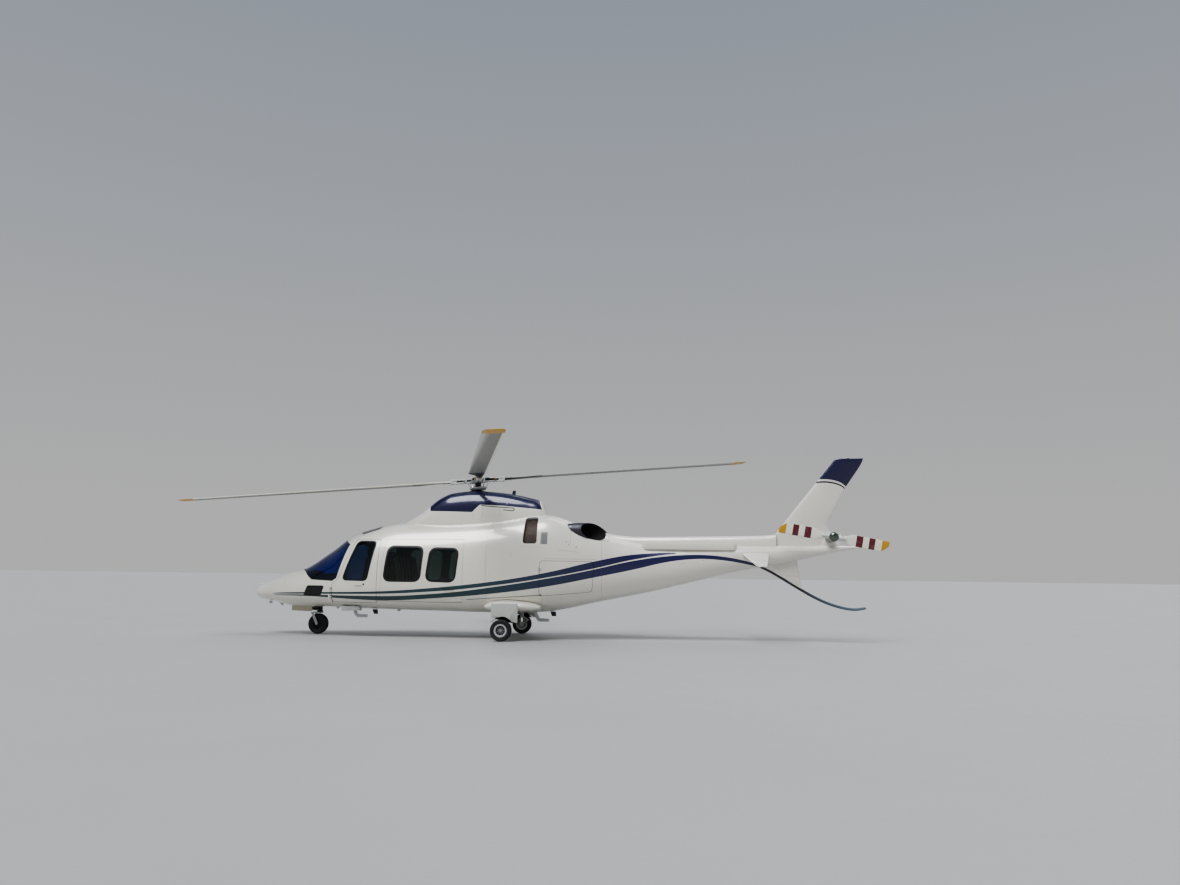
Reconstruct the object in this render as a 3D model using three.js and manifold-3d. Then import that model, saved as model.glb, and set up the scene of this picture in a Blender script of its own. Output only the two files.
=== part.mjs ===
// Twin-engined light helicopter on three wheels, with a four-blade main rotor.
// Lengths are millimetres. The nose points to -X, starboard is +Y and up is +Z.
// The measures below count from the middle of the main axle, on the ground.
import * as THREE from 'three';
import { mergeVertices } from 'three/addons/utils/BufferGeometryUtils.js';
import Module from 'manifold-3d';

const wasm = await Module();
wasm.setup();

// Driving dimensions
const ORIGIN_AFT = 445.6;
const SEAT_GAP = 0.3;
const WALL = 40;
const BOOM_WALL = 25;
const GLASS = 12;
const COWL_WALL = 20;
const RING_POINTS = 16;
const LINING_POINTS = 10;
const CORNER_STEPS = 3;
const SIDES = [{ name: 'left', sign: -1 }, { name: 'right', sign: 1 }];

const NOSE_JOINT = -4600;
const FOOTWELL_FRONT = -3950;
const CABIN_FRONT = -3360;
const CABIN_REAR = -380;
const BULKHEAD = 35;
const BAY_FRONT = 580;
const BAY_REAR = 1720;
const BOOM_END = 4900;
const FLOOR = 600;
const ROOF_EDGE = 1840;
const DECK = 1600;
const COWL_EDGE = 1700;
const COWL_REAR = 1150;
const FAR = 9000;

const ROTOR = { x: -740, z: 2950, tilt: 5.75, azimuth: -74.5, blades: 4, radius: 5415, chord: 330, root: 520 };
const TAIL_ROTOR = {
  x: 5890, y: -450, z: 1900, radius: 975, chord: 200, thickness: 24, angle: 10.3, shaft: 32,
};
const TYRE = { radius: 190, halfWidth: 68, rim: 105, bore: 17, shoulder: 30, points: 18 };
const MAIN_WHEEL = { x: 0, y: 1120 };
const NOSE_WHEEL = { x: -3765, steer: -3745, halfWidth: 62 };

// Fuselage and tail sections: x, lowest, highest, half width, height of the widest
// line, roundness below it and roundness above it
const BODY_SECTIONS = [
  [-5040, 770, 804, 20, 787, 2.0, 2.0],
  [-5005, 705, 862, 100, 787, 2.0, 2.0],
  [-4900, 648, 930, 205, 792, 2.0, 2.0],
  [-4750, 620, 1000, 300, 800, 2.1, 2.0],
  [-4600, 598, 1060, 375, 808, 2.2, 2.0],
  [-4400, 548, 1135, 450, 818, 2.3, 2.0],
  [-4230, 512, 1187, 505, 830, 2.4, 2.0],
  [-4060, 508, 1226, 550, 840, 2.5, 1.95],
  [-3800, 512, 1372, 605, 862, 2.6, 1.9],
  [-3610, 513, 1508, 645, 882, 2.7, 1.9],
  [-3420, 510, 1640, 680, 905, 2.8, 1.95],
  [-3210, 500, 1805, 715, 945, 2.9, 2.05],
  [-2990, 495, 1930, 745, 985, 3.0, 2.15],
  [-2740, 490, 2005, 770, 1000, 3.0, 2.2],
  [-2480, 486, 2078, 788, 1020, 3.0, 2.25],
  [-2150, 480, 2128, 798, 1040, 3.0, 2.3],
  [-1310, 468, 2160, 800, 1080, 3.0, 2.4],
  [-560, 455, 2190, 795, 1120, 3.0, 2.6],
  [0, 458, 2235, 785, 1150, 3.0, 2.9],
  [400, 468, 2278, 772, 1180, 3.0, 3.3],
  [660, 480, 2285, 752, 1200, 2.9, 3.4],
  [930, 520, 2235, 715, 1215, 2.8, 3.2],
  [1150, 565, 2150, 672, 1230, 2.7, 2.9],
  [1400, 622, 2050, 615, 1245, 2.6, 2.8],
  [1660, 682, 1962, 556, 1260, 2.5, 2.7],
  [2000, 750, 1850, 480, 1290, 2.4, 2.5],
  [2590, 872, 1752, 400, 1340, 2.3, 2.3],
  [3510, 1095, 1748, 318, 1440, 2.2, 2.2],
  [4250, 1275, 1748, 250, 1525, 2.1, 2.2],
  [4900, 1398, 1750, 198, 1585, 2.1, 2.1],
  [5280, 1472, 1748, 165, 1615, 2.1, 2.1],
  [5900, 1612, 1762, 105, 1690, 2.0, 2.0],
  [6260, 1688, 1755, 62, 1722, 2.0, 2.0],
  [6480, 1722, 1742, 20, 1732, 2.0, 2.0],
];
const SECTION_STEP = 480;

// Rotor pylon sections: x, half width, top
const PYLON_SECTIONS = [
  [-2180, 190, 2085], [-2100, 240, 2135], [-1740, 345, 2345], [-1400, 405, 2610],
  [-1180, 425, 2700], [-730, 435, 2745], [-250, 432, 2712], [100, 425, 2660],
  [320, 412, 2612], [520, 400, 2555], [570, 390, 2470], [610, 378, 2370], [660, 362, 2255],
];
const PYLON_BASE = 1950;
const PYLON_POWER = 3.2;

// Tail drive cover sections: x, half width, top
const SPINE_SECTIONS = [
  [1720, 130, 1962], [2020, 125, 1915], [2400, 120, 1892], [3520, 115, 1908], [4640, 108, 1930],
  [4900, 100, 1952],
];
const SPINE_BASE = 1600;
const SPINE_POWER = 2.6;

// Fin sections from the bottom up: z, leading edge, trailing edge, thickness
const FIN_SECTIONS = [
  [1620, 4905, 5960, 150], [1950, 4905, 5985, 140], [2050, 4975, 5880, 132], [2156, 5058, 5855, 122],
  [2273, 5150, 5905, 118], [2464, 5300, 6013, 112], [2806, 5578, 6190, 100], [3020, 5752, 6335, 92],
  [3310, 5987, 6522, 82], [3385, 6045, 6550, 60],
];
// Stabilizer sections outwards: y, leading edge, trailing edge, z, thickness
const STABILIZER_SECTIONS = [
  [120, 4282, 4775, 1598, 66], [1380, 4425, 4610, 1358, 30], [1440, 4450, 4590, 1347, 16],
];
// Gear fairing sections: x, half width, half height, z
const SPONSON_SECTIONS = [
  [-352, 160, 30, 590], [-300, 216, 66, 594], [-180, 262, 94, 600], [40, 284, 106, 602],
  [300, 268, 92, 598], [520, 224, 68, 590], [650, 160, 30, 584],
];
const SPONSON_Y = 778;
const SPONSON_POWER = 0.85;

// Side outlines, as x and z
const WINDSHIELD = [
  [-4080, 1233], [-3915, 1180], [-3800, 1092], [-3705, 1030], [-3270, 1012], [-3190, 1062],
  [-3032, 1690], [-3222, 1790], [-3500, 2120], [-4400, 1640],
];
const ROOF_SIDE = [
  [-3037, 1684], [-2962, ROOF_EDGE], [CABIN_REAR, ROOF_EDGE], [CABIN_REAR, 2700], [-3600, 2700],
  [-3600, 1684],
];
const COCKPIT_DOOR = [
  [-3270, 626], [-2400, 626], [-2400, 1782], [-2900, 1782], [-3140, 1062], [-3270, 950],
];
const COCKPIT_WINDOW = [[-3052, 1040], [-2600, 1034], [-2482, 1734], [-2852, 1738]];
const CABIN_DOOR = [[-2335, 662], [-800, 662], [-800, 1790], [-2290, 1790]];
const CABIN_WINDOWS = [
  { name: 'front', side: [[-2252, 1040], [-1610, 1040], [-1572, 1632], [-2202, 1640]] },
  { name: 'rear', side: [[-1460, 1048], [-962, 1034], [-908, 1602], [-1402, 1612]] },
];
const CHIN_WINDOW = [[-3840, 742], [-3510, 742], [-3440, 908], [-3770, 908]];
const INTAKE = { corner: 60, depth: 440, side: [[285, 1724], [545, 1724], [541, 2226], [303, 2226]] };
const PYLON_CAP = [
  [-1560, 2334], [-740, 2314], [-603, 2455], [-215, 2442], [900, 2344], [900, 3200], [-1800, 3200],
];
const VENTRAL_FIN = [
  [4620, 1365], [4800, 1280], [5070, 1120], [5340, 962], [5372, 985], [5312, 1310], [5290, 1600], [4600, 1600],
];
// Tail skid route: x and z
const SKID_ROUTE = [
  [4590, 1378], [4800, 1280], [5070, 1120], [5340, 958], [5600, 812], [5850, 702], [6140, 622],
  [6310, 606], [6510, 636],
];
const ROOF_WINDOW = { x0: -2930, x1: -2500, inner: 110, outer: 370, slant: 70, corner: 50, low: 1700, high: 2400 };
const CHIN_CORNER = 30;
const POST = { half: 30, low: 1240, overlap: 20 };
const GEARBOX_SEAT = { x0: -1020, x1: -430, half: 270, z: 2085, rim: 60, panHalf: 400 };
// Ledge along the boom's port side, seen from above, as x and y
const STRAKE = {
  low: 1650, high: 1770, plan: [[2420, -135], [2480, -338], [3300, -322], [4150, -262], [4205, -135]],
};

const COCKPIT_HINGE = {
  x: -3302, y: 726, z: 860, lean: 2.5, heights: [725, 900], radius: 12, lug: 34, lugDepth: 610, arm: 46, web: 14,
  armDepth: 716, webDepth: 640, over: 5,
};
const BARREL = { half: 30, low: 4, high: 6 };
const COCKPIT_DOOR_CORNER = 40;
const COCKPIT_DOOR_GAP = 6;
const DOOR_REAR_ROOM = 7;
const DOOR_REAR = -2500;
const COCKPIT_WINDOW_CORNER = 70;
const CABIN_DOOR_FIT = { corner: 60, gap: 3, drop: 2.7 };
const CABIN_WINDOW_CORNER = 110;
const BAGGAGE = {
  x: 588, y: 776, lean: 10.4, wall: 22, gap: 6, heights: [900, 1290], radius: 10, corner: 70,
  side: [[26, 786], [985, 868], [1005, 1412], [26, 1412]],
  lug: 24, lugDepth: 695, arm: 42, armDepth: 764, web: 13, webDepth: 715, over: 4, low: -120, high: 320,
};
const LEG = {
  x: 20, y: 985, radius: 36, low: 150, top: 575, axle: 16, axleStart: 975, axleEnd: 1160,
  bracket: 60, bracketLow: 445, bracketHigh: 490, overlap: 4,
};
const GEAR_DOOR = { x0: -190, x1: 285, top: 655, low: 285, rise: 40, y: 1078, wall: 14, arch: 236 };
const STEP = { width: 60, bar: 26, bend: 70, foot: 150, heel: 128 };
const CABIN_STEP = { x: -2960, z: 590, length: 335, drop: 228, y: 520 };
const BAY_STEP = { x: 440, z: 566, length: 330, drop: 228, y: 500 };

// Makes a closed solid of a three.js geometry.
function solid(geometry) {
  const bare = new THREE.BufferGeometry();
  bare.setAttribute('position', geometry.getAttribute('position'));
  if (geometry.index) bare.setIndex(geometry.index);
  const merged = mergeVertices(bare, 1e-3);
  const position = merged.getAttribute('position');
  const index = Uint32Array.from(merged.index.array);
  const corner = [new THREE.Vector3(), new THREE.Vector3(), new THREE.Vector3()];
  let volume = 0;
  for (let i = 0; i < index.length; i += 3) {
    corner.forEach((point, k) => point.fromBufferAttribute(position, index[i + k]));
    volume += corner[0].dot(corner[1].cross(corner[2]));
  }
  if (volume < 0) {
    index.reverse();
  }
  return new wasm.Manifold(new wasm.Mesh({
    numProp: 3,
    vertProperties: Float32Array.from(position.array),
    triVerts: index,
  }));
}

function geometryOf(body) {
  const mesh = body.getMesh();
  const geometry = new THREE.BufferGeometry();
  geometry.setAttribute('position', new THREE.BufferAttribute(mesh.vertProperties, 3));
  geometry.setIndex(new THREE.BufferAttribute(mesh.triVerts, 1));
  geometry.computeVertexNormals();
  return geometry;
}

const join = (...solids) => solids.reduce((a, b) => a.add(b));
const cut = (base, ...tools) => tools.reduce((a, b) => a.subtract(b), base);
const common = (...solids) => solids.reduce((a, b) => a.intersect(b));

function block(x0, x1, y0, y1, z0, z1) {
  const box = new THREE.BoxGeometry(x1 - x0, y1 - y0, z1 - z0);
  return solid(box.translate((x0 + x1) / 2, (y0 + y1) / 2, (z0 + z1) / 2));
}

// A round bar between two points.
function rod(from, to, radius, points = 12) {
  const start = new THREE.Vector3(...from);
  const along = new THREE.Vector3(...to).sub(start);
  const bar = new THREE.CylinderGeometry(radius, radius, along.length(), points);
  const turn = new THREE.Quaternion().setFromUnitVectors(
    new THREE.Vector3(0, 1, 0), along.clone().normalize());
  bar.applyQuaternion(turn);
  const middle = start.addScaledVector(along, 0.5);
  return solid(bar.translate(middle.x, middle.y, middle.z));
}

// Joins rings of equally many points to one closed skin, with flat ends.
function loft(rings) {
  const count = rings[0].length;
  const points = rings.flat();
  const faces = [];
  for (let r = 0; r + 1 < rings.length; r += 1) {
    for (let i = 0; i < count; i += 1) {
      const a = r * count + i;
      const b = r * count + (i + 1) % count;
      faces.push(a, b, b + count, a, b + count, a + count);
    }
  }
  for (const [start, flip] of [[0, true], [(rings.length - 1) * count, false]]) {
    for (let i = 1; i + 1 < count; i += 1) {
      const fan = [start, start + i, start + i + 1];
      faces.push(...(flip ? fan.reverse() : fan));
    }
  }
  const geometry = new THREE.BufferGeometry();
  geometry.setAttribute('position', new THREE.Float32BufferAttribute(points.flatMap((p) => p.toArray()), 3));
  geometry.setIndex(faces);
  return solid(geometry);
}

// Smooth curve through a table's column, with slopes that never overshoot.
function column(table, key) {
  const xs = table.map((row) => row[0]);
  const ys = table.map((row) => row[key]);
  const rise = xs.slice(1).map((x, i) => (ys[i + 1] - ys[i]) / (x - xs[i]));
  const slope = xs.map((x, i) => {
    const before = rise[Math.max(i - 1, 0)];
    const after = rise[Math.min(i, rise.length - 1)];
    return before * after <= 0 ? 0 : (2 * before * after) / (before + after);
  });
  return (x) => {
    let i = 0;
    while (i + 2 < xs.length && x > xs[i + 1]) i += 1;
    const span = xs[i + 1] - xs[i];
    const t = (x - xs[i]) / span;
    return (1 + 2 * t) * (1 - t) ** 2 * ys[i] + t * (1 - t) ** 2 * span * slope[i]
      + t * t * (3 - 2 * t) * ys[i + 1] + t * t * (t - 1) * span * slope[i + 1];
  };
}

const power = (value, exponent) => Math.sign(value) * Math.abs(value) ** exponent;
const [LOW, HIGH, HALF, WAIST, ROUND_LOW, ROUND_HIGH] = [1, 2, 3, 4, 5, 6].map(
  (key) => column(BODY_SECTIONS, key));

// Points along x from one place to another, each table row kept and long steps divided.
function stations(table, from, to) {
  const places = [from, ...table.map((row) => row[0]).filter((x) => x > from + 1 && x < to - 1), to];
  return places.flatMap((x, i) => {
    if (i + 1 === places.length) return [x];
    const parts = Math.ceil((places[i + 1] - x) / SECTION_STEP);
    return Array.from({ length: parts }, (unused, k) => x + ((places[i + 1] - x) * k) / parts);
  });
}

// The fuselage between two places, drawn in by an inset.
function body(from, to, inset = 0) {
  const lining = inset > GLASS;
  const count = lining ? LINING_POINTS : RING_POINTS;
  const table = BODY_SECTIONS.filter((unused, i) => !lining || i % 2 === 0);
  return loft(stations(table, from, to).map((x) => {
    const half = HALF(x) - inset;
    const waist = WAIST(x);
    return Array.from({ length: count }, (unused, i) => {
      const angle = (2 * Math.PI * i) / count;
      const sine = Math.sin(angle);
      const round = sine > 0 ? ROUND_HIGH(x) : ROUND_LOW(x);
      const rise = sine > 0 ? HIGH(x) - inset - waist : waist - LOW(x) - inset;
      return new THREE.Vector3(
        x, half * power(Math.cos(angle), 2 / round), waist + rise * power(sine, 2 / round));
    });
  }));
}

// A fairing that stands on the body: rounded sides and top over a hidden flat base.
function fairing(table, base, round, inset = 0) {
  const half = column(table, 1);
  const top = column(table, 2);
  const ends = [table[0][0] + inset, table[table.length - 1][0] - inset];
  const arch = inset > 0 ? 6 : RING_POINTS / 2;
  return loft(stations(table, ...ends).map((x) => Array.from({ length: arch + 1 }, (unused, i) => {
    const angle = (Math.PI * i) / arch;
    return new THREE.Vector3(
      x,
      (half(x) - inset) * power(Math.cos(angle), 2 / round),
      base - inset + (top(x) - base) * power(Math.sin(angle), 2 / round));
  })));
}

// A closed outline in a plane, grown outwards by a distance, with its corners rounded.
function outline(corners, radius = 0, grow = 0) {
  const points = corners.map(([a, b]) => new THREE.Vector2(a, b));
  if (THREE.ShapeUtils.area(points) < 0) points.reverse();
  const count = points.length;
  const grown = points.map((point, i) => {
    const before = point.clone().sub(points[(i + count - 1) % count]).normalize();
    const after = points[(i + 1) % count].clone().sub(point).normalize();
    const away = new THREE.Vector2(before.y + after.y, -before.x - after.x);
    return point.clone().addScaledVector(away, grow / (1 + before.dot(after)));
  });
  if (radius === 0) return grown;
  return grown.flatMap((point, i) => {
    const back = grown[(i + count - 1) % count].clone().sub(point);
    const ahead = grown[(i + 1) % count].clone().sub(point);
    const reach = Math.min(radius, back.length() * 0.48, ahead.length() * 0.48);
    const start = point.clone().addScaledVector(back.normalize(), reach);
    const end = point.clone().addScaledVector(ahead.normalize(), reach);
    return new THREE.QuadraticBezierCurve(start, point, end).getPoints(CORNER_STEPS);
  });
}

// An outline pushed along one axis: x takes (y, z), y takes (x, z) and z takes (x, y).
function prism(points, axis, from, to, place = new THREE.Matrix4()) {
  const shape = new THREE.Shape(points);
  const slab = new THREE.ExtrudeGeometry(shape, { depth: to - from, bevelEnabled: false, curveSegments: 1 });
  if (axis === 'x') {
    slab.applyMatrix4(new THREE.Matrix4().set(0, 0, 1, from, 1, 0, 0, 0, 0, 1, 0, 0, 0, 0, 0, 1));
  } else if (axis === 'y') {
    slab.applyMatrix4(new THREE.Matrix4().set(1, 0, 0, 0, 0, 0, -1, to, 0, 1, 0, 0, 0, 0, 0, 1));
  } else {
    slab.translate(0, 0, from);
  }
  return solid(slab.applyMatrix4(place));
}

const across = (corners, radius = 0, grow = 0) => prism(outline(corners, radius, grow), 'y', -FAR, FAR);
// One half of space beside the middle plane.
const half = (sign, from = 0) => (sign < 0
  ? block(-FAR, FAR, -FAR, -from, -FAR, FAR) : block(-FAR, FAR, from, FAR, -FAR, FAR));
const slice = (from, to) => block(from, to, -FAR, FAR, -FAR, FAR);
const above = (z) => block(-FAR, FAR, -FAR, FAR, z, FAR);
const below = (z) => block(-FAR, FAR, -FAR, FAR, -FAR, z);

const FINISHES = {
  white: { color: 0xe9e4d8, roughness: 0.28, metalness: 0.1 },
  blue: { color: 0x15164f, roughness: 0.2, metalness: 0.2 },
  glass: { color: 0x1c2a2c, roughness: 0.05, metalness: 0 },
  windshield: { color: 0x24357c, roughness: 0.05, metalness: 0 },
  black: { color: 0x16171a, roughness: 0.5, metalness: 0.3 },
  rubber: { color: 0x18181a, roughness: 0.85, metalness: 0 },
  steel: { color: 0x9a9a98, roughness: 0.35, metalness: 0.9 },
  blade: { color: 0xb9bab5, roughness: 0.5, metalness: 0.1 },
  leather: { color: 0xb7a78e, roughness: 0.7, metalness: 0 },
};
const helicopter = new THREE.Group();
const airframe = new THREE.Group();
airframe.position.set(-ORIGIN_AFT, 0, 0);
helicopter.add(airframe);

function piece(name, shape, finish, parent = airframe) {
  const material = new THREE.MeshStandardMaterial(FINISHES[finish]);
  const mesh = new THREE.Mesh(geometryOf(shape), material);
  mesh.name = name;
  parent.add(mesh);
  return mesh;
}

// Skins that the pieces are cut from
const NOSE_TIP = BODY_SECTIONS[0][0];
const TAIL_TIP = BODY_SECTIONS[BODY_SECTIONS.length - 1][0];
const outer = body(NOSE_TIP, TAIL_TIP);
const outerGrown = body(NOSE_TIP, TAIL_TIP, -SEAT_GAP);
const CABIN_LINING = [-4100, 2200];
const AFT_LINING = [-700, 2200];
const GLASS_LINING = [-4300, 0];
const inner = body(...CABIN_LINING, WALL);
const glassInner = body(...GLASS_LINING, GLASS);
const wall = cut(outer, inner);
const pane = cut(outer, glassInner);
const windshieldCut = across(WINDSHIELD);

// Nose
piece('nose_cone', common(outer, slice(-FAR, NOSE_JOINT - SEAT_GAP)), 'white');
const footwell = common(inner, slice(FOOTWELL_FRONT, FAR), above(FLOOR));
const chinCut = across(CHIN_WINDOW, CHIN_CORNER);
piece('nose_section', cut(
  common(outer, slice(NOSE_JOINT, CABIN_FRONT - SEAT_GAP)), footwell, windshieldCut, chinCut), 'white');

// Floor and boarding steps
function step(x, z, length, drop, sign, y) {
  const bar = [[x, z], [x + STEP.bend, z], [x + STEP.foot, z - drop + STEP.bar], [x + length, z - drop + STEP.bar],
    [x + length, z - drop], [x + STEP.heel, z - drop]];
  return prism(outline(bar), 'y', sign * y - STEP.width / 2, sign * y + STEP.width / 2);
}
const cabinStep = step(CABIN_STEP.x, CABIN_STEP.z, CABIN_STEP.length, CABIN_STEP.drop, -1, CABIN_STEP.y);
piece('belly_tub', join(
  common(outer, slice(CABIN_FRONT, CABIN_REAR - SEAT_GAP), below(FLOOR - SEAT_GAP)), cabinStep), 'white');

// Roof with its two windows and the windshield's middle post
const roofWindow = (sign, grow = 0) => prism(outline([
  [ROOF_WINDOW.x0, sign * ROOF_WINDOW.inner], [ROOF_WINDOW.x1, sign * ROOF_WINDOW.inner],
  [ROOF_WINDOW.x1, sign * ROOF_WINDOW.outer], [ROOF_WINDOW.x0 + ROOF_WINDOW.slant, sign * ROOF_WINDOW.outer],
], ROOF_WINDOW.corner, grow), 'z', ROOF_WINDOW.low, ROOF_WINDOW.high);
const post = common(
  wall, across(WINDSHIELD, 0, POST.overlap), block(-FAR, FAR, -POST.half, POST.half, -FAR, FAR), above(POST.low));
const roofSkin = cut(
  common(wall, across(ROOF_SIDE), slice(-FAR, CABIN_REAR - SEAT_GAP)), windshieldCut,
  roofWindow(-1), roofWindow(1),
  block(GEARBOX_SEAT.x0, GEARBOX_SEAT.x1, -GEARBOX_SEAT.half, GEARBOX_SEAT.half, GEARBOX_SEAT.z, FAR));
const gearboxPan = common(outer, block(
  GEARBOX_SEAT.x0 - GEARBOX_SEAT.rim, CABIN_REAR - SEAT_GAP, -GEARBOX_SEAT.panHalf, GEARBOX_SEAT.panHalf,
  GEARBOX_SEAT.z - WALL, GEARBOX_SEAT.z));
piece('roof_panel', join(roofSkin, post, gearboxPan), 'white');

for (const { name, sign } of SIDES) {
  piece(`roof_window_${name}`, common(pane, roofWindow(sign, -SEAT_GAP), above(ROOF_WINDOW.low)), 'glass');
  piece(`windshield_${name}`, common(
    pane, across(WINDSHIELD, 0, -SEAT_GAP), half(sign, POST.half + SEAT_GAP)), 'windshield');
}

// Sides, doors and windows
const sideOuter = common(wall, slice(CABIN_FRONT, CABIN_REAR - SEAT_GAP), above(FLOOR));
// The opening is wider behind the door, whose rear edge swings back as it leaves.
const doorOpening = join(
  across(COCKPIT_DOOR, COCKPIT_DOOR_CORNER, COCKPIT_DOOR_GAP),
  across(COCKPIT_DOOR.map(([x, z]) => [x > DOOR_REAR ? x + DOOR_REAR_ROOM : x, z]), COCKPIT_DOOR_CORNER,
    COCKPIT_DOOR_GAP));
const cabinOpening = across(CABIN_DOOR, CABIN_DOOR_FIT.corner, CABIN_DOOR_FIT.gap);
const cabinDoorSide = CABIN_DOOR.map(([x, z]) => [x, z - CABIN_DOOR_FIT.drop]);

const lean = Math.tan(THREE.MathUtils.degToRad(COCKPIT_HINGE.lean));
const hingePoint = (sign, z) => [
  COCKPIT_HINGE.x, sign * (COCKPIT_HINGE.y - (z - COCKPIT_HINGE.z) * lean), z];
// A block between the skin and a height's hinge line, on one side.
const ear = (sign, x0, x1, depth, line, z0, z1) => block(
  x0, x1, Math.min(sign * depth, line), Math.max(sign * depth, line), z0, z1);

for (const { name, sign } of SIDES) {
  const side = half(sign, 0);
  const hinge = COCKPIT_HINGE;
  const arm = hinge.x + hinge.arm;
  const lugs = hinge.heights.map((z) => join(
    rod(hingePoint(sign, z - BARREL.half * 2), hingePoint(sign, z - BARREL.half - SEAT_GAP), hinge.radius),
    ear(sign, hinge.x - hinge.lug, hinge.x, hinge.lugDepth, hingePoint(sign, z)[1],
      z - BARREL.half * 2 + BARREL.low, z - BARREL.half - BARREL.high)));
  const barrels = hinge.heights.map((z) => {
    const line = hingePoint(sign, z)[1] + sign * hinge.over;
    const [low, high] = [z - BARREL.half + BARREL.high, z + BARREL.half - BARREL.high];
    return join(
      rod(hingePoint(sign, z - BARREL.half), hingePoint(sign, z + BARREL.half), hinge.radius),
      ear(sign, hinge.x, arm, hinge.armDepth, line, low, high),
      ear(sign, arm - hinge.web, arm, hinge.webDepth, line, low, high));
  });
  const frame = cut(
    common(sideOuter, side), windshieldCut, across(ROOF_SIDE, 0, SEAT_GAP), doorOpening, cabinOpening);
  piece(`side_frame_${name}`, join(frame, ...lugs), 'white');
  piece(`cockpit_door_${name}`, cut(
    join(common(wall, across(COCKPIT_DOOR, COCKPIT_DOOR_CORNER), side), ...barrels),
    across(COCKPIT_WINDOW, COCKPIT_WINDOW_CORNER)), 'white');
  piece(`cockpit_window_${name}`, common(
    pane, across(COCKPIT_WINDOW, COCKPIT_WINDOW_CORNER, -SEAT_GAP), side), 'glass');
  piece(`cabin_door_${name}`, cut(
    common(wall, across(cabinDoorSide, CABIN_DOOR_FIT.corner), side),
    ...CABIN_WINDOWS.map((window) => across(window.side, CABIN_WINDOW_CORNER))), 'white');
  for (const window of CABIN_WINDOWS) {
    piece(`cabin_window_${name}_${window.name}`, common(
      pane, across(window.side, CABIN_WINDOW_CORNER, -SEAT_GAP), side), 'glass');
  }
}

// Bulkhead behind the cabin
piece('rear_bulkhead', common(
  body(...AFT_LINING, WALL + SEAT_GAP), slice(CABIN_REAR + SEAT_GAP, CABIN_REAR + BULKHEAD)), 'leather');

// Exhausts: x, y, z and the two radii
const EXHAUST_SECTIONS = [
  [1040, 372, 1990, 118, 118], [1300, 396, 1975, 145, 150], [1560, 404, 1962, 162, 160], [1850, 404, 1955, 165, 162],
];
const EXHAUST_POINTS = 12;
const EXHAUST_HOLE = { front: 1120, rear: 1900, wall: 14 };
const EXHAUST_BED = { wall: 20, rear: 1870 };
const EXHAUST_MOUTH = {
  low: 1500, high: 2500, middle: 1955, lean: 0.4,
  plan: [[1284, 590], [1769, 235], [2400, 235], [2400, 900], [1284, 900]],
};
function duct(sign, sections, inset) {
  const angles = Array.from({ length: EXHAUST_POINTS }, (unused, i) => (2 * Math.PI * i) / EXHAUST_POINTS);
  return loft(sections.map(([x, y, z, wide, tall]) => angles.map((angle) => new THREE.Vector3(
    x, sign * y + (wide - inset) * Math.cos(angle), z + (tall - inset) * Math.sin(angle)))));
}
const exhaustOuter = (sign, grow = 0) => duct(sign, EXHAUST_SECTIONS, -grow);
function exhaust(sign) {
  const hollow = duct(sign, [
    [EXHAUST_HOLE.front, ...EXHAUST_SECTIONS[0].slice(1)], ...EXHAUST_SECTIONS.slice(1, 3),
    [EXHAUST_HOLE.rear, ...EXHAUST_SECTIONS[3].slice(1)]], EXHAUST_HOLE.wall);
  const slant = new THREE.Matrix4().set(
    1, 0, -EXHAUST_MOUTH.lean, EXHAUST_MOUTH.lean * EXHAUST_MOUTH.middle, 0, 1, 0, 0, 0, 0, 1, 0, 0, 0, 0, 1);
  const mouth = prism(
    outline(EXHAUST_MOUTH.plan.map(([x, y]) => [x, sign * y])), 'z', EXHAUST_MOUTH.low, EXHAUST_MOUTH.high, slant);
  return cut(exhaustOuter(sign), hollow, mouth);
}
// Closed trough in the skin below and behind an exhaust
const exhaustBed = (sign) => cut(common(outer, duct(sign, [
  ...EXHAUST_SECTIONS.slice(1, 3), [EXHAUST_BED.rear, ...EXHAUST_SECTIONS[3].slice(1)]], -EXHAUST_BED.wall)),
exhaustOuter(sign, SEAT_GAP));
const beds = join(exhaustBed(-1), exhaustBed(1));

// Rear fuselage with the baggage bay
const bagPlace = (sign) => new THREE.Matrix4().makeRotationZ(
  THREE.MathUtils.degToRad(-sign * BAGGAGE.lean)).setPosition(BAGGAGE.x, sign * BAGGAGE.y, 0);
const bagCut = (grow) => prism(
  outline(BAGGAGE.side, BAGGAGE.corner, grow), 'y', BAGGAGE.low, BAGGAGE.high, bagPlace(-1));
const BAY_FLOOR = 640;
const PAST_JOINT = 10;
const innerAft = body(...AFT_LINING, WALL);
const baySpaces = join(
  common(innerAft, slice(CABIN_REAR - PAST_JOINT, BAY_FRONT), below(DECK - WALL)),
  common(innerAft, slice(BAY_FRONT + WALL, BAY_REAR - WALL), below(DECK - WALL), above(BAY_FLOOR)),
  common(innerAft, slice(CABIN_REAR - PAST_JOINT, BAY_REAR - WALL), above(DECK)),
  common(innerAft, slice(CABIN_REAR - PAST_JOINT, CABIN_REAR + BULKHEAD + SEAT_GAP)));
const cowlRegion = block(-FAR, COWL_REAR, -FAR, FAR, COWL_EDGE, FAR);
const bagLugs = BAGGAGE.heights.map((z) => join(
  rod([BAGGAGE.x, -BAGGAGE.y, z - BARREL.half * 2], [BAGGAGE.x, -BAGGAGE.y, z - BARREL.half - SEAT_GAP],
    BAGGAGE.radius),
  ear(-1, BAGGAGE.x - BAGGAGE.lug, BAGGAGE.x, BAGGAGE.lugDepth, -BAGGAGE.y,
    z - BARREL.half * 2 + BARREL.low, z - BARREL.half - BARREL.high)));
const bayStep = step(BAY_STEP.x, BAY_STEP.z, BAY_STEP.length, BAY_STEP.drop, -1, BAY_STEP.y);
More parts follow.
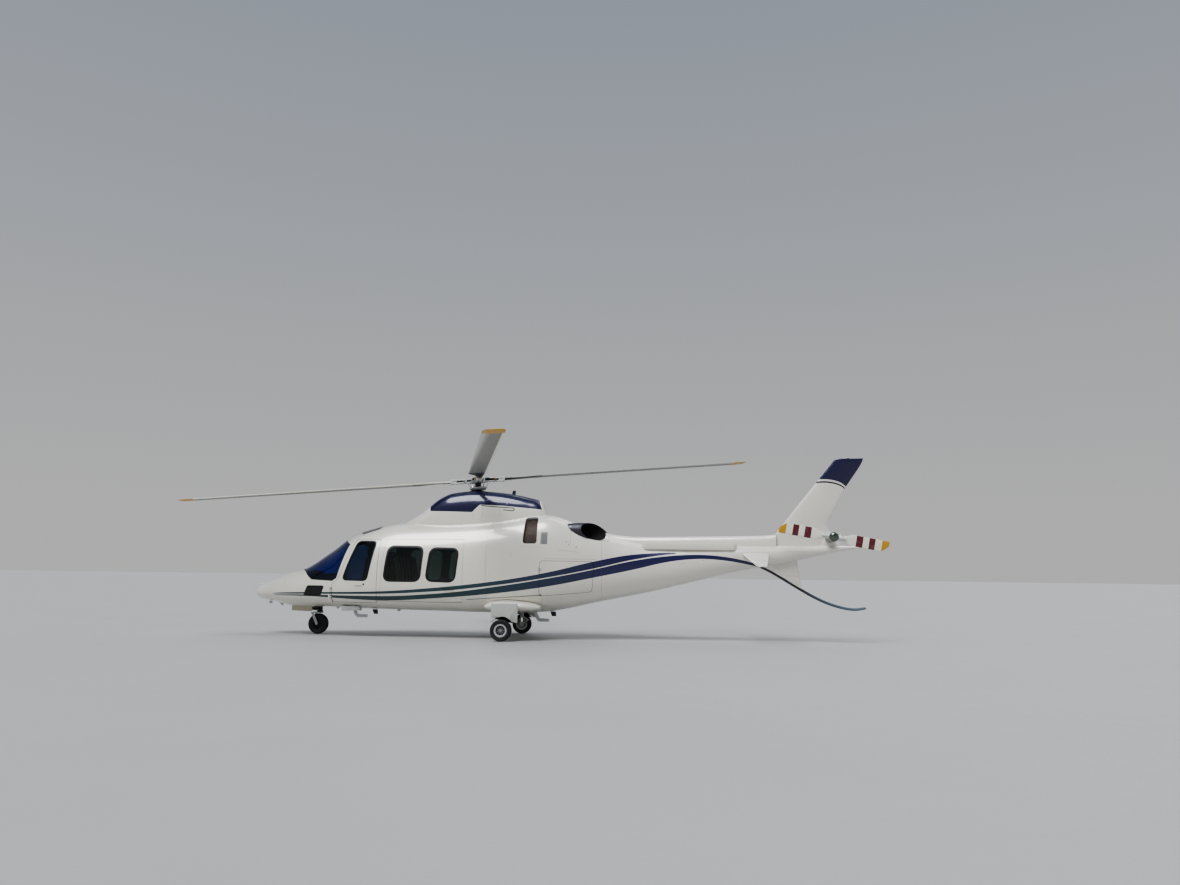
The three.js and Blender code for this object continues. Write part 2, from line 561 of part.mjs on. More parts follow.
piece('aft_fuselage', join(cut(
  common(outer, slice(CABIN_REAR, BAY_REAR)), baySpaces, cowlRegion, bagCut(BAGGAGE.gap),
  exhaustOuter(-1, SEAT_GAP), exhaustOuter(1, SEAT_GAP)), ...bagLugs, bayStep,
common(beds, slice(-FAR, BAY_REAR))), 'white');

const BAG_LINING = [300, 1900];
const bagSkin = cut(outer, body(...BAG_LINING, BAGGAGE.wall));
const bagArm = BAGGAGE.x + BAGGAGE.arm;
const bagBarrels = BAGGAGE.heights.map((z) => {
  const [low, high] = [z - BARREL.half + BARREL.high, z + BARREL.half - BARREL.high];
  return join(
    rod([BAGGAGE.x, -BAGGAGE.y, z - BARREL.half], [BAGGAGE.x, -BAGGAGE.y, z + BARREL.half], BAGGAGE.radius),
    ear(-1, BAGGAGE.x, bagArm, BAGGAGE.armDepth, -BAGGAGE.y - BAGGAGE.over, low, high),
    ear(-1, bagArm - BAGGAGE.web, bagArm, BAGGAGE.webDepth, -BAGGAGE.y - BAGGAGE.over, low, high));
});
piece('baggage_door', join(common(bagSkin, bagCut(0)), ...bagBarrels), 'white');

// Engine cowls, engines and exhausts
for (const { name, sign } of SIDES) {
  const intake = common(across(INTAKE.side, INTAKE.corner), half(sign, INTAKE.depth));
  piece(`engine_cowl_${name}`, cut(
    common(cut(outer, innerAft), block(CABIN_REAR, COWL_REAR - SEAT_GAP, -FAR, FAR, COWL_EDGE + SEAT_GAP, FAR),
      half(sign, SEAT_GAP / 2)), intake, exhaustOuter(sign, SEAT_GAP)), 'white');
  piece(`exhaust_${name}`, exhaust(sign), 'black');
}
const ENGINE = { x0: -120, x1: 960, y0: 130, y1: 400, height: 370 };
const ENGINE_LINK = { x0: 200, x1: 260, half: 135, height: 120 };
const engineBlock = (sign) => block(
  ENGINE.x0, ENGINE.x1, sign < 0 ? -ENGINE.y1 : ENGINE.y0, sign < 0 ? -ENGINE.y0 : ENGINE.y1,
  DECK + SEAT_GAP, DECK + ENGINE.height);
piece('engines', join(
  engineBlock(-1), engineBlock(1),
  block(ENGINE_LINK.x0, ENGINE_LINK.x1, -ENGINE_LINK.half, ENGINE_LINK.half, DECK + SEAT_GAP,
    DECK + ENGINE_LINK.height)), 'steel');

// Rotor pylon, gearbox and mast
const tiltAngle = THREE.MathUtils.degToRad(ROTOR.tilt);
const mastPoint = (distance) => [
  ROTOR.x - distance * Math.sin(tiltAngle), 0, ROTOR.z + distance * Math.cos(tiltAngle)];
const MAST = { radius: 62, low: -385, high: 60, hole: 135, holeLow: -400, holeHigh: 200, boss: 110, bossLow: -520 };
const GEARBOX = { x0: -1000, x1: -450, half: 250, top: 2500 };
piece('main_gearbox', join(
  block(GEARBOX.x0, GEARBOX.x1, -GEARBOX.half, GEARBOX.half, GEARBOX_SEAT.z + SEAT_GAP, GEARBOX.top),
  rod(mastPoint(MAST.bossLow), mastPoint(MAST.low - SEAT_GAP), MAST.boss)), 'steel');
const pylon = cut(
  fairing(PYLON_SECTIONS, PYLON_BASE, PYLON_POWER), fairing(PYLON_SECTIONS, PYLON_BASE, PYLON_POWER, COWL_WALL),
  outerGrown, rod(mastPoint(MAST.holeLow), mastPoint(MAST.holeHigh), MAST.hole, 16));
piece('pylon_base', cut(pylon, across(PYLON_CAP, 0, SEAT_GAP)), 'white');
piece('pylon_cap', common(pylon, across(PYLON_CAP)), 'blue');

// Tail boom, drive cover, tail cone with fin, ventral fin with skid
const BOOM_LINING = [1600, 5100];
const boomInner = body(...BOOM_LINING, BOOM_WALL);
const strake = cut(prism(outline(STRAKE.plan), 'z', STRAKE.low, STRAKE.high), boomInner);
piece('tail_boom', join(
  cut(common(outer, slice(BAY_REAR + SEAT_GAP, BOOM_END - SEAT_GAP)), boomInner,
    exhaustOuter(-1, SEAT_GAP), exhaustOuter(1, SEAT_GAP)),
  strake, common(beds, slice(BAY_REAR + SEAT_GAP, FAR))), 'white');
piece('drive_cover', cut(
  common(fairing(SPINE_SECTIONS, SPINE_BASE, SPINE_POWER), slice(BAY_REAR + SEAT_GAP, BOOM_END - SEAT_GAP)),
  outerGrown), 'white');

const AEROFOIL_POINTS = 12;
const BLUNTNESS = 0.25;
// Aerofoil ring from leading to trailing edge, as offsets along the chord and across it
function aerofoil(lead, trail, thick, place) {
  const count = AEROFOIL_POINTS;
  return Array.from({ length: count }, (unused, i) => {
    const angle = (2 * Math.PI * i) / count;
    const along = (lead + trail) / 2 + ((lead - trail) / 2) * Math.cos(angle);
    return place(along, (thick / 2) * Math.sin(angle) * (1 - BLUNTNESS + BLUNTNESS * Math.cos(angle)));
  });
}
const fin = loft(FIN_SECTIONS.map(([z, lead, trail, thick]) => aerofoil(
  lead, trail, thick, (along, side) => new THREE.Vector3(along, side, z))));
const TAIL_GEARBOX = { radius: 88, out: 360, front: 160, rear: 30, half: 40, low: 1700 };
piece('tail_fin', join(
  common(outer, slice(BOOM_END, FAR)), cut(fin, slice(-FAR, BOOM_END)),
  rod([TAIL_ROTOR.x, 0, TAIL_ROTOR.z], [TAIL_ROTOR.x, -TAIL_GEARBOX.out, TAIL_ROTOR.z], TAIL_GEARBOX.radius, 16),
  block(TAIL_ROTOR.x - TAIL_GEARBOX.front, TAIL_ROTOR.x + TAIL_GEARBOX.rear,
    -TAIL_GEARBOX.half, TAIL_GEARBOX.half, TAIL_GEARBOX.low, TAIL_ROTOR.z)), 'white');
const skidPath = new THREE.CatmullRomCurve3(SKID_ROUTE.map(([x, z]) => new THREE.Vector3(x, 0, z)));
const SKID = { radius: 27, points: 8, steps: 16 };
const VENTRAL_HALF = 21;
const skidSection = new THREE.Shape(Array.from({ length: SKID.points }, (unused, i) => {
  const angle = (2 * Math.PI * i) / SKID.points;
  return new THREE.Vector2(SKID.radius * Math.cos(angle), SKID.radius * Math.sin(angle));
}));
const skid = solid(new THREE.ExtrudeGeometry(
  skidSection, { steps: SKID.steps, extrudePath: skidPath, bevelEnabled: false }));
piece('ventral_fin', cut(
  join(prism(outline(VENTRAL_FIN), 'y', -VENTRAL_HALF, VENTRAL_HALF), skid), outerGrown), 'white');
for (const { name, sign } of SIDES) {
  piece(`stabilizer_${name}`, cut(loft(STABILIZER_SECTIONS.map(([y, lead, trail, z, thick]) => aerofoil(
    lead, trail, thick, (along, up) => new THREE.Vector3(along, sign * y, z + up)))), outerGrown), 'white');
}

// Main gear: fairing, leg with its door, wheel
function wheel(halfWidth) {
  const profile = [
    [TYRE.bore, -halfWidth * 0.5], [TYRE.rim * 0.9, -halfWidth * 0.5], [TYRE.rim, -halfWidth * 0.9],
    [TYRE.radius - TYRE.shoulder, -halfWidth], [TYRE.radius, -halfWidth * 0.4]];
  const points = [...profile, ...profile.map(([r, w]) => [r, -w]).reverse(), profile[0]];
  return solid(new THREE.LatheGeometry(points.map(([r, w]) => new THREE.Vector2(r, w)), TYRE.points));
}
for (const { name, sign } of SIDES) {
  const leg = join(
    rod([LEG.x, sign * LEG.y, LEG.low], [LEG.x, sign * LEG.y, LEG.top], LEG.radius, 20),
    rod([MAIN_WHEEL.x, sign * LEG.axleStart, TYRE.radius], [MAIN_WHEEL.x, sign * LEG.axleEnd, TYRE.radius],
      LEG.axle),
    block(LEG.x - LEG.bracket, LEG.x + LEG.bracket, Math.min(sign * LEG.y, sign * GEAR_DOOR.y) - LEG.overlap,
      Math.max(sign * LEG.y, sign * GEAR_DOOR.y) + LEG.overlap, LEG.bracketLow, LEG.bracketHigh));
  const door = cut(
    prism(outline([[GEAR_DOOR.x0, GEAR_DOOR.low], [GEAR_DOOR.x1, GEAR_DOOR.low + GEAR_DOOR.rise],
      [GEAR_DOOR.x1, GEAR_DOOR.top], [GEAR_DOOR.x0, GEAR_DOOR.top]]),
    'y', Math.min(sign * GEAR_DOOR.y, sign * (GEAR_DOOR.y + GEAR_DOOR.wall)),
    Math.max(sign * GEAR_DOOR.y, sign * (GEAR_DOOR.y + GEAR_DOOR.wall))),
    rod([MAIN_WHEEL.x, -FAR, TYRE.radius], [MAIN_WHEEL.x, FAR, TYRE.radius], GEAR_DOOR.arch, 30));
  piece(`main_leg_${name}`, join(leg, door), 'steel');
  const angles = Array.from({ length: RING_POINTS }, (unused, i) => (2 * Math.PI * i) / RING_POINTS);
  const pod = loft(SPONSON_SECTIONS.map(([x, wide, tall, z]) => angles.map((angle) => new THREE.Vector3(
    x, sign * SPONSON_Y + wide * power(Math.cos(angle), SPONSON_POWER),
    z + tall * power(Math.sin(angle), SPONSON_POWER)))));
  piece(`gear_fairing_${name}`, cut(
    pod, outerGrown,
    rod([LEG.x, sign * LEG.y, 0], [LEG.x, sign * LEG.y, LEG.top + SEAT_GAP], LEG.radius + SEAT_GAP, 20)), 'white');
  const mesh = piece(`wheel_${name}`, wheel(TYRE.halfWidth), 'rubber');
  mesh.position.set(MAIN_WHEEL.x, sign * MAIN_WHEEL.y, TYRE.radius);
}

// Nose gear: leg with its doors, steered fork, wheel
const NOSE_DOOR = { x0: -4240, x1: -3845, y: 165, wall: 12, low: 424, rise: 14, front: 600, rear: 560 };
const NOSE_STRUT = { radius: 56, top: 560 };
const DRAG_BRACE = { half: 24, side: [[-3960, 600], [-3745, 470], [-3745, 430], [-4000, 560]] };
const DOOR_LINK = { x0: -3900, x1: -3860, reach: -3740, half: 20, low: 455, high: 480 };
const FORK = {
  front: -3895, rear: -3695, half: 94, low: 392, high: 410, arm: 84, armHalf: 10, axle: 90,
  side: [[-3895, 410], [-3845, 410], [-3743, 196], [-3757, 168], [-3783, 172]],
};
const noseDoors = SIDES.map(({ sign }) => prism(outline([
  [NOSE_DOOR.x0, NOSE_DOOR.low + NOSE_DOOR.rise], [NOSE_DOOR.x1, NOSE_DOOR.low],
  [NOSE_DOOR.x1, NOSE_DOOR.rear], [NOSE_DOOR.x0, NOSE_DOOR.front]]),
'y', sign * NOSE_DOOR.y - NOSE_DOOR.wall / 2, sign * NOSE_DOOR.y + NOSE_DOOR.wall / 2));
piece('nose_leg', cut(join(
  rod([NOSE_WHEEL.steer, 0, FORK.high + SEAT_GAP], [NOSE_WHEEL.steer, 0, NOSE_STRUT.top], NOSE_STRUT.radius, 20),
  prism(outline(DRAG_BRACE.side), 'y', -DRAG_BRACE.half, DRAG_BRACE.half),
  block(DOOR_LINK.x0, DOOR_LINK.x1, -NOSE_DOOR.y, NOSE_DOOR.y, DOOR_LINK.low, DOOR_LINK.high),
  block(DOOR_LINK.x0, DOOR_LINK.reach, -DOOR_LINK.half, DOOR_LINK.half, DOOR_LINK.low, DOOR_LINK.high),
  ...noseDoors), outerGrown), 'steel');
const forkArms = SIDES.map(({ sign }) => prism(
  outline(FORK.side), 'y', sign * FORK.arm - FORK.armHalf, sign * FORK.arm + FORK.armHalf));
piece('nose_fork', join(
  block(FORK.front, FORK.rear, -FORK.half, FORK.half, FORK.low, FORK.high), ...forkArms,
  rod([NOSE_WHEEL.x, -FORK.axle, TYRE.radius], [NOSE_WHEEL.x, FORK.axle, TYRE.radius], LEG.axle)), 'steel');
piece('nose_wheel', wheel(NOSE_WHEEL.halfWidth), 'rubber')
  .position.set(NOSE_WHEEL.x, 0, TYRE.radius);

// Cockpit and cabin furniture
const PANEL = { half: 500, corner: 20, side: [[-3560, 880], [-3400, 880], [-3430, 1150], [-3600, 1120]] };
const CONSOLE = { x0: -3560, x1: -3120, half: 110, top: 900 };
piece('instrument_panel', join(
  prism(outline(PANEL.side, PANEL.corner), 'y', -PANEL.half, PANEL.half),
  block(CONSOLE.x0, CONSOLE.x1, -CONSOLE.half, CONSOLE.half, FLOOR + SEAT_GAP, CONSOLE.top)), 'black');
// Seats: name, front of the cushion, its direction, middle and half width
const SEAT_ROWS = [
  { name: 'pilot_seat_left', front: -2990, way: 1, y: -355, half: 220, depth: 500, back: 1560 },
  { name: 'pilot_seat_right', front: -2990, way: 1, y: 355, half: 220, depth: 500, back: 1560 },
  { name: 'cabin_seat_front', front: -1640, way: -1, y: 0, half: 640, depth: 500, back: 1500 },
  { name: 'cabin_seat_rear', front: -930, way: 1, y: 0, half: 640, depth: 500, back: 1500 },
];
const SEAT = {
  toe: 60, foot: 40, lean: 30, backTop: 70, backLow: 125, rear: 390, front: 410, nose: 20, noseLow: 380, clear: 6,
};
const lining = body(CABIN_LINING[0], 0, WALL + SEAT.clear);
for (const row of SEAT_ROWS) {
  const profile = [
    [0, FLOOR + SEAT.toe], [SEAT.foot, FLOOR + SEAT_GAP], [row.depth - SEAT.foot, FLOOR + SEAT_GAP],
    [row.depth + SEAT.lean, row.back], [row.depth - SEAT.backTop, row.back],
    [row.depth - SEAT.backLow, FLOOR + SEAT.rear], [SEAT.nose, FLOOR + SEAT.front], [0, FLOOR + SEAT.noseLow]];
  piece(row.name, common(lining, prism(outline(profile.map(([x, z]) => [row.front + row.way * x, z])),
    'y', row.y - row.half, row.y + row.half)), 'leather');
}

// Main rotor, turned about the leaning mast
const mastAxis = new THREE.Group();
mastAxis.position.set(ROTOR.x, 0, ROTOR.z);
mastAxis.rotation.y = -tiltAngle;
airframe.add(mastAxis);
const spin = new THREE.Group();
spin.rotation.z = THREE.MathUtils.degToRad(ROTOR.azimuth);
mastAxis.add(spin);
const quarter = (k) => (2 * Math.PI * k) / ROTOR.blades;
const ringPoint = (k, radius, z, turn = 0) => [
  radius * Math.cos(quarter(k) + turn), radius * Math.sin(quarter(k) + turn), z];
const SWASH = { low: -185, high: -135, radius: 172 };
const HUB = { low: -52, high: 40, radius: 165, capHigh: 85, capRadius: 95 };
// Grip sections outwards: radius, half width, half height
const GRIP_SECTIONS = [[120, 62, 44], [260, 55, 40], [ROTOR.root, 52, 34]];
const LINK = { foot: 150, footZ: -160, footTurn: 0.62, head: 265, headTurn: 0.42, radius: 13 };
const HORN = { end: 290, radius: 16 };
const headPieces = [
  rod([0, 0, MAST.low], [0, 0, MAST.high], MAST.radius, 12),
  rod([0, 0, HUB.low], [0, 0, HUB.high], HUB.radius, 16),
  rod([0, 0, HUB.high], [0, 0, HUB.capHigh], HUB.capRadius, 12),
  rod([0, 0, SWASH.low], [0, 0, SWASH.high], SWASH.radius, 16),
];
for (let k = 0; k < ROTOR.blades; k += 1) {
  headPieces.push(
    loft(GRIP_SECTIONS.map(([r, wide, tall]) => (
      [[-1, -1], [1, -1], [1, 1], [-1, 1]].map(([a, b]) => new THREE.Vector3(r, a * wide, b * tall)
        .applyAxisAngle(new THREE.Vector3(0, 0, 1), quarter(k)))))),
    rod(ringPoint(k, LINK.foot, LINK.footZ, LINK.footTurn), ringPoint(k, LINK.head, 0, LINK.headTurn),
      LINK.radius, 6),
    rod(ringPoint(k, LINK.head, 0, LINK.headTurn), ringPoint(k, HORN.end, 0), HORN.radius, 6));
}
piece('rotor_head', join(...headPieces), 'black', spin);
// Blade sections outwards: radius, chord, thickness
const BLADE_SECTIONS = [
  [ROTOR.root + SEAT_GAP, 112, 62], [760, 130, 50], [1120, ROTOR.chord, 36],
  [ROTOR.radius - 160, ROTOR.chord, 30], [ROTOR.radius, ROTOR.chord * 0.72, 20],
];
// Share of the chord ahead of the blade's axis, on the cuff and beyond it
const AHEAD = { cuff: 0.5, blade: 0.3, cuffEnd: 800 };
const blade = loft(BLADE_SECTIONS.map(([radius, chord, thick]) => {
  const ahead = radius < AHEAD.cuffEnd ? AHEAD.cuff : AHEAD.blade;
  return aerofoil(
    chord * ahead, chord * (ahead - 1), thick, (along, up) => new THREE.Vector3(radius, along, up));
}));
for (let k = 0; k < ROTOR.blades; k += 1) {
  const mesh = piece(`main_blade_${k + 1}`, blade, 'blade', spin);
  mesh.rotation.set(0, 0, quarter(k));
}

// Tail rotor, on the port side of the tail cone
const tailAxis = new THREE.Group();
tailAxis.position.set(TAIL_ROTOR.x, TAIL_ROTOR.y, TAIL_ROTOR.z);
tailAxis.rotation.y = THREE.MathUtils.degToRad(TAIL_ROTOR.angle);
airframe.add(tailAxis);
// Tail blade sections outwards: radius, chord, thickness
const TAIL_BLADE_SECTIONS = [
  [60, 90, 34], [210, 110, 30], [330, TAIL_ROTOR.chord, TAIL_ROTOR.thickness],
  [TAIL_ROTOR.radius, TAIL_ROTOR.chord, 14],
];
const TAIL_HUB = { half: 60, radius: 78, cap: 95, capRadius: 50, shaftStart: 50 };
const tailBlade = (way) => loft(TAIL_BLADE_SECTIONS.map(([radius, chord, thick]) => aerofoil(
  chord / 2, -chord / 2, thick, (along, side) => new THREE.Vector3(way * radius, side, way * along))));
piece('tail_rotor', join(
  tailBlade(1), tailBlade(-1),
  rod([0, -TAIL_HUB.half, 0], [0, TAIL_HUB.half, 0], TAIL_HUB.radius, 16),
  rod([0, -TAIL_HUB.cap, 0], [0, -TAIL_HUB.half, 0], TAIL_HUB.capRadius, 12),
  rod([0, TAIL_HUB.shaftStart, 0], [0, -TAIL_ROTOR.y - TAIL_GEARBOX.out - SEAT_GAP, 0], TAIL_ROTOR.shaft, 12)),
'blade', tailAxis);

export default helicopter;
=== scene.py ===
"""Dresses a light twin-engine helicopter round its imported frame.

Lengths are metres. The nose points to -X, starboard is +Y and up is +Z. Tables of the airframe count from
the main axle on the ground, and AXLE_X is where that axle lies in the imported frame.
"""

import math

import bpy
import numpy as np
from mathutils import Matrix, Vector


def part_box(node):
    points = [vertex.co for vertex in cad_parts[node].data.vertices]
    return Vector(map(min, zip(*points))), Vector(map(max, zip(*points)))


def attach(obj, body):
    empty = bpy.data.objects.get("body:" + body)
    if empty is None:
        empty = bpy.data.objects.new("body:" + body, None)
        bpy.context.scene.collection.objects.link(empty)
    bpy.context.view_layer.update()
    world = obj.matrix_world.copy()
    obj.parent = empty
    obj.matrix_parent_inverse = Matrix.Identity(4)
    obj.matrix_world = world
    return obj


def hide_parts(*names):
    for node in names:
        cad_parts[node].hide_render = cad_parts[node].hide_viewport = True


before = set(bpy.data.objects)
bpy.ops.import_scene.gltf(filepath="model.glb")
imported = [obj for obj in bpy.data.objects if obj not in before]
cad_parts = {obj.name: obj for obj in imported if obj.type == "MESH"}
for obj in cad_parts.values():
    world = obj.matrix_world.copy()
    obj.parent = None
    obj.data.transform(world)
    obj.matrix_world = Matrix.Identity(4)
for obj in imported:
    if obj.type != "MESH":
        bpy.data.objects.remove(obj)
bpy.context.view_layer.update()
AXLE_X = sum(corner.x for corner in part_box("wheel_left")) / 2

bl_info = {
    "name": "Light Twin Helicopter",
    "version": (1, 0, 0),
    "blender": (4, 5, 0),
    "location": "3D View > Sidebar > Helicopter",
    "description": "Builds the skins, glass, gear, rotors and cabin of a light twin-engine helicopter",
    "category": "Object",
}

SIDES = (("left", -1), ("right", 1))
X, Y, Z = np.eye(3)

# Fuselage and tail sections in millimetres: x, lowest, highest, half width, height of the widest line,
# roundness below it and roundness above it
BODY = np.array([
    [-5042, 786, 788, 1, 787, 2.0, 2.0], [-5005, 705, 862, 100, 787, 2.0, 2.0],
    [-4900, 648, 930, 205, 792, 2.0, 2.0], [-4750, 620, 1000, 300, 800, 2.1, 2.0],
    [-4600, 598, 1060, 375, 808, 2.2, 2.0], [-4400, 548, 1135, 450, 818, 2.3, 2.0],
    [-4230, 512, 1187, 505, 830, 2.4, 2.0], [-4060, 508, 1226, 550, 840, 2.5, 1.95],
    [-3800, 512, 1372, 605, 862, 2.6, 1.9], [-3610, 513, 1508, 645, 882, 2.7, 1.9],
    [-3420, 510, 1640, 680, 905, 2.8, 1.95], [-3210, 500, 1805, 715, 945, 2.9, 2.05],
    [-2990, 495, 1930, 745, 985, 3.0, 2.15], [-2740, 490, 2005, 770, 1000, 3.0, 2.2],
    [-2480, 486, 2078, 788, 1020, 3.0, 2.25], [-2150, 480, 2128, 798, 1040, 3.0, 2.3],
    [-1310, 468, 2160, 800, 1080, 3.0, 2.4], [-560, 455, 2190, 795, 1120, 3.0, 2.6],
    [0, 458, 2235, 785, 1150, 3.0, 2.9], [400, 468, 2278, 772, 1180, 3.0, 3.3],
    [660, 480, 2285, 752, 1200, 2.9, 3.4], [930, 520, 2235, 715, 1215, 2.8, 3.2],
    [1150, 565, 2150, 672, 1230, 2.7, 2.9], [1400, 622, 2050, 615, 1245, 2.6, 2.8],
    [1660, 682, 1962, 556, 1260, 2.5, 2.7], [2000, 750, 1850, 480, 1290, 2.4, 2.5],
    [2590, 872, 1752, 400, 1340, 2.3, 2.3], [3510, 1095, 1748, 318, 1440, 2.2, 2.2],
    [4250, 1275, 1748, 250, 1525, 2.1, 2.2], [4900, 1398, 1750, 198, 1585, 2.1, 2.1],
    [5280, 1472, 1748, 165, 1615, 2.1, 2.1], [5900, 1612, 1762, 105, 1690, 2.0, 2.0],
    [6260, 1688, 1755, 62, 1722, 2.0, 2.0], [6480, 1722, 1742, 20, 1732, 2.0, 2.0],
])
BODY[:, :5] /= 1000
NOSE_TIP, TAIL_TIP = BODY[0, 0], BODY[-1, 0]
NOSE_JOINT, CABIN_FRONT, CABIN_REAR = -4.6, -3.36, -0.38
BAY_REAR, BOOM_END = 1.72, 4.9
FLOOR, COWL_EDGE, COWL_REAR = 0.6, 1.7, 1.15
WALL, BOOM_WALL, GLASS_WALL = 0.04, 0.025, 0.012
SEAT_GAP = 0.0003

# Rotor pylon and tail drive cover sections in millimetres: x, half width, top
PYLON = np.array([
    [-2180, 190, 2085], [-2100, 240, 2135], [-1740, 345, 2345], [-1400, 405, 2610], [-1180, 425, 2700],
    [-730, 435, 2745], [-250, 432, 2712], [100, 425, 2660], [320, 412, 2612], [520, 400, 2555],
    [570, 390, 2470], [610, 378, 2370], [660, 362, 2255],
]) / 1000
SPINE = np.array([
    [1720, 130, 1962], [2020, 125, 1915], [2400, 120, 1892], [3520, 115, 1908], [4640, 108, 1930],
    [4900, 100, 1952],
]) / 1000

# Side outlines in millimetres, as x and z
WINDSHIELD = [[-4080, 1233], [-3915, 1180], [-3800, 1092], [-3705, 1030], [-3270, 1012], [-3190, 1062],
              [-3032, 1690], [-3222, 1790], [-3500, 2120], [-4400, 1640]]
ROOF_SIDE = [[-3037, 1684], [-2962, 1840], [-380, 1840], [-380, 2700], [-3600, 2700], [-3600, 1684]]
COCKPIT_DOOR = [[-3270, 626], [-2400, 626], [-2400, 1782], [-2900, 1782], [-3140, 1062], [-3270, 950]]
COCKPIT_WINDOW = [[-3052, 1040], [-2600, 1034], [-2482, 1734], [-2852, 1738]]
CABIN_DOOR = [[-2335, 662], [-800, 662], [-800, 1790], [-2290, 1790]]
CABIN_WINDOW_FRONT = [[-2252, 1040], [-1610, 1040], [-1572, 1632], [-2202, 1640]]
CABIN_WINDOW_REAR = [[-1460, 1048], [-962, 1034], [-908, 1602], [-1402, 1612]]
CHIN_WINDOW = [[-3840, 742], [-3510, 742], [-3440, 908], [-3770, 908]]
INTAKE = [[285, 1724], [545, 1724], [541, 2226], [303, 2226]]
PYLON_CAP = [[-1560, 2334], [-740, 2314], [-603, 2455], [-215, 2442], [900, 2344], [900, 3200], [-1800, 3200]]
PYLON_REAR = [[555, 2200], [570, 2377], [500, 2560], [480, 2800], [900, 2800], [900, 2200]]
BAGGAGE_DOOR = [[26, 786], [985, 868], [1005, 1412], [26, 1412]]
BAGGAGE_HINGE, BAGGAGE_LEAN, BAGGAGE_WALL = (0.588, 0.776), math.radians(10.4), 0.022
ROOF_WINDOW = [[-2930, 110], [-2500, 110], [-2500, 370], [-2860, 370]]
EXHAUST = np.array([[1040, 372, 1990, 118, 118], [1300, 396, 1975, 145, 150], [1560, 404, 1962, 162, 160],
                    [1850, 404, 1955, 165, 162]]) / 1000
EXHAUST_MOUTH = np.array([[1.284, 0.590], [1.769, 0.235], [2.4, 0.235], [2.4, 0.9], [1.284, 0.9]])
MOUTH_LEAN = 0.4

# Painted bands along the side: x, then bottom and top of the upper and of the lower band
BANDS = np.array([
    [-4.60, 0.758, 0.752, 0.742, 0.738], [-4.48, 0.756, 0.772, 0.728, 0.741],
    [-3.73, 0.765, 0.797, 0.722, 0.752], [-3.00, 0.774, 0.811, 0.688, 0.745],
    [-2.33, 0.786, 0.832, 0.664, 0.744], [-1.18, 0.854, 0.922, 0.730, 0.813],
    [-0.10, 0.980, 1.053, 0.834, 0.955], [0.80, 1.127, 1.218, 0.966, 1.109],
    [1.57, 1.286, 1.413, 1.124, 1.268], [2.29, 1.460, 1.552, 1.277, 1.438],
    [2.96, 1.565, 1.598, 1.434, 1.536], [3.30, 1.590, 1.586, 1.476, 1.560],
    [3.56, 1.600, 1.590, 1.490, 1.563], [4.02, 1.590, 1.580, 1.456, 1.523],
    [4.48, 1.560, 1.550, 1.375, 1.425], [4.60, 1.540, 1.530, 1.345, 1.385],
])
BAND_END = 4.62

ROTOR = {"x": -0.74, "z": 2.95, "tilt": math.radians(5.75), "turn": math.radians(-74.5), "radius": 5.415,
         "chord": 0.33, "root": 0.52}
TAIL_ROTOR = {"x": 5.89, "y": -0.45, "z": 1.9, "radius": 0.975, "chord": 0.2, "turn": math.radians(10.3)}


# Curves and outlines

def monotone(xs, ys, x):
    """Cubic through points, whose slope at each is the harmonic mean of the steps beside it."""
    rise = np.diff(ys) / np.diff(xs)
    before = np.concatenate([rise[:1], rise])
    after = np.concatenate([rise, rise[-1:]])
    agree = before * after > 0
    slope = np.where(agree, 2 * before * after / np.where(agree, before + after, 1), 0)
    i = np.clip(np.searchsorted(xs, x) - 1, 0, len(xs) - 2)
    span = xs[i + 1] - xs[i]
    t = np.clip((x - xs[i]) / span, 0, 1)
    return ((1 + 2 * t) * (1 - t) ** 2 * ys[i] + t * (1 - t) ** 2 * span * slope[i]
            + t * t * (3 - 2 * t) * ys[i + 1] + t * t * (t - 1) * span * slope[i + 1])


def softened(xs, ys, x, soft):
    """Monotone cubic averaged over a bell of width soft, so that curvature runs on smoothly."""
    steps = np.linspace(-2, 2, 9)
    weights = np.exp(-0.5 * steps ** 2)
    room = np.minimum(soft, np.minimum(x - xs[0], xs[-1] - x) / 3)
    near = x[:, None] + room[:, None] * steps
    return (monotone(xs, ys, near.ravel()).reshape(near.shape) * weights).sum(1) / weights.sum()


SKIN_SOFT = 0.05
fine_x = np.linspace(NOSE_TIP, TAIL_TIP, 4600)
blunt = np.sqrt(np.maximum(BODY[:10, 0] - NOSE_TIP, 0))
blend_in = np.clip((fine_x + 4.6) / 0.35, 0, 1)
blend_in = blend_in * blend_in * (3 - 2 * blend_in)
BODY_FINE = [
    softened(BODY[:, 0], BODY[:, key], fine_x, SKIN_SOFT) * blend_in
    + monotone(blunt, BODY[:10, key], np.sqrt(fine_x - NOSE_TIP)) * (1 - blend_in)
    for key in range(1, 7)
]


def body_columns(x):
    """Low, high, half width, waist and both roundnesses of the fuselage section at x."""
    return [np.interp(x, fine_x, column) for column in BODY_FINE]


def body_point(x, angle, inset=0.0):
    """Superellipse round the x axis: half width beside the waist line, one height above it and one below."""
    low, high, half, waist, round_low, round_high = body_columns(x)
    up = np.sin(angle) > 0
    power = np.where(up, round_high, round_low)
    rise = np.where(up, high - waist, waist - low) - inset
    across, lift = np.cos(angle), np.sin(angle)
    reach = (np.abs(across) ** power + np.abs(lift) ** power) ** (-1 / power)
    return np.stack([x + 0 * angle, (half - inset) * reach * across, waist + rise * reach * lift], -1)


def body_side(x, z):
    """Half width of the fuselage at x and height z."""
    low, high, half, waist, round_low, round_high = body_columns(x)
    up = z > waist
    power = np.where(up, round_high, round_low)
    share = np.clip(np.abs(z - waist) / np.where(up, high - waist, waist - low), 0, 1)
    return half * (1 - share ** power) ** (1 / power)


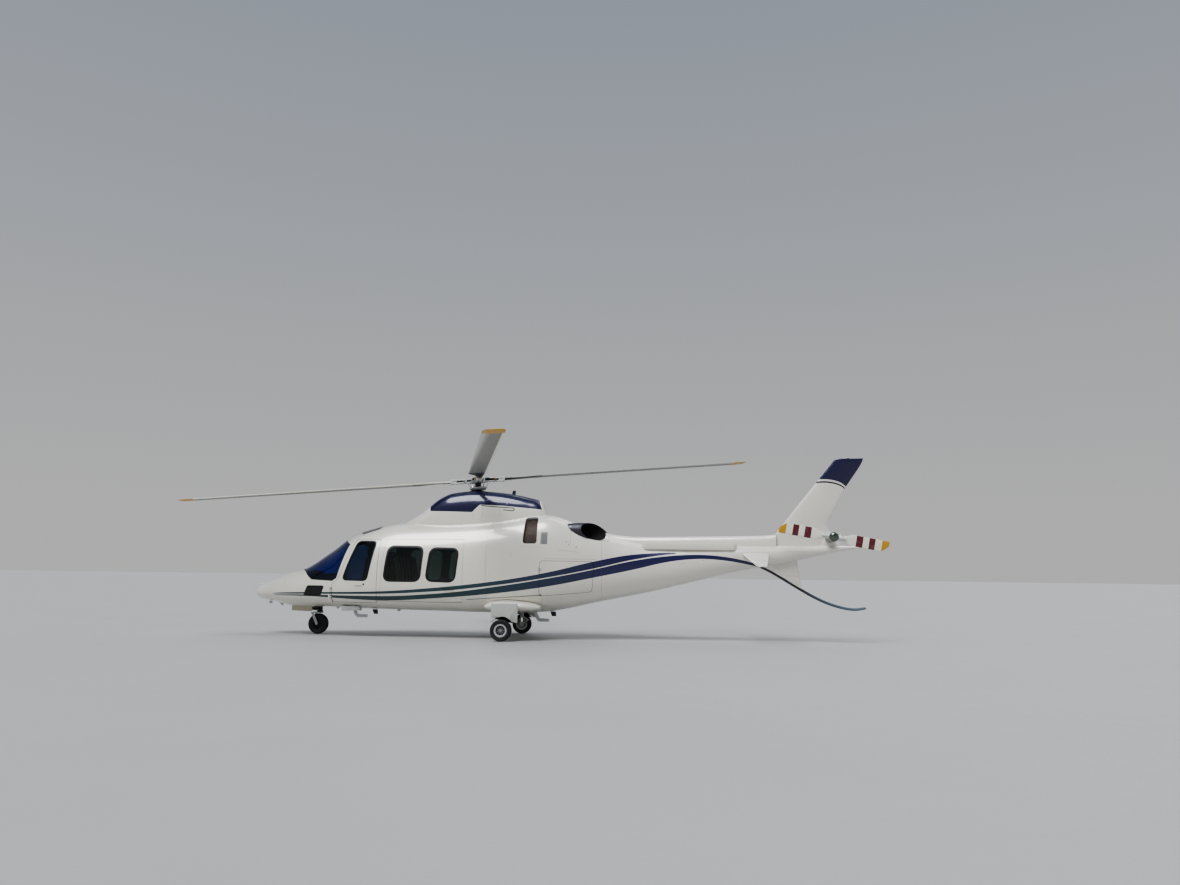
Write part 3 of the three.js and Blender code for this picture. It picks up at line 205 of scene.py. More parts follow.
def body_top(x, y):
    """Height of the fuselage's upper skin at x and y."""
    _, high, half, waist, _, round_high = body_columns(x)
    share = np.clip(np.abs(y) / half, 0, 1)
    return waist + (high - waist) * (1 - share ** round_high) ** (1 / round_high)


def fairing_point(table, base, power, x, angle):
    """Upper half of a superellipse over a flat base, from the table's half widths and tops."""
    half = softened(table[:, 0], table[:, 1], x, 0.03)
    top = softened(table[:, 0], table[:, 2], x, 0.03)
    across, lift = np.cos(angle), np.sin(angle)
    reach = (np.abs(across) ** power + np.abs(lift) ** power) ** (-1 / power)
    return np.stack([x, half * reach * across, base + (top - base) * reach * lift], -1)


def rounded(corners, radius, spacing=0.02, grow=0.0):
    """Closed outline: straight edges, each corner a quadratic curve, then even steps along the whole."""
    points = np.array(corners, float) / 1000
    edge = np.roll(points, -1, 0) - points
    if (points[:, 0] * np.roll(points[:, 1], -1) - points[:, 1] * np.roll(points[:, 0], -1)).sum() < 0:
        points = points[::-1]
        edge = np.roll(points, -1, 0) - points
    way = edge / np.linalg.norm(edge, axis=1)[:, None]
    before = np.roll(way, 1, 0)
    away = np.stack([before[:, 1] + way[:, 1], -before[:, 0] - way[:, 0]], 1)
    points = points + away * grow / (1 + (before * way).sum(1))[:, None]
    edge = np.roll(points, -1, 0) - points
    length = np.linalg.norm(edge, axis=1)
    back = np.roll(length, 1)
    reach = np.minimum(radius / 1000, np.minimum(length, back) * 0.48)[:, None]
    start, end = points - before * reach, points + way * reach
    t = np.linspace(0, 1, 9)[None, :, None]
    curve = ((1 - t) ** 2 * start[:, None] + 2 * t * (1 - t) * points[:, None] + t * t * end[:, None])
    ring = curve.reshape(-1, 2)
    ring = np.concatenate([ring, ring[:1]])
    along = np.concatenate([[0], np.cumsum(np.linalg.norm(np.diff(ring, axis=0), axis=1))])
    even = np.linspace(0, along[-1], max(int(along[-1] / spacing), 12) + 1)[:-1]
    even = np.sort(np.concatenate([even, along[:-1]]))
    even = even[np.concatenate([[True], np.diff(even) > 1e-5])]
    return np.stack([np.interp(even, along, ring[:, k]) for k in (0, 1)], 1)


def inside(places, outline, grow=0.0):
    """Distance of 2-D places to a closed outline, positive inside it, capped at 0.3 m away from it."""
    value = np.full(len(places), -0.3)
    near = ((places > outline.min(0) - 0.3) & (places < outline.max(0) + 0.3)).all(1)
    p = places[near]
    best = np.full(len(p), 9.0)
    odd = np.zeros(len(p), bool)
    for a, b in zip(outline, np.roll(outline, -1, 0)):
        edge = b - a
        away = p - a
        t = np.clip(away @ edge / (edge @ edge), 0, 1)
        best = np.minimum(best, ((away - t[:, None] * edge) ** 2).sum(1))
        if a[1] != b[1]:
            crosses = (a[1] > p[:, 1]) != (b[1] > p[:, 1])
            odd ^= crosses & (p[:, 0] < edge[0] * (p[:, 1] - a[1]) / edge[1] + a[0])
    value[near] = np.where(odd, 1, -1) * np.sqrt(best)
    return value + grow


# Meshes: a shape is a tuple of places and a list of face arrays

def grid_faces(rows, columns, wrap_rows=False, wrap_columns=False):
    """Quads between neighbours on a grid, which face along (column step) x (row step)."""
    r = np.arange(rows if wrap_rows else rows - 1)[:, None]
    c = np.arange(columns if wrap_columns else columns - 1)[None]
    next_r, next_c = (r + 1) % rows, (c + 1) % columns
    corners = [r * columns + c, r * columns + next_c, next_r * columns + next_c, next_r * columns + c]
    return np.stack(np.broadcast_arrays(*corners), -1).reshape(-1, 4)


def tube(rings, wrap=False, caps=True):
    """Skin through rings of equally many places, whose ends are closed by a face each."""
    rings = np.asarray(rings, float)
    rows, columns = rings.shape[:2]
    faces = [grid_faces(rows, columns, wrap, True)]
    if caps and not wrap:
        faces.append(np.arange(columns)[::-1][None])
        faces.append((np.arange(columns) + (rows - 1) * columns)[None])
    return rings.reshape(-1, 3), faces


def joined(*shapes):
    """Several shapes as one, with their faces kept apart."""
    places, faces, start = [], [], 0
    for points, arrays in shapes:
        places.append(points)
        faces += [array + start for array in arrays]
        start += len(points)
    return np.concatenate(places), faces


def mirrored(shape):
    """The shape on the other side of the middle plane, with its faces turned back outwards."""
    return shape[0] * [1, -1, 1], [array[:, ::-1] for array in shape[1]]


def sided(shape, sign):
    """A shape drawn for starboard, or its mirror image for port."""
    return shape if sign > 0 else mirrored(shape)


def turned_by(shape, matrix):
    """The shape moved by a 4 x 4 matrix."""
    m = np.array(matrix)
    return shape[0] @ m[:3, :3].T + m[:3, 3], shape[1]


def unit(vectors):
    """Vectors scaled to length one."""
    return vectors / np.maximum(np.linalg.norm(vectors, axis=-1, keepdims=True), 1e-12)


def circle(radius, steps=24, flat=1.0):
    """Profile of a circle, or of an ellipse whose height is flat times its width."""
    angle = np.linspace(0, 2 * np.pi, steps, endpoint=False)
    return np.stack([radius * np.cos(angle), radius * flat * np.sin(angle)], 1)


def oblong(width, height, radius, steps=4):
    """Profile of a rectangle with round corners."""
    radius = min(radius, width / 2, height / 2)
    angle = (np.arange(4)[:, None] * np.pi / 2 + np.linspace(0, np.pi / 2, steps)[None])
    middle = np.array([[1, 1], [-1, 1], [-1, -1], [1, -1]]) * [width / 2 - radius, height / 2 - radius]
    return (middle[:, None] + radius * np.stack([np.cos(angle), np.sin(angle)], -1)).reshape(-1, 2)


def sweep(path, profile, scale=None, up=Z, wrap=False, caps=True):
    """Profile carried along a path: its first axis lies square to up, its second one nearest to up."""
    path = np.asarray(path, float)
    if wrap:
        tangent = unit(np.roll(path, -1, 0) - np.roll(path, 1, 0))
    else:
        tangent = unit(np.gradient(path, axis=0))
    side = unit(np.cross(np.broadcast_to(np.asarray(up, float), tangent.shape), tangent))
    lift = np.cross(tangent, side)
    size = np.ones((len(path), 2)) if scale is None else np.broadcast_to(
        np.asarray(scale, float).reshape(len(path), -1), (len(path), 2))
    a = profile[None, :, 0, None] * size[:, None, :1] * side[:, None]
    b = profile[None, :, 1, None] * size[:, None, 1:] * lift[:, None]
    return tube(path[:, None] + a + b, wrap, caps)


def bar(start, end, width, height=None, edge=0.002, steps=20, up=None):
    """Straight bar with softened ends: round if only a width is given, else a rectangle."""
    start, end = np.array(start, float), np.array(end, float)
    way = unit(end - start)
    if up is None:
        up = Z if abs(way[2]) < 0.9 else X
    profile = circle(width / 2, steps) if height is None else oblong(width, height, 3 * edge)
    small = min(width, height or width)
    length = np.linalg.norm(end - start)
    marks = np.array([0, 0.3 * edge, edge, length - edge, length - 0.3 * edge, length])
    drawn = 1 - 2 * edge * np.array([1, 0.3, 0, 0, 0.3, 1]) / small
    return sweep(start + marks[:, None] * way, profile, drawn, up)


def spun(profile, origin=(0, 0, 0), axis=Z, steps=48, wrap=False):
    """Profile of radius and distance along the axis, carried round it. It runs upwards outside."""
    profile = np.asarray(profile, float)
    axis = unit(np.array(axis, float))
    side = unit(np.cross(axis, X if abs(axis[0]) < 0.9 else Y))
    other = np.cross(axis, side)
    angle = np.linspace(0, 2 * np.pi, steps, endpoint=False)
    round_way = np.cos(angle)[:, None] * side + np.sin(angle)[:, None] * other
    rings = (np.array(origin, float) + profile[:, None, :1] * round_way[None] + profile[:, None, 1:] * axis)
    return tube(rings, wrap)


def plate(outline, thickness, origin, first, second, edge=0.0015):
    """Outline in the plane of two axes, pushed along their cross product, with softened edges."""
    outline = np.asarray(outline, float)
    first, second = unit(np.array(first, float)), unit(np.array(second, float))
    third = np.cross(first, second)
    way = unit(np.roll(outline, -1, 0) - np.roll(outline, 1, 0))
    away = np.stack([way[:, 1], -way[:, 0]], 1)
    edge = min(edge, thickness / 3)
    rings = [(0, edge), (edge * 0.3, edge * 0.3), (edge, 0), (thickness - edge, 0),
             (thickness - edge * 0.3, edge * 0.3), (thickness, edge)]
    return tube([np.array(origin, float) + (outline - away * drawn) @ np.stack([first, second])
                 + height * third for height, drawn in rings])


def surface_normal(point, u, v, step_u=0.006, step_v=0.012):
    """Unit cross product of the surface's two central differences."""
    along = point(u + step_u, v) - point(u - step_u, v)
    across = point(u, v + step_v) - point(u, v - step_v)
    return unit(np.cross(across, along))


def trimmed(point, u, v, keep, wall, proud=0.0):
    """Surface over a grid of u and v, cut along the line where keep turns negative, then given a wall.

    Returns places, face arrays, corner normals and, for each array, whether it is outside, inside or rim.
    """
    grid_u, grid_v = (g.ravel() for g in np.meshgrid(u, v, indexing="ij"))
    value = keep(point(grid_u, grid_v))
    quads = grid_faces(len(u), len(v))
    held = value[quads] > 0
    whole = quads[held.all(1)]
    part = quads[held.any(1) & ~held.all(1)]
    tris = np.concatenate([part[:, [0, 1, 2]], part[:, [0, 2, 3]]])
    held = value[tris] > 0
    count = held.sum(1)
    odd = np.where(count == 1, held.argmax(1), (~held).argmax(1))
    rolled = tris[np.arange(len(tris))[:, None], (odd[:, None] + np.arange(3)) % 3]
    mixed = (count > 0) & (count < 3)
    ends = np.concatenate([rolled[mixed][:, [0, 1]], rolled[mixed][:, [0, 2]]])
    ends = np.sort(ends, 1)
    pairs, where = np.unique(ends, axis=0, return_inverse=True)
    where = where.ravel()
    if len(pairs):
        a, b = pairs[:, 0], pairs[:, 1]
        low, high = np.zeros(len(a)), np.ones(len(a))
        at_low = value[a]
        for _ in range(9):
            middle = (low + high) / 2
            now = keep(point(grid_u[a] + middle * (grid_u[b] - grid_u[a]),
                             grid_v[a] + middle * (grid_v[b] - grid_v[a])))
            same = (now > 0) == (at_low > 0)
            low, high = np.where(same, middle, low), np.where(same, high, middle)
        middle = (low + high) / 2
        new_u = grid_u[a] + middle * (grid_u[b] - grid_u[a])
        new_v = grid_v[a] + middle * (grid_v[b] - grid_v[a])
    else:
        new_u = new_v = np.zeros(0)
    first = where[:mixed.sum()] + len(grid_u)
    second = where[mixed.sum():] + len(grid_u)
    one = count[mixed] == 1
    lone = rolled[mixed]
    small = np.stack([lone[one, 0], first[one], second[one]], 1)
    rest = np.stack([first[~one], lone[~one, 1], lone[~one, 2], second[~one]], 1)
    arrays = [whole, rest, tris[count == 3], small]
    all_u, all_v = np.concatenate([grid_u, new_u]), np.concatenate([grid_v, new_v])
    places = point(all_u, all_v)
    normals = surface_normal(point, all_u, all_v)
    used = np.unique(np.concatenate([array.ravel() for array in arrays]))
    keys = np.round(places[used] / 2e-5).astype(np.int64)
    _, kept, back = np.unique(keys, axis=0, return_index=True, return_inverse=True)
    number = np.zeros(len(places), np.int64)
    number[used] = back.ravel()
    places, normals = places[used][kept], normals[used][kept]
    sorted_arrays = []
    for array in arrays:
        array = number[array]
        if array.shape[1] == 4:
            twin = (array == np.roll(array, -1, 1))
            bad = twin.any(1)
            spare = array[bad]
            if len(spare):
                drop = twin[bad].argmax(1)
                spare = np.stack([spare[np.arange(len(spare)), (drop + k) % 4] for k in (1, 2, 3)], 1)
                sorted_arrays.append(spare)
            array = array[~bad]
        sorted_arrays.append(array)
    quads = np.concatenate([a for a in sorted_arrays if a.shape[1] == 4])
    tris = np.concatenate([a for a in sorted_arrays if a.shape[1] == 3] + [np.zeros((0, 3), np.int64)])
    tris = tris[(tris[:, 0] != tris[:, 1]) & (tris[:, 1] != tris[:, 2]) & (tris[:, 2] != tris[:, 0])]
    edges = np.concatenate([np.stack([array, np.roll(array, -1, 1)], -1).reshape(-1, 2)
                            for array in (quads, tris)])
    total = len(places)
    forward = edges[:, 0] * total + edges[:, 1]
    reverse = edges[:, 1] * total + edges[:, 0]
    border = edges[~np.isin(forward, reverse)]
    outer = places + normals * proud
    inner = outer - normals * wall
    rim = np.stack([border[:, 1], border[:, 0], border[:, 0] + total, border[:, 1] + total], 1)
    points = np.concatenate([outer, inner])
    corner = points[rim]
    rim_normal = unit(np.cross(corner[:, 1] - corner[:, 0], corner[:, 3] - corner[:, 0]))
    faces = [quads, tris, quads[:, ::-1] + total, tris[:, ::-1] + total, rim]
    corner_normals = [normals[quads], normals[tris], -normals[quads[:, ::-1]], -normals[tris[:, ::-1]],
                      np.repeat(rim_normal[:, None], 4, 1)]
    return points, faces, corner_normals, [0, 0, 1, 1, 2]


def shown_mesh(name, places, faces, materials, slots=None, normals=None, sharp=35.0):
    """Mesh object from arrays, with a material number for each face array, or one material for three."""
    mesh = bpy.data.meshes.new(name)
    mesh.vertices.add(len(places))
    moved = np.array(places, float)
    moved[:, 0] += AXLE_X
    mesh.vertices.foreach_set("co", moved.astype(np.float32).ravel())
    corners = np.concatenate([array.ravel() for array in faces])
    sizes = np.concatenate([np.full(len(array), array.shape[1]) for array in faces])
    mesh.loops.add(len(corners))
    mesh.loops.foreach_set("vertex_index", corners.astype(np.int32))
    mesh.polygons.add(len(sizes))
    mesh.polygons.foreach_set("loop_start", np.concatenate([[0], np.cumsum(sizes)[:-1]]).astype(np.int32))
    if slots is not None:
        numbers = np.concatenate([np.full(len(array), slot) for array, slot in zip(faces, slots)])
        mesh.polygons.foreach_set("material_index", numbers.astype(np.int32))
    mesh.update(calc_edges=True)
    mesh.validate()
    for material in [materials] * 3 if isinstance(materials, str) else materials:
        mesh.materials.append(finish(material))
    mesh.shade_smooth()
    if normals is None:
        mesh.set_sharp_from_angle(angle=math.radians(sharp))
    else:
        mesh.normals_split_custom_set(np.concatenate([array.reshape(-1, 3) for array in normals]))
    thing = bpy.data.objects.new(name, mesh)
    bpy.context.scene.collection.objects.link(thing)
    return thing


def put(thing, nodes=(), body="airframe"):
    """Rides a finished piece on its body and says what it stands for."""
    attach(thing, body)
    if nodes:
        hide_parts(*nodes)
    return thing


def add_piece(name, shape, material, nodes=(), body="airframe", sharp=35):
    """One piece of one material."""
    places, faces = shape
    return put(shown_mesh(name, places, faces, [material], sharp=sharp), nodes, body)


def add_parts(name, parts, nodes=(), body="airframe", place=None, sign=1):
    """One piece whose shapes have a material each: pairs of shape and material, then moved or mirrored."""
    materials, slots = [], []
    for shape, material in parts:
        if material not in materials:
            materials.append(material)
        slots += [materials.index(material)] * len(shape[1])
    places, faces = sided(joined(*[shape for shape, _ in parts]), sign)
    if place is not None:
        places, faces = turned_by((places, faces), place)
    return put(shown_mesh(name, places, faces, materials, slots), nodes, body)


def band_distances(places):
    """How far inside the upper and the lower painted band a place lies, in metres, negative outside."""
    x, z = places[:, 0], places[:, 2]
    low_a, top_a, low_b, top_b = (softened(BANDS[:, 0], BANDS[:, k], np.clip(
        x, BANDS[0, 0] + 1e-6, BANDS[-1, 0] - 1e-6), 0.12) for k in (1, 2, 3, 4))
    upper = np.minimum(z - low_a, top_a - z)
    lower = np.minimum(z - low_b, top_b - z)
    ends = np.minimum(x - BANDS[0, 0], BAND_END - x)
    return np.minimum(upper, ends), np.minimum(lower, ends)


def add_skin(name, skin, materials, nodes=(), body="airframe"):
    """One trimmed piece of the airframe with its outside, lining and rim materials and the painted bands."""
    places, faces, normals, slots = skin
    thing = shown_mesh(name, places, faces, materials, slots, normals)
    for label, values in zip(("band_upper", "band_lower"), band_distances(places)):
        attribute(thing, label, values)
    return put(thing, nodes, body)


# Finishes

def tree_node(tree, kind, inputs=None, **settings):
    """A node with its settings, whose inputs are linked to sockets or set to values."""
    made = tree.nodes.new(kind)
    for key, value in settings.items():
        setattr(made, key, value)
    for key, value in (inputs or {}).items():
        socket = made.inputs[key]
        if isinstance(value, bpy.types.NodeSocket):
            tree.links.new(value, socket)
        else:
            socket.default_value = value
    return made


def math_node(tree, operation, *values, clamp=False):
    """Output of a Math node."""
    return tree_node(tree, "ShaderNodeMath", dict(enumerate(values)), operation=operation,
                     use_clamp=clamp).outputs[0]


def mapped(tree, value, low, high, out_low=0.0, out_high=1.0):
    """A value mapped from one range to another and held inside it."""
    return tree_node(tree, "ShaderNodeMapRange", {
        0: value, 1: low, 2: high, 3: out_low, 4: out_high}).outputs[0]


def mixed(tree, share, first, second):
    """Colour between two colours."""
    return tree_node(tree, "ShaderNodeMix", {0: share, 6: first, 7: second}, data_type="RGBA").outputs[2]


def ramp(tree, value, stops, interpolation="LINEAR"):
    """Colour from a list of positions and colours."""
    made = tree_node(tree, "ShaderNodeValToRGB", {0: value})
    made.color_ramp.interpolation = interpolation
    band = made.color_ramp.elements
    while len(band) < len(stops):
        band.new(0.5)
    for element, (place, colour) in zip(band, stops):
        element.position = place
        element.color = colour
    return made.outputs[0]


def new_group(name, inputs, outputs):
    """Empty node group with named sockets, or None beside it if it is there already."""
    if name in bpy.data.node_groups:
        return bpy.data.node_groups[name], None, None
    group = bpy.data.node_groups.new(name, "ShaderNodeTree")
    for label, kind, value in inputs:
        socket = group.interface.new_socket(name=label, in_out="INPUT", socket_type=kind)
        if value is not None:
            socket.default_value = value
    for label, kind in outputs:
        group.interface.new_socket(name=label, in_out="OUTPUT", socket_type=kind)
    return group, group.nodes.new("NodeGroupInput").outputs, group.nodes.new("NodeGroupOutput").inputs


def noise(tree, place, scale, detail, **inputs):
    """Height of a noise."""
    return tree_node(tree, "ShaderNodeTexNoise", {"Vector": place, "Scale": scale, "Detail": detail,
                                                  **inputs}).outputs[0]


def axis_of(tree, place, number):
    """One of a place's coordinates."""
    return tree_node(tree, "ShaderNodeSeparateXYZ", {0: place}).outputs[number]


def field(tree, name):
    """A value that the piece carries for each vertex."""
    return tree_node(tree, "ShaderNodeAttribute", attribute_name=name).outputs["Fac"]


def grain_group():
    """Fine grain: two noises of different size, as a mask and as a height."""
    group, given, wanted = new_group(
        "Fine Grain", [("Vector", "NodeSocketVector", None), ("Scale", "NodeSocketFloat", 200.0)],
        [("Mask", "NodeSocketFloat"), ("Height", "NodeSocketFloat")])
    if given:
        fine = noise(group, given["Vector"], given["Scale"], 3.0, Roughness=0.6)
        broad = noise(group, given["Vector"], math_node(group, "MULTIPLY", given["Scale"], 0.11), 2.0)
        both = math_node(group, "ADD", math_node(group, "MULTIPLY", fine, 0.6),
                         math_node(group, "MULTIPLY", broad, 0.4))
        group.links.new(mapped(group, both, 0.35, 0.65), wanted["Mask"])
        group.links.new(both, wanted["Height"])
    return group


def dust_group():
    """Settled dust: thickens below a height, broken up by noise and drawn out along the machine."""
    group, given, wanted = new_group(
        "Settled Dust", [("Vector", "NodeSocketVector", None), ("Height", "NodeSocketFloat", 0.7),
                         ("Depth", "NodeSocketFloat", 0.5), ("Amount", "NodeSocketFloat", 0.4)],
        [("Mask", "NodeSocketFloat")])
    if given:
        fall = math_node(group, "SUBTRACT", given["Height"], axis_of(group, given["Vector"], 2))
        low = math_node(group, "DIVIDE", fall, given["Depth"], clamp=True)
        drawn = tree_node(group, "ShaderNodeMapping", {"Vector": given["Vector"], "Scale": (0.35, 1, 1)})
        broken = mapped(group, noise(group, drawn.outputs[0], 9.0, 6.0, Roughness=0.65), 0.38, 0.68)
        group.links.new(math_node(group, "MULTIPLY", math_node(group, "MULTIPLY", low, broken),
                                  given["Amount"]), wanted["Mask"])
    return group


def weave_group():
    """Plain weave: two crossed sine waves, the higher one on top."""
    group, given, wanted = new_group(
        "Plain Weave", [("Vector", "NodeSocketVector", None), ("Threads", "NodeSocketFloat", 600.0)],
        [("Mask", "NodeSocketFloat"), ("Height", "NodeSocketFloat")])
    if given:
        waves = [math_node(group, "SINE", math_node(group, "MULTIPLY", axis_of(group, given["Vector"], axis),
                                                    given["Threads"])) for axis in range(3)]
        high = math_node(group, "MAXIMUM", math_node(group, "MULTIPLY", *waves[:2]), waves[2])
        group.links.new(mapped(group, high, -1.0, 1.0), wanted["Mask"])
        group.links.new(high, wanted["Height"])
    return group


def placed_group(tree, group, **inputs):
    """Outputs of a group node with its inputs linked or set."""
    return tree_node(tree, "ShaderNodeGroup", inputs, node_tree=group).outputs


def fine_grain(tree, place, scale):
    """Mask and height of the fine grain."""
    return placed_group(tree, grain_group(), Vector=place, Scale=scale)


def dust_mask(tree, place, height, depth, amount):
    """Mask of the settled dust."""
    return placed_group(tree, dust_group(), Vector=place, Height=height, Depth=depth, Amount=amount)["Mask"]


def new_finish(name, **fixed):
    """Material with a Principled shader whose plain sockets are set, and the object coordinates."""
    material = bpy.data.materials.new(name)
    material.use_nodes = True
    tree = material.node_tree
    shader = tree.nodes["Principled BSDF"]
    for key, value in fixed.items():
        shader.inputs[key.replace("_", " ")].default_value = value
    return material, tree, shader, tree.nodes.new("ShaderNodeTexCoord").outputs["Object"]


def fed(made, base, rough, height, strength, distance):
    """Feeds the shader's colour, its roughness and, from a height, its normal, and gives the material."""
    material, tree, shader, _ = made
    bump = tree_node(tree, "ShaderNodeBump", {"Height": height, "Strength": strength, "Distance": distance})
    for name, socket in (("Base Color", base), ("Roughness", rough), ("Normal", bump.outputs[0])):
        tree.links.new(socket, shader.inputs[name])
    return material


def grained(made, fine, base, low, high, strength, distance=0.0006):
    """The same with a roughness from low to high and a height from the fine grain."""
    return fed(made, base, mapped(made[1], fine["Mask"], 0, 1, low, high), fine["Height"], strength, distance)


def tone(name):
    """One of the panel's colours, opaque."""
    return (*getattr(bpy.context.scene.helicopter_paint, name), 1.0)


def dimmed(colour, share=1.0):
    """A share of a colour, opaque."""
    return (*[share * c for c in colour[:3]], 1.0)


def gloss_paint(name, colour, bands=False, flake=0.12):
    """Coated paint: faint broad shade, dust towards the belly, light orange peel, and the painted bands, navy
    at the rear and teal at the front, where the teal is a painted green reflection.
    """
    made = new_finish(name, Metallic=flake, Coat_Weight=0.9, Coat_Roughness=0.035, IOR=1.5)
    _, tree, _, place = made
    base = mixed(tree, mapped(tree, noise(tree, place, 1.3, 3.0), 0.3, 0.7), dimmed(tone(colour), 0.955),
                 tone(colour))
    if bands:
        # The bands blend from navy at the rear to teal at the front: the teal is a painted green reflection
        # on navy paint.
        along = mapped(tree, axis_of(tree, place, 0), AXLE_X - 0.9, AXLE_X + 1.9)
        inner = math_node(tree, "MAXIMUM", field(tree, "band_upper"), field(tree, "band_lower"))
        base = mixed(tree, mapped(tree, inner, -0.0006, 0.0006), base,
                     mixed(tree, along, tone("band_front_green_reflection"), tone("band_rear")))
    dust = dust_mask(tree, place, 0.78, 0.42, 0.3)
    grain = fine_grain(tree, place, 420.0)
    rough = math_node(tree, "ADD", mapped(tree, grain["Mask"], 0, 1, 0.26, 0.34),
                      math_node(tree, "MULTIPLY", dust, 0.5))
    height = math_node(tree, "ADD", math_node(tree, "MULTIPLY", noise(tree, place, 5.0, 1.0), 1.0),
                       math_node(tree, "MULTIPLY", grain["Height"], 0.012))
    return fed(made, mixed(tree, dust, base, tone("dust")), rough, height, 0.35, 0.004)


def satin(name, colour, metallic, rough, grain=300.0, spread=0.12, dusty=0.25, bump=0.15):
    """Satin paint or bare metal: roughness and shade vary with a fine grain, dust below."""
    made = new_finish(name, Metallic=metallic)
    _, tree, _, place = made
    fine = fine_grain(tree, place, grain)
    base = mixed(tree, fine["Mask"], dimmed(colour, 0.82), dimmed(colour))
    base = mixed(tree, dust_mask(tree, place, 0.6, 0.6, dusty), base, tone("dust"))
    return grained(made, fine, base, rough - spread / 2, rough + spread / 2, bump)


def tinted_glass(name, colour):
    """Tinted pane: coloured clear solid with a faint film of dust in its roughness."""
    material, tree, shader, place = new_finish(name, Base_Color=dimmed(colour), IOR=1.48,
                                               Transmission_Weight=1.0)
    smear = mapped(tree, noise(tree, place, 7.0, 5.0), 0.45, 0.8, 0.015, 0.075)
    tree.links.new(smear, shader.inputs["Roughness"])
    return material


def leather(name, colour):
    """Leather: small round cells with creases between them, darkened as painted shade, and a slow change of
    tone.
    """
    made = new_finish(name, Sheen_Weight=0.15)
    _, tree, _, place = made
    cells = tree_node(tree, "ShaderNodeTexVoronoi", {"Vector": place, "Scale": 420.0},
                      feature="DISTANCE_TO_EDGE")
    crease = mapped(tree, cells.outputs[0], 0.0, 0.16)
    base = mixed(tree, noise(tree, place, 6.0, 4.0), dimmed(colour, 0.8), dimmed(colour))
    # Cell edges darkened: painted shade in the grain's creases.
    return fed(made, mixed(tree, crease, dimmed(colour, 0.55), base), mapped(tree, crease, 0, 1, 0.62, 0.44),
               crease, 0.35, 0.0008)


def woven(name, colour, threads):
    """Woven trim or carpet: thread mask in colour and height, the low threads darkened as painted shade."""
    made = new_finish(name, Sheen_Weight=0.4)
    _, tree, _, place = made
    cloth = placed_group(tree, weave_group(), Vector=place, Threads=threads)
    worn = math_node(tree, "MULTIPLY", fine_grain(tree, place, 60.0)["Mask"], 0.25)
    # Low threads darkened: painted shade in the weave.
    base = mixed(tree, cloth["Mask"], dimmed(colour, 0.6), dimmed(colour))
    return grained(made, cloth, mixed(tree, worn, base, dimmed(colour, 0.5)), 0.95, 0.75, 0.3, 0.0008)


def heated_metal(name):
    """Dark steel that browns and blues towards the exhaust's mouth, with soot in patches."""
    made = new_finish(name, Metallic=0.9)
    _, tree, _, place = made
    patch = noise(tree, place, 14.0, 5.0)
    drift = math_node(tree, "MULTIPLY", math_node(tree, "SUBTRACT", patch, 0.5), 0.5)
    base = ramp(tree, math_node(tree, "ADD", mapped(tree, axis_of(tree, place, 0), 0.6, 1.4), drift),
                [(0.0, (0.10, 0.10, 0.11, 1)), (0.4, (0.07, 0.07, 0.09, 1)),
                 (0.7, (0.05, 0.045, 0.05, 1)), (1.0, (0.02, 0.019, 0.018, 1))])
    return fed(made, base, mapped(tree, patch, 0.3, 0.7, 0.32, 0.6), patch, 0.1, 0.002)


def tyre_rubber(name):
    """Black rubber with a fine grain, greyed by dust where it meets the ground."""
    made = new_finish(name)
    _, tree, _, place = made
    fine = fine_grain(tree, place, 260.0)
    base = mixed(tree, fine["Mask"], (0.010, 0.010, 0.010, 1), (0.022, 0.022, 0.022, 1))
    base = mixed(tree, dust_mask(tree, place, 0.30, 0.6, 0.25), base, tone("dust"))
    return grained(made, fine, base, 0.66, 0.86, 0.4, 0.0012)


def blade_finish(name):
    """Rotor blade: grey paint, a darker underside that is painted shade, yellow tip, black root and a cream
    painted highlight along the leading edge.
    """
    made = new_finish(name)
    _, tree, _, place = made
    span, chord, under = (field(tree, key) for key in ("span", "chord", "under"))
    grey = mixed(tree, noise(tree, place, 3.0, 4.0), dimmed(tone("blade"), 0.85), tone("blade"))
    # Darker grey on the lower faces: painted shade of the blade's underside.
    grey = mixed(tree, under, grey, tone("blade_under_painted_shade"))
    base = mixed(tree, mapped(tree, span, 5.155, 5.157), grey, tone("blade_tip"))
    base = mixed(tree, mapped(tree, span, 1.235, 1.232), base, (0.012, 0.012, 0.014, 1))
    # Cream band along the leading edge: a painted highlight of the sunlit edge, stopped before the tip.
    painted_edge_highlight = math_node(tree, "MULTIPLY", mapped(tree, chord, 0.121, 0.119), mapped(tree, span, 5.17, 5.15))
    return grained(made, fine_grain(tree, place, 240.0), mixed(tree, painted_edge_highlight, base, (0.84, 0.82, 0.72, 1)),
                   0.32, 0.5, 0.15)


def striped_blade(name):
    """Tail rotor blade: white, dark red, white, dark red, white and a yellow tip by distance from the hub."""
    made = new_finish(name, Coat_Weight=0.4, Coat_Roughness=0.1)
    _, tree, _, place = made
    share = math_node(tree, "DIVIDE", field(tree, "span"), TAIL_ROTOR["radius"])
    white, red = tone("pearl"), tone("tail_red")
    base = ramp(tree, share, [(0.0, white), (0.41, red), (0.53, white), (0.64, red), (0.75, white),
                              (0.87, tone("blade_tip"))], "CONSTANT")
    dirt = mapped(tree, noise(tree, place, 9.0, 4.0), 0.5, 0.8, 0, 0.22)
    return grained(made, fine_grain(tree, place, 240.0), mixed(tree, dirt, base, tone("dust")), 0.3, 0.42,
                   0.1)


def skid_paint(name):
    """Paint of the tail skid: black beside the boom, slate blue towards its free end."""
    made = new_finish(name, Coat_Weight=0.5, Coat_Roughness=0.1)
    _, tree, _, place = made
    base = ramp(tree, mapped(tree, axis_of(tree, place, 0), 4.5 + AXLE_X, 6.3 + AXLE_X), [
        (0.0, (0.010, 0.010, 0.012, 1)), (0.45, (0.014, 0.016, 0.02, 1)), (1.0, (0.10, 0.15, 0.19, 1))])
    return grained(made, fine_grain(tree, place, 260.0), base, 0.3, 0.42, 0.12)


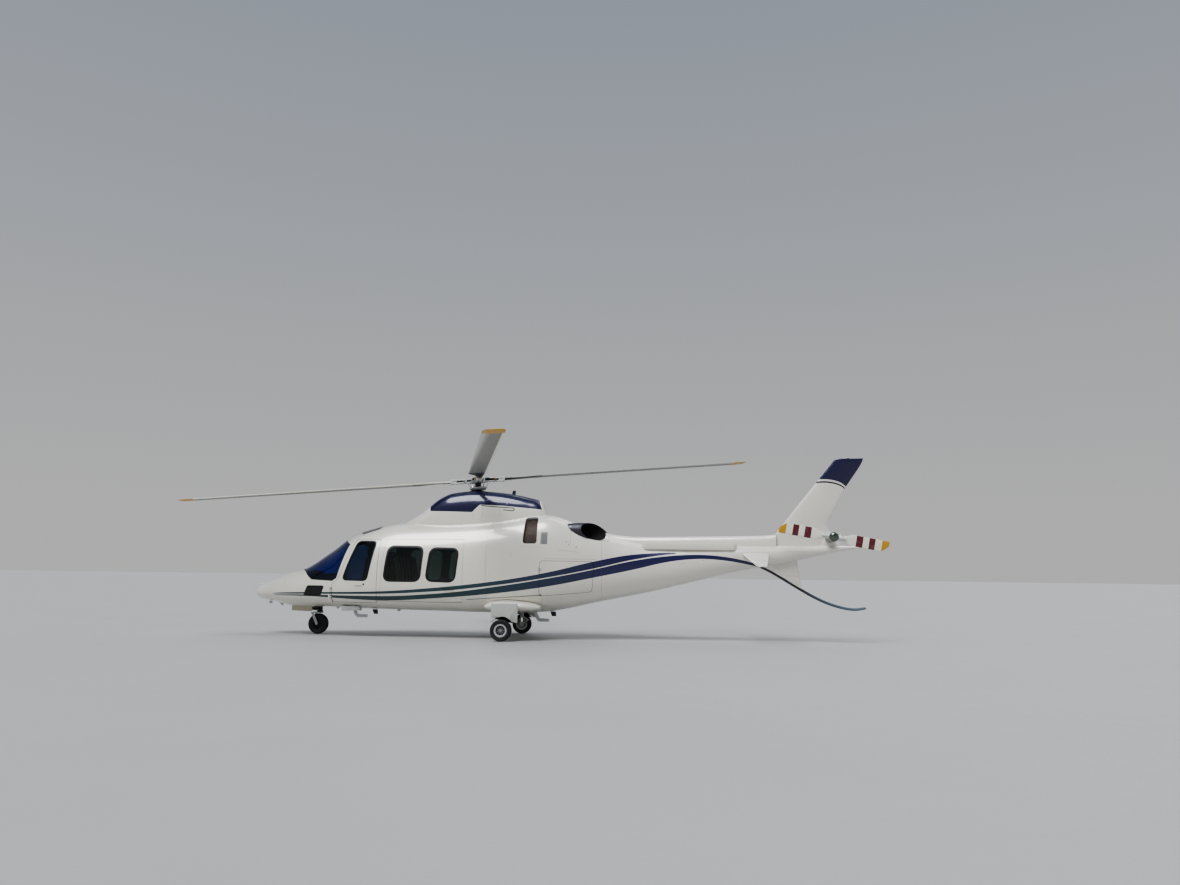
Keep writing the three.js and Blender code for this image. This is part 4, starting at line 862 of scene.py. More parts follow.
def crested_paint(name):
    """Fin paint: dark blue above a curved line, a white and a black line below it, then white."""
    made = new_finish(name, Metallic=0.1, Coat_Weight=0.9, Coat_Roughness=0.035)
    _, tree, _, place = made
    crest = field(tree, "crest")
    white = mixed(tree, mapped(tree, noise(tree, place, 1.6, 3.0), 0.3, 0.7), dimmed(tone("pearl"), 0.95),
                  tone("pearl"))
    base = mixed(tree, mapped(tree, crest, -0.0004, 0.0004), white, tone("cap_blue"))
    line = math_node(tree, "MULTIPLY", mapped(tree, crest, -0.0664, -0.0656),
                     mapped(tree, crest, -0.0346, -0.0354))
    return grained(made, fine_grain(tree, place, 420.0), mixed(tree, line, base, (0.02, 0.02, 0.03, 1)),
                   0.24, 0.32, 0.1, 0.0008)


def floor_finish(name):
    """Pale floor with a faint broad shade and a fine grain."""
    material, tree, shader, place = new_finish(name)
    base = mixed(tree, noise(tree, place, 0.35, 5.0), (0.38, 0.38, 0.375, 1), (0.42, 0.42, 0.415, 1))
    rough = mapped(tree, fine_grain(tree, place, 30.0)["Mask"], 0, 1, 0.6, 0.75)
    for key, socket in (("Base Color", base), ("Roughness", rough)):
        tree.links.new(socket, shader.inputs[key])
    return material


# Colour, metallic, roughness, grain per metre, spread of the roughness, dust and strength of the bump
SATINS = {
    "border": ((0.006, 0.006, 0.007), 0.0, 0.42, 500.0, 0.1, 0.0),
    "rubber": ((0.014, 0.014, 0.015), 0.0, 0.55, 500.0, 0.2, 0.1),
    "wheel_grey": ((0.62, 0.63, 0.63), 0.35, 0.34, 300.0, 0.14, 0.35),
    "gear_grey": ((0.50, 0.52, 0.50), 0.1, 0.42, 300.0, 0.14, 0.3),
    # Main gear doors: white paint given a grey-green colour, painted shade with a painted green reflection.
    "door_grey": ((0.56, 0.58, 0.53), 0.05, 0.34, 200.0, 0.1, 0.3),
    # Nose gear doors: white paint given a khaki colour, painted shade with a painted green reflection.
    "door_khaki": ((0.50, 0.48, 0.36), 0.05, 0.34, 200.0, 0.1, 0.3),
    "step": ((0.42, 0.44, 0.44), 0.6, 0.38, 300.0, 0.14, 0.3),
    "joint": ((0.10, 0.095, 0.08), 0.0, 0.6, 500.0, 0.1, 0.0),
    "louvre": ((0.33, 0.34, 0.33), 0.3, 0.45, 400.0, 0.1, 0.0),
    "mesh_wire": ((0.11, 0.08, 0.07), 0.6, 0.4, 400.0, 0.1, 0.0),
    "chrome": ((0.85, 0.85, 0.86), 1.0, 0.1, 300.0, 0.06, 0.1),
    "steel": ((0.46, 0.46, 0.47), 1.0, 0.34, 700.0, 0.2, 0.2),
    "casting": ((0.34, 0.35, 0.35), 0.7, 0.5, 160.0, 0.2, 0.1, 0.4),
    # Polished metal whose green tint is a painted reflection of green surroundings.
    "hub_polish": ((0.17, 0.20, 0.16), 1.0, 0.16, 300.0, 0.1, 0.0),
    "spoke_grey": ((0.24, 0.245, 0.245), 0.4, 0.42, 300.0, 0.14, 0.2),
    "hub_black": ((0.02, 0.02, 0.022), 0.2, 0.45, 300.0, 0.2, 0.0),
    "hub_white": ((0.72, 0.72, 0.70), 0.05, 0.32, 300.0, 0.14, 0.0),
    "brass": ((0.55, 0.42, 0.18), 1.0, 0.32, 300.0, 0.14, 0.0),
    "soot": ((0.006, 0.006, 0.006), 0.0, 0.9, 60.0, 0.1, 0.0),
    "panel_black": ((0.016, 0.016, 0.018), 0.0, 0.6, 240.0, 0.16, 0.0, 0.4),
    "panel_plastic": ((0.05, 0.05, 0.052), 0.0, 0.5, 240.0, 0.16, 0.0, 0.4),
    "screen": ((0.008, 0.010, 0.014), 0.0, 0.08, 500.0, 0.02, 0.0, 0.0),
    # Dark brown behind the intake mesh: the intake's brown, darkened as painted shade.
    "mesh_brown": ((0.07, 0.045, 0.04), 0.3, 0.5, 500.0, 0.2, 0.0),
}
OTHER_FINISHES = {
    "pearl": (gloss_paint, "pearl", True),
    "pearl_plain": (gloss_paint, "pearl"),
    "cap_blue": (gloss_paint, "cap_blue", False, 0.25),
    "lining": (leather, (0.33, 0.30, 0.26)),
    "seat_leather": (leather, (0.50, 0.40, 0.28)),
    "carpet": (woven, (0.20, 0.17, 0.14), 900.0),
    "belt": (woven, (0.05, 0.05, 0.055), 2200.0),
    "blind": (woven, (0.40, 0.32, 0.30), 900.0),
    "roof_glass": (tinted_glass, (0.72, 0.64, 0.62)),
    "red_lens": (tinted_glass, (0.7, 0.02, 0.02)),
    "clear_lens": (tinted_glass, (0.9, 0.92, 0.95)),
    "fin_paint": (crested_paint,),
    "tyre": (tyre_rubber,),
    "skid": (skid_paint,),
    "exhaust": (heated_metal,),
    "blade": (blade_finish,),
    "tail_blade": (striped_blade,),
    "floor": (floor_finish,),
}


def finish(name):
    """The material of that name, made the first time it is asked for."""
    if name in bpy.data.materials:
        return bpy.data.materials[name]
    if name in SATINS:
        return satin(name, *SATINS[name])
    if name in ("windshield_glass", "window_glass"):
        return tinted_glass(name, tone(name.removesuffix("_glass")))
    maker, *values = OTHER_FINISHES[name]
    return maker(name, *values)


# Airframe skins

ROUND = np.linspace(-np.pi / 2, 1.5 * np.pi, 145)
STEP_X = 0.024
SKINS = ("pearl", "lining", "rubber")


def outlined(corners, radius=0, grow=0, sign=None):
    """Keep function: inside a side outline, on one side of the middle plane if a sign is given."""
    ring = rounded(corners, radius, 0.03, grow)
    if sign is None:
        return lambda p: inside(p[:, [0, 2]], ring)
    return lambda p: np.where(p[:, 1] * sign > 0, inside(p[:, [0, 2]], ring), -0.3)


def outside(*keeps):
    """Keep function: outside all of the others."""
    return lambda p: -np.max([keep(p) for keep in keeps], axis=0)


def within(*keeps):
    """Keep function: inside all of the others."""
    return lambda p: np.min([keep(p) for keep in keeps], axis=0)


def between(axis, low, high):
    """Keep function: between two places on an axis."""
    return lambda p: np.minimum(p[:, axis] - low, high - p[:, axis])


def near_exhaust(grow):
    """Keep function: inside the grown exhaust's flattened sections."""
    def keep(p):
        columns = [np.interp(p[:, 0], EXHAUST[:, 0], EXHAUST[:, k]) for k in (1, 2, 3, 4)]
        y, z, wide, tall = columns
        far = np.hypot((np.abs(p[:, 1]) - y) / wide, (p[:, 2] - z) / tall)
        value = (1 - far) * np.minimum(wide, tall) + grow
        return np.where((p[:, 0] > EXHAUST[0, 0] - 0.05) & (p[:, 0] < EXHAUST[-1, 0]), value, -0.3)
    return keep


def baggage_outline(grow):
    """Keep function: inside the baggage door's outline, drawn in the plane of its leaning wall."""
    ring = rounded(BAGGAGE_DOOR, 70, 0.03, grow)

    def keep(p):
        along = ((p[:, 0] - BAGGAGE_HINGE[0]) * math.cos(BAGGAGE_LEAN)
                 + (p[:, 1] + BAGGAGE_HINGE[1]) * math.sin(BAGGAGE_LEAN))
        value = inside(np.stack([along, p[:, 2]], 1), ring)
        return np.where(p[:, 1] < -0.2, value, -0.3)
    return keep


def body_skin(x0, x1, keep, wall, proud=0, angles=ROUND, inset=0, step=STEP_X):
    """The fuselage between two places, trimmed by keep."""
    x = np.linspace(x0, x1, max(int((x1 - x0) / step), 2) + 1)
    return trimmed(lambda u, v: body_point(u, v, inset), x, angles, keep, wall, proud)


def side_angles(sign, low=-1.2, high=1.5, steps=84):
    """Angles of one side's skin, from below the sill to beside the roof."""
    angle = np.linspace(low, high, steps)
    return angle if sign > 0 else np.pi - angle[::-1]


def window_frame(keep_in, grow):
    """Keep function of a narrow band round a window."""
    return lambda p: np.minimum(keep_in(p) + grow, -keep_in(p) + 0.001)


def build_nose():
    """Nose cone and nose section with the chin windows."""
    blunt_step = np.linspace(0.03, 1, 46)
    x = NOSE_TIP + blunt_step ** 2 * (NOSE_JOINT - 0.0015 - NOSE_TIP)
    rings = [body_point(place, np.linspace(0, 2 * np.pi, 96, endpoint=False)) for place in x]
    add_piece("nose_cone_skin", tube(rings), "pearl_plain", ["nose_cone"])
    chin = outlined(CHIN_WINDOW, 30)
    screen = outlined(WINDSHIELD)
    section = body_skin(NOSE_JOINT, CABIN_FRONT - SEAT_GAP, outside(screen, chin), WALL)
    add_skin("nose_section_skin", section, SKINS, ["nose_section"])
    for name, sign in SIDES:
        hole = outlined(CHIN_WINDOW, 30, 0, sign)
        pane = body_skin(-3.9, -3.4, lambda p: hole(p) - 0.001, GLASS_WALL, 0,
                         side_angles(sign, -0.9, 0.9, 50), step=0.012)
        add_skin(f"chin_glass_{name}", pane, "window_glass")
        ring = body_skin(-3.9, -3.38, window_frame(hole, 0.014), 0.003, 0.0015,
                         side_angles(sign, -0.9, 0.9, 90), step=0.01)
        add_skin(f"chin_seal_{name}", ring, "rubber")
    seam = body_skin(NOSE_JOINT - 0.008, NOSE_JOINT + 0.006, lambda p: np.ones(len(p)), 0.004, 0, ROUND,
                     0.004, 0.007)
    add_skin("nose_seam", seam, "rubber")


def build_belly():
    """Belly tub with the cabin floor on top."""
    bottom = np.linspace(-np.pi - 0.3, 0.3, 85)
    tub = body_skin(CABIN_FRONT, CABIN_REAR - SEAT_GAP, between(2, -1, FLOOR - SEAT_GAP), WALL, 0, bottom)
    add_skin("belly_skin", tub, SKINS, ["belly_tub"])
    x = np.linspace(CABIN_FRONT - 0.2, CABIN_REAR - 0.005, 60)
    half = body_side(x, FLOOR - 0.012) - 0.012
    ring = np.concatenate([np.stack([x, -half], 1), np.stack([x[::-1], half[::-1]], 1)])
    add_piece("cabin_floor_board", plate(ring, 0.012, (0, 0, FLOOR - 0.012), X, Y), "carpet")


def build_sides():
    """Side frames round the door openings."""
    for name, sign in SIDES:
        keep = within(between(2, FLOOR, 9), outside(
            outlined(WINDSHIELD), outlined(ROOF_SIDE, 0, SEAT_GAP), outlined(COCKPIT_DOOR, 40, 0.006),
            outlined(CABIN_DOOR, 60, 0.003)))
        frame_skin = body_skin(CABIN_FRONT, CABIN_REAR - SEAT_GAP, keep, WALL, 0,
                               side_angles(sign, -1.3, 1.5, 110))
        add_skin(f"side_frame_skin_{name}", frame_skin, SKINS, [f"side_frame_{name}"])


def build_roof():
    """Roof panel with the post between the windshields, and the glass of its two windows."""
    screen = outlined(WINDSHIELD)
    panes = [outline_above(sign) for _, sign in SIDES]
    post = rounded(WINDSHIELD, 0, 0.03, 0.02)

    def keep(p):
        roof = np.minimum(inside(p[:, [0, 2]], rounded(ROOF_SIDE, 0, 0.05)), CABIN_REAR - SEAT_GAP - p[:, 0])
        roof = np.minimum(roof, -screen(p))
        middle = np.minimum(np.minimum(inside(p[:, [0, 2]], post), 0.03 - np.abs(p[:, 1])), p[:, 2] - 1.24)
        both = np.maximum(roof, middle)
        return np.minimum(both, -np.max([pane(p) for pane in panes], axis=0))

    over = np.linspace(0.25, np.pi - 0.25, 121)
    skin = body_skin(-4.08, CABIN_REAR - SEAT_GAP, keep, WALL, 0, over, step=0.03)
    add_skin("roof_skin", skin, SKINS, ["roof_panel"])
    for (name, sign), hole in zip(SIDES, panes):
        angles = np.linspace(0.9, 1.52, 50) if sign > 0 else np.linspace(np.pi - 1.52, np.pi - 0.9, 50)
        pane = body_skin(-3.0, -2.44, lambda p, hole=hole: hole(p) - 0.0005, GLASS_WALL, 0, angles,
                         step=0.012)
        add_skin(f"roof_glass_{name}", pane, "roof_glass", [f"roof_window_{name}"])
        blind = body_skin(-3.0, -2.44, lambda p, hole=hole: hole(p) + 0.01, 0.003, 0, angles, 0.028, 0.02)
        add_skin(f"roof_blind_{name}", blind, "blind")


def outline_above(sign):
    """Keep function of a roof window, seen from above."""
    ring = rounded(ROOF_WINDOW, 50, 0.03) * [1, sign]
    return lambda p: np.where(p[:, 2] > 1.7, inside(p[:, :2], ring), -0.3)


def build_windshields():
    """Two windshield panes, with a rubber border."""
    screen = rounded(WINDSHIELD, 0, 0.03)
    for name, sign in SIDES:
        angles = np.linspace(0.02, np.pi / 2, 90)
        angles = angles if sign > 0 else np.pi - angles[::-1]

        def keep(p, sign=sign):
            return np.minimum(inside(p[:, [0, 2]], screen) - SEAT_GAP, p[:, 1] * sign - 0.0303)
        pane = body_skin(-4.12, -2.98, keep, GLASS_WALL, 0, angles)
        add_skin(f"windshield_glass_{name}", pane, "windshield_glass", [f"windshield_{name}"])

        def border(p, keep=keep):
            return np.minimum(0.009 - keep(p), keep(p) + 0.004)
        seal = body_skin(-4.12, -2.97, border, 0.003, 0.0015, angles, step=0.012)
        add_skin(f"windshield_seal_{name}", seal, "rubber")


def build_doors():
    """Cockpit and cabin doors with their windows and black borders."""
    doors = [("cockpit", COCKPIT_DOOR, 40, 0, [("", COCKPIT_WINDOW, 70, 0.022)]),
             ("cabin", CABIN_DOOR, 60, -0.0027, [("_front", CABIN_WINDOW_FRONT, 110, 0.034),
                                                 ("_rear", CABIN_WINDOW_REAR, 110, 0.034)])]
    for name, sign in SIDES:
        for kind, side, radius, drop, windows in doors:
            body = f"door_{name}" if kind == "cockpit" else "airframe"
            shape = (np.array(side) + [0, drop * 1000]).tolist()
            panes = [outlined(corners, corner_radius, 0, sign) for _, corners, corner_radius, _ in windows]
            skin = body_skin(-3.33, -0.74, within(outlined(shape, radius, 0, sign), outside(*panes)), WALL, 0,
                             side_angles(sign, -1.3, 1.5, 110))
            add_skin(f"{kind}_door_skin_{name}", skin, SKINS, [f"{kind}_door_{name}"], body)
            for (label, corners, corner_radius, border), hole in zip(windows, panes):
                low, high = min(c[0] for c in corners) / 1000 - 0.05, max(c[0] for c in corners) / 1000 + 0.05
                angles = side_angles(sign, -0.3, 1.4, 90)
                pane = body_skin(low, high, lambda p, hole=hole: hole(p) - 0.0006, GLASS_WALL, 0, angles)
                add_skin(f"{kind}_glass_{name}{label}", pane, "window_glass",
                         [f"{kind}_window_{name}{label}"], body)
                seal = body_skin(low, high, window_frame(hole, border), 0.003, 0.0015,
                                 side_angles(sign, -0.3, 1.4, 130), step=0.012)
                add_skin(f"{kind}_seal_{name}{label}", seal, "border", body=body)


def build_aft():
    """Aft fuselage with the baggage opening, the baggage door, and the seals in both."""
    cowl = within(between(0, -9, COWL_REAR), between(2, COWL_EDGE, 9))
    skin = body_skin(CABIN_REAR, BAY_REAR, outside(cowl, baggage_outline(0.006), near_exhaust(SEAT_GAP)),
                     WALL, 0, np.linspace(-np.pi / 2, 1.5 * np.pi, 121), step=0.03)
    add_skin("aft_skin", skin, SKINS, ["aft_fuselage"])
    port = side_angles(-1, -1.3, 1.2, 100)
    door = body_skin(0.5, BAY_REAR - 0.02, baggage_outline(0), BAGGAGE_WALL, 0, port)
    add_skin("baggage_door_skin", door, SKINS, ["baggage_door"], "baggage_lid")


def build_bay():
    """Lining of the baggage bay with its end walls, and the deck below the engines."""
    def lining(x, angle):
        wide, tall = (np.sign(f) * np.abs(f) ** 0.2 for f in (np.cos(angle), np.sin(angle)))
        low = np.maximum(0.645, body_columns(x)[0] + 0.05)
        z = (1.555 + low) / 2 + (1.555 - low) / 2 * tall
        return np.stack([x + 0 * angle, wide * (body_side(x, z) - 0.047), z], -1)
    sides = trimmed(lining, np.linspace(0.622, 1.676, 22), np.linspace(-np.pi, np.pi, 97), outside(
        baggage_outline(0.012)), 0.004)
    shown = shown_mesh("bay_lining", sides[0], sides[1], "lining", sides[3])
    put(shown)
    angle = np.linspace(0, 2 * np.pi, 96, endpoint=False)
    ends = [plate(lining(x, angle)[:, 1:], 0.004, (x, 0, 0), Y, Z, 0.001) for x in (0.624, 1.672)]
    add_piece("bay_walls", joined(*ends), "lining")
    x = np.linspace(0, 1.7, 40)
    half = body_side(x, 1.6) - 0.014
    deck = plate(np.concatenate([np.stack([x, -half], 1), np.stack([x, half], 1)[::-1]]), 0.006,
                 (0, 0, 1.594), X, Y, 0.001)
    add_piece("engine_deck", deck, "gear_grey")


def build_cowls():
    """Engine cowls with their air intakes."""
    for name, sign in SIDES:
        intake = outlined(INTAKE, 60)
        slot_hole = within(intake, lambda p: np.abs(p[:, 1]) - 0.44)
        keep = within(between(2, COWL_EDGE + SEAT_GAP, 9), lambda p, sign=sign: p[:, 1] * sign - SEAT_GAP / 2,
                      outside(slot_hole, near_exhaust(SEAT_GAP)))
        angles = np.linspace(0.1, np.pi / 2 + 0.02, 66)
        angles = angles if sign > 0 else np.pi - angles[::-1]
        skin = body_skin(CABIN_REAR, COWL_REAR - SEAT_GAP, keep, WALL, 0, angles)
        add_skin(f"cowl_skin_{name}", skin, ["pearl", "gear_grey", "gear_grey"],
                 [f"engine_cowl_{name}"])


def build_boom():
    """Tail boom, and the drive cover on top."""
    skin = body_skin(BAY_REAR + SEAT_GAP, BOOM_END - SEAT_GAP, outside(near_exhaust(SEAT_GAP)), BOOM_WALL, 0,
                     np.linspace(-np.pi / 2, 1.5 * np.pi, 97), step=0.045)
    add_skin("boom_skin", skin, ["pearl", "gear_grey", "gear_grey"], ["tail_boom"])
    x = np.linspace(BAY_REAR + SEAT_GAP, BOOM_END + 0.012, 64)
    angle = np.linspace(0, np.pi, 49)
    cover = trimmed(lambda u, v: fairing_point(SPINE, 1.6, 2.6, u, v), x, angle,
                    lambda p: p[:, 2] - body_top(p[:, 0], p[:, 1]) + 0.004, 0.012)
    add_skin("drive_cover_skin", cover, "pearl_plain", ["drive_cover"])


def build_pylon():
    """Rotor pylon: white base, blue cap with its white rear edge, and the hole for the mast."""
    x = np.linspace(PYLON[0, 0], PYLON[-1, 0], 97)
    angle = np.linspace(0, np.pi, 91)
    cap = outlined(PYLON_CAP)

    def mast(p):
        return 0.135 - np.hypot(p[:, 0] - ROTOR["x"] + 0.02, p[:, 1])

    def off_body(p):
        return p[:, 2] - body_top(p[:, 0], p[:, 1]) + 0.004

    def surface(u, v):
        return fairing_point(PYLON, 1.95, 3.2, u, v)
    base = trimmed(surface, x, angle, within(off_body, outside(cap, mast)), 0.03)
    add_skin("pylon_skin", base, ["pearl_plain", "gear_grey", "pearl_plain"], ["pylon_base"])
    rear = outlined(PYLON_REAR)
    top = trimmed(surface, x, angle, within(off_body, cap, outside(mast, rear)), 0.03)
    add_skin("pylon_cap_skin", top, ["cap_blue", "gear_grey", "rubber"], ["pylon_cap"])
    edge = trimmed(surface, x, angle, within(off_body, cap, rear), 0.03)
    add_skin("pylon_cap_edge", edge, ["pearl_plain", "gear_grey", "pearl_plain"])


# Tail

# Fin in millimetres: height, leading edge, trailing edge and thickness; its painted crest in metres
FIN = np.array([
    [1620, 4905, 5960, 150], [1950, 4905, 5985, 140], [2050, 4975, 5880, 132], [2156, 5058, 5855, 122],
    [2273, 5150, 5905, 118], [2464, 5300, 6013, 112], [2806, 5578, 6190, 100], [3020, 5752, 6335, 92],
    [3310, 5987, 6522, 82], [3385, 6045, 6550, 60],
]) / 1000
FIN_CREST = np.array([[5.6, 2.965], [5.72, 2.984], [5.82, 2.988], [5.96, 2.974], [6.11, 2.93], [6.21, 2.858],
                      [6.3, 2.765]])
# Stabilizer in millimetres: side place, leading edge, trailing edge, height and thickness
STABILIZER = np.array([
    [120, 4282, 4775, 1598, 66], [1380, 4425, 4610, 1358, 30], [1440, 4450, 4590, 1347, 16],
]) / 1000
VENTRAL_FIN = [[4620, 1365], [4800, 1280], [5070, 1120], [5340, 962], [5372, 985], [5312, 1310],
               [5290, 1600], [4600, 1600]]
SKID = np.array([
    [4590, 1378], [4800, 1280], [5070, 1120], [5340, 958], [5600, 812], [5850, 702], [6140, 622],
    [6310, 606], [6510, 636],
]) / 1000
STRAKE = [[2420, -135], [2480, -338], [3300, -322], [4150, -262], [4205, -135]]


def aerofoil(lead, trail, thick, count=48):
    """Offsets along the chord and across it: a cosine along, and across a sine that is fuller in front."""
    angle = np.linspace(0, 2 * np.pi, count, endpoint=False)
    lead, trail, thick = (np.asarray(value, float)[..., None] for value in (lead, trail, thick))
    along = (lead + trail) / 2 + (lead - trail) / 2 * np.cos(angle)
    return along, thick / 2 * np.sin(angle) * (0.75 + 0.25 * np.cos(angle))


def attribute(thing, name, values):
    """Writes a value for each vertex, which a material can read."""
    thing.data.attributes.new(name, "FLOAT", "POINT").data.foreach_set("value",
                                                                       np.asarray(values, np.float32))


def loft_between(table, places, key):
    """A table's column at places along its first column."""
    return monotone(table[:, 0], table[:, key], places)


def build_tail_cone():
    """Tail cone, and the fin with its dark blue top."""
    x = np.concatenate([np.linspace(BOOM_END, TAIL_TIP, 66), TAIL_TIP + np.array([0.006, 0.009, 0.01])])
    angle = np.linspace(0, 2 * np.pi, 64, endpoint=False)
    rings = np.stack([body_point(min(place, TAIL_TIP), angle) for place in x])
    middle = rings.mean(1, keepdims=True)
    for row, share in zip((-3, -2, -1), (0.85, 0.5, 0.12)):
        rings[row] = middle[row] + (rings[row] - middle[row]) * share
    rings[:, :, 0] = x[:, None]
    z = np.concatenate([np.linspace(1.62, 3.375, 84), 3.385 - 0.01 * np.array([0.7, 0.45, 0.2, 0.05])])
    lead, trail, thick = (loft_between(FIN, z, key) for key in (1, 2, 3))
    close = np.sqrt(np.clip((3.3852 - z) / 0.01, 0, 1))
    middle_x = (lead + trail) / 2
    drawn = 1 - (1 - close) * 0.03
    along, across = aerofoil(middle_x + (lead - middle_x) * drawn, middle_x + (trail - middle_x) * drawn,
                             thick * close, 72)
    fin = np.stack([along, across, np.broadcast_to(z[:, None], along.shape)], -1)
    cone = shown_mesh("tail_cone", *tube(rings), ["pearl_plain"])
    put(cone, ["tail_fin"])
    places, faces = tube(fin)
    shown = shown_mesh("tail_fin_skin", places, faces, ["fin_paint"], sharp=60)
    attribute(shown, "crest", places[:, 2] - monotone(FIN_CREST[:, 0], FIN_CREST[:, 1], places[:, 0]))
    put(shown)
    pedestal = fairing_like(5.62, 6.12, 0.055, 1.66, 1.945)
    add_piece("gearbox_fairing", pedestal, "pearl_plain")


def fairing_like(x0, x1, half, low, top, power=2.4):
    """Low hood on a flat base whose width and height follow a half sine along x."""
    t = np.linspace(0, 1, 41)
    rise = np.sin(np.pi * t) ** 0.6
    angle = np.linspace(0, np.pi, 33)
    reach = (np.abs(np.cos(angle)) ** power + np.abs(np.sin(angle)) ** power) ** (-1 / power)
    rings = np.stack([
        np.broadcast_to((x0 + (x1 - x0) * t)[:, None], (41, 33)),
        np.maximum(half * rise, 0.002)[:, None] * (reach * np.cos(angle))[None],
        low + np.maximum((top - low) * rise, 0.002)[:, None] * (reach * np.sin(angle))[None]], -1)
    return tube(rings)


def build_tail_planes():
    """Ventral fin with its joint line, dark skid tube, stabilizers and the ledge beside the boom."""
    fin = plate(rounded(VENTRAL_FIN, 25, 0.02), 0.042, (0, 0.021, 0), X, Z, 0.012)
    add_piece("ventral_fin_skin", fin, "pearl_plain", ["ventral_fin"])
    joint = plate([(5.1, 1.196), (5.325, 1.192), (5.325, 1.195), (5.1, 1.199)], 0.0424, (0, 0.0212, 0), X,
                  Z, 0.0003)
    add_piece("ventral_joint", joint, "rubber")
    t = np.linspace(0, 1, len(SKID))
    fine = np.linspace(0, 1, 90)
    route = np.stack([softened(t, SKID[:, 0], fine, 0.03), np.zeros(90), softened(t, SKID[:, 1], fine, 0.03)],
                     1)
    ends = np.minimum(np.arange(90), np.arange(90)[::-1])
    swell = np.interp(ends, [0, 1, 2], [0.35, 0.9, 1])
    add_piece("tail_skid", sweep(route, circle(0.027, 24), swell), "skid")
    y = np.concatenate([np.linspace(0.12, 1.38, 40), np.linspace(1.39, 1.44, 8)])
    lead, trail, z, thick = (np.interp(y, STABILIZER[:, 0], STABILIZER[:, key]) for key in (1, 2, 3, 4))
    along, up = aerofoil(lead, trail, thick, 56)
    for name, sign in SIDES:
        rings = np.stack([along, np.broadcast_to(sign * y[:, None], along.shape), z[:, None] + up], -1)
        shape = tube(rings if sign < 0 else rings[:, ::-1])
        add_piece(f"stabilizer_skin_{name}", shape, "pearl_plain", [f"stabilizer_{name}"])
        cuff_y = np.linspace(0.18, 0.3, 12)
        lead_c, trail_c, z_c, thick_c = (np.interp(cuff_y, STABILIZER[:, 0], STABILIZER[:, key])
                                         for key in (1, 2, 3, 4))
        grow = 0.012 * (1 - np.linspace(0, 1, 12) ** 2)
        along_c, up_c = aerofoil(lead_c - grow, trail_c + grow, thick_c + 2 * grow, 56)
        rings = np.stack([along_c, np.broadcast_to(sign * cuff_y[:, None], along_c.shape),
                          z_c[:, None] + up_c], -1)
        add_piece(f"stabilizer_cuff_{name}", tube(rings if sign < 0 else rings[:, ::-1]), "pearl_plain")
    ledge = plate(rounded(STRAKE, 60, 0.03), 0.12, (0, 0, 1.65), X, Y, 0.01)
    add_piece("boom_ledge", ledge, "pearl_plain")


# Rotors

# Main blade in millimetres: distance from the mast, leading edge, trailing edge and thickness
BLADE = np.array([
    [520.3, 56, -56, 62], [640, 58, -62, 57], [760, 68, -84, 50], [900, 82, -134, 43], [1120, 99, -231, 36],
    [1300, 99, -231, 35.5], [5255, 99, -231, 30], [5330, 90, -222, 26], [5395, 76, -205, 21],
    [5415, 66, -180, 16],
]) / 1000


def rotor_place(k=0):
    """Matrix from the rotor's own frame to the airframe's, turned on by k quarter turns."""
    return (Matrix.Translation((ROTOR["x"], 0, ROTOR["z"])) @ Matrix.Rotation(-ROTOR["tilt"], 4, "Y")
            @ Matrix.Rotation(ROTOR["turn"] + k * math.pi / 2, 4, "Z"))


def build_blades():
    """Four main blades: dark cuff, grey blade with a darker underside as painted shade, a cream painted
    highlight along the nose and a yellow swept tip.
    """
    span = np.concatenate([np.linspace(0.5203, 1.3, 24), np.linspace(1.36, 5.12, 40),
                           np.linspace(5.15, 5.395, 14), [5.405, 5.411, 5.4148]])
    lead, trail, thick = (loft_between(BLADE, np.minimum(span, 5.415), key) for key in (1, 2, 3))
    thick = thick * np.interp(span, [5.395, 5.405, 5.411, 5.415], [1, 0.8, 0.5, 0.1])
    along, up = aerofoil(lead, trail, thick, 56)
    twist = np.radians(np.interp(span, [1.1, 5.4], [1.0, -1.0]))[:, None]
    y = along * np.cos(twist) - up * np.sin(twist)
    z = along * np.sin(twist) + up * np.cos(twist)
    places, faces = tube(np.stack([np.broadcast_to(span[:, None], y.shape), y, z], -1))
    bolts = [spun([(0, -0.031), (0.013, -0.031), (0.013, 0.031), (0, 0.031)], (r, side * 0.022, 0), Z, 12)
             for r in (0.56, 0.64) for side in (-1, 1)]
    for k in range(4):
        m = rotor_place(k)
        shape = turned_by((places, faces), m)
        thing = shown_mesh(f"main_blade_{k + 1}_skin", *shape, ["blade"], sharp=50)
        attribute(thing, "span", places[:, 0])
        # Share of the chord from the leading edge, which places the painted highlight.
        attribute(thing, "chord", (np.interp(places[:, 0], span, lead) - places[:, 1])
                  / np.interp(places[:, 0], span, lead - trail))
        # Mask of the lower faces, which take the painted shade.
        attribute(thing, "under", np.clip(-places[:, 2] / 0.006 - 0.5, 0, 1))
        put(thing, [f"main_blade_{k + 1}"], "main_rotor")
        add_piece(f"blade_bolts_{k + 1}", turned_by(joined(*bolts), m), "steel", body="main_rotor")


def ring_place(radius, height, turn):
    """Point round the mast."""
    return (radius * math.cos(turn), radius * math.sin(turn), height)


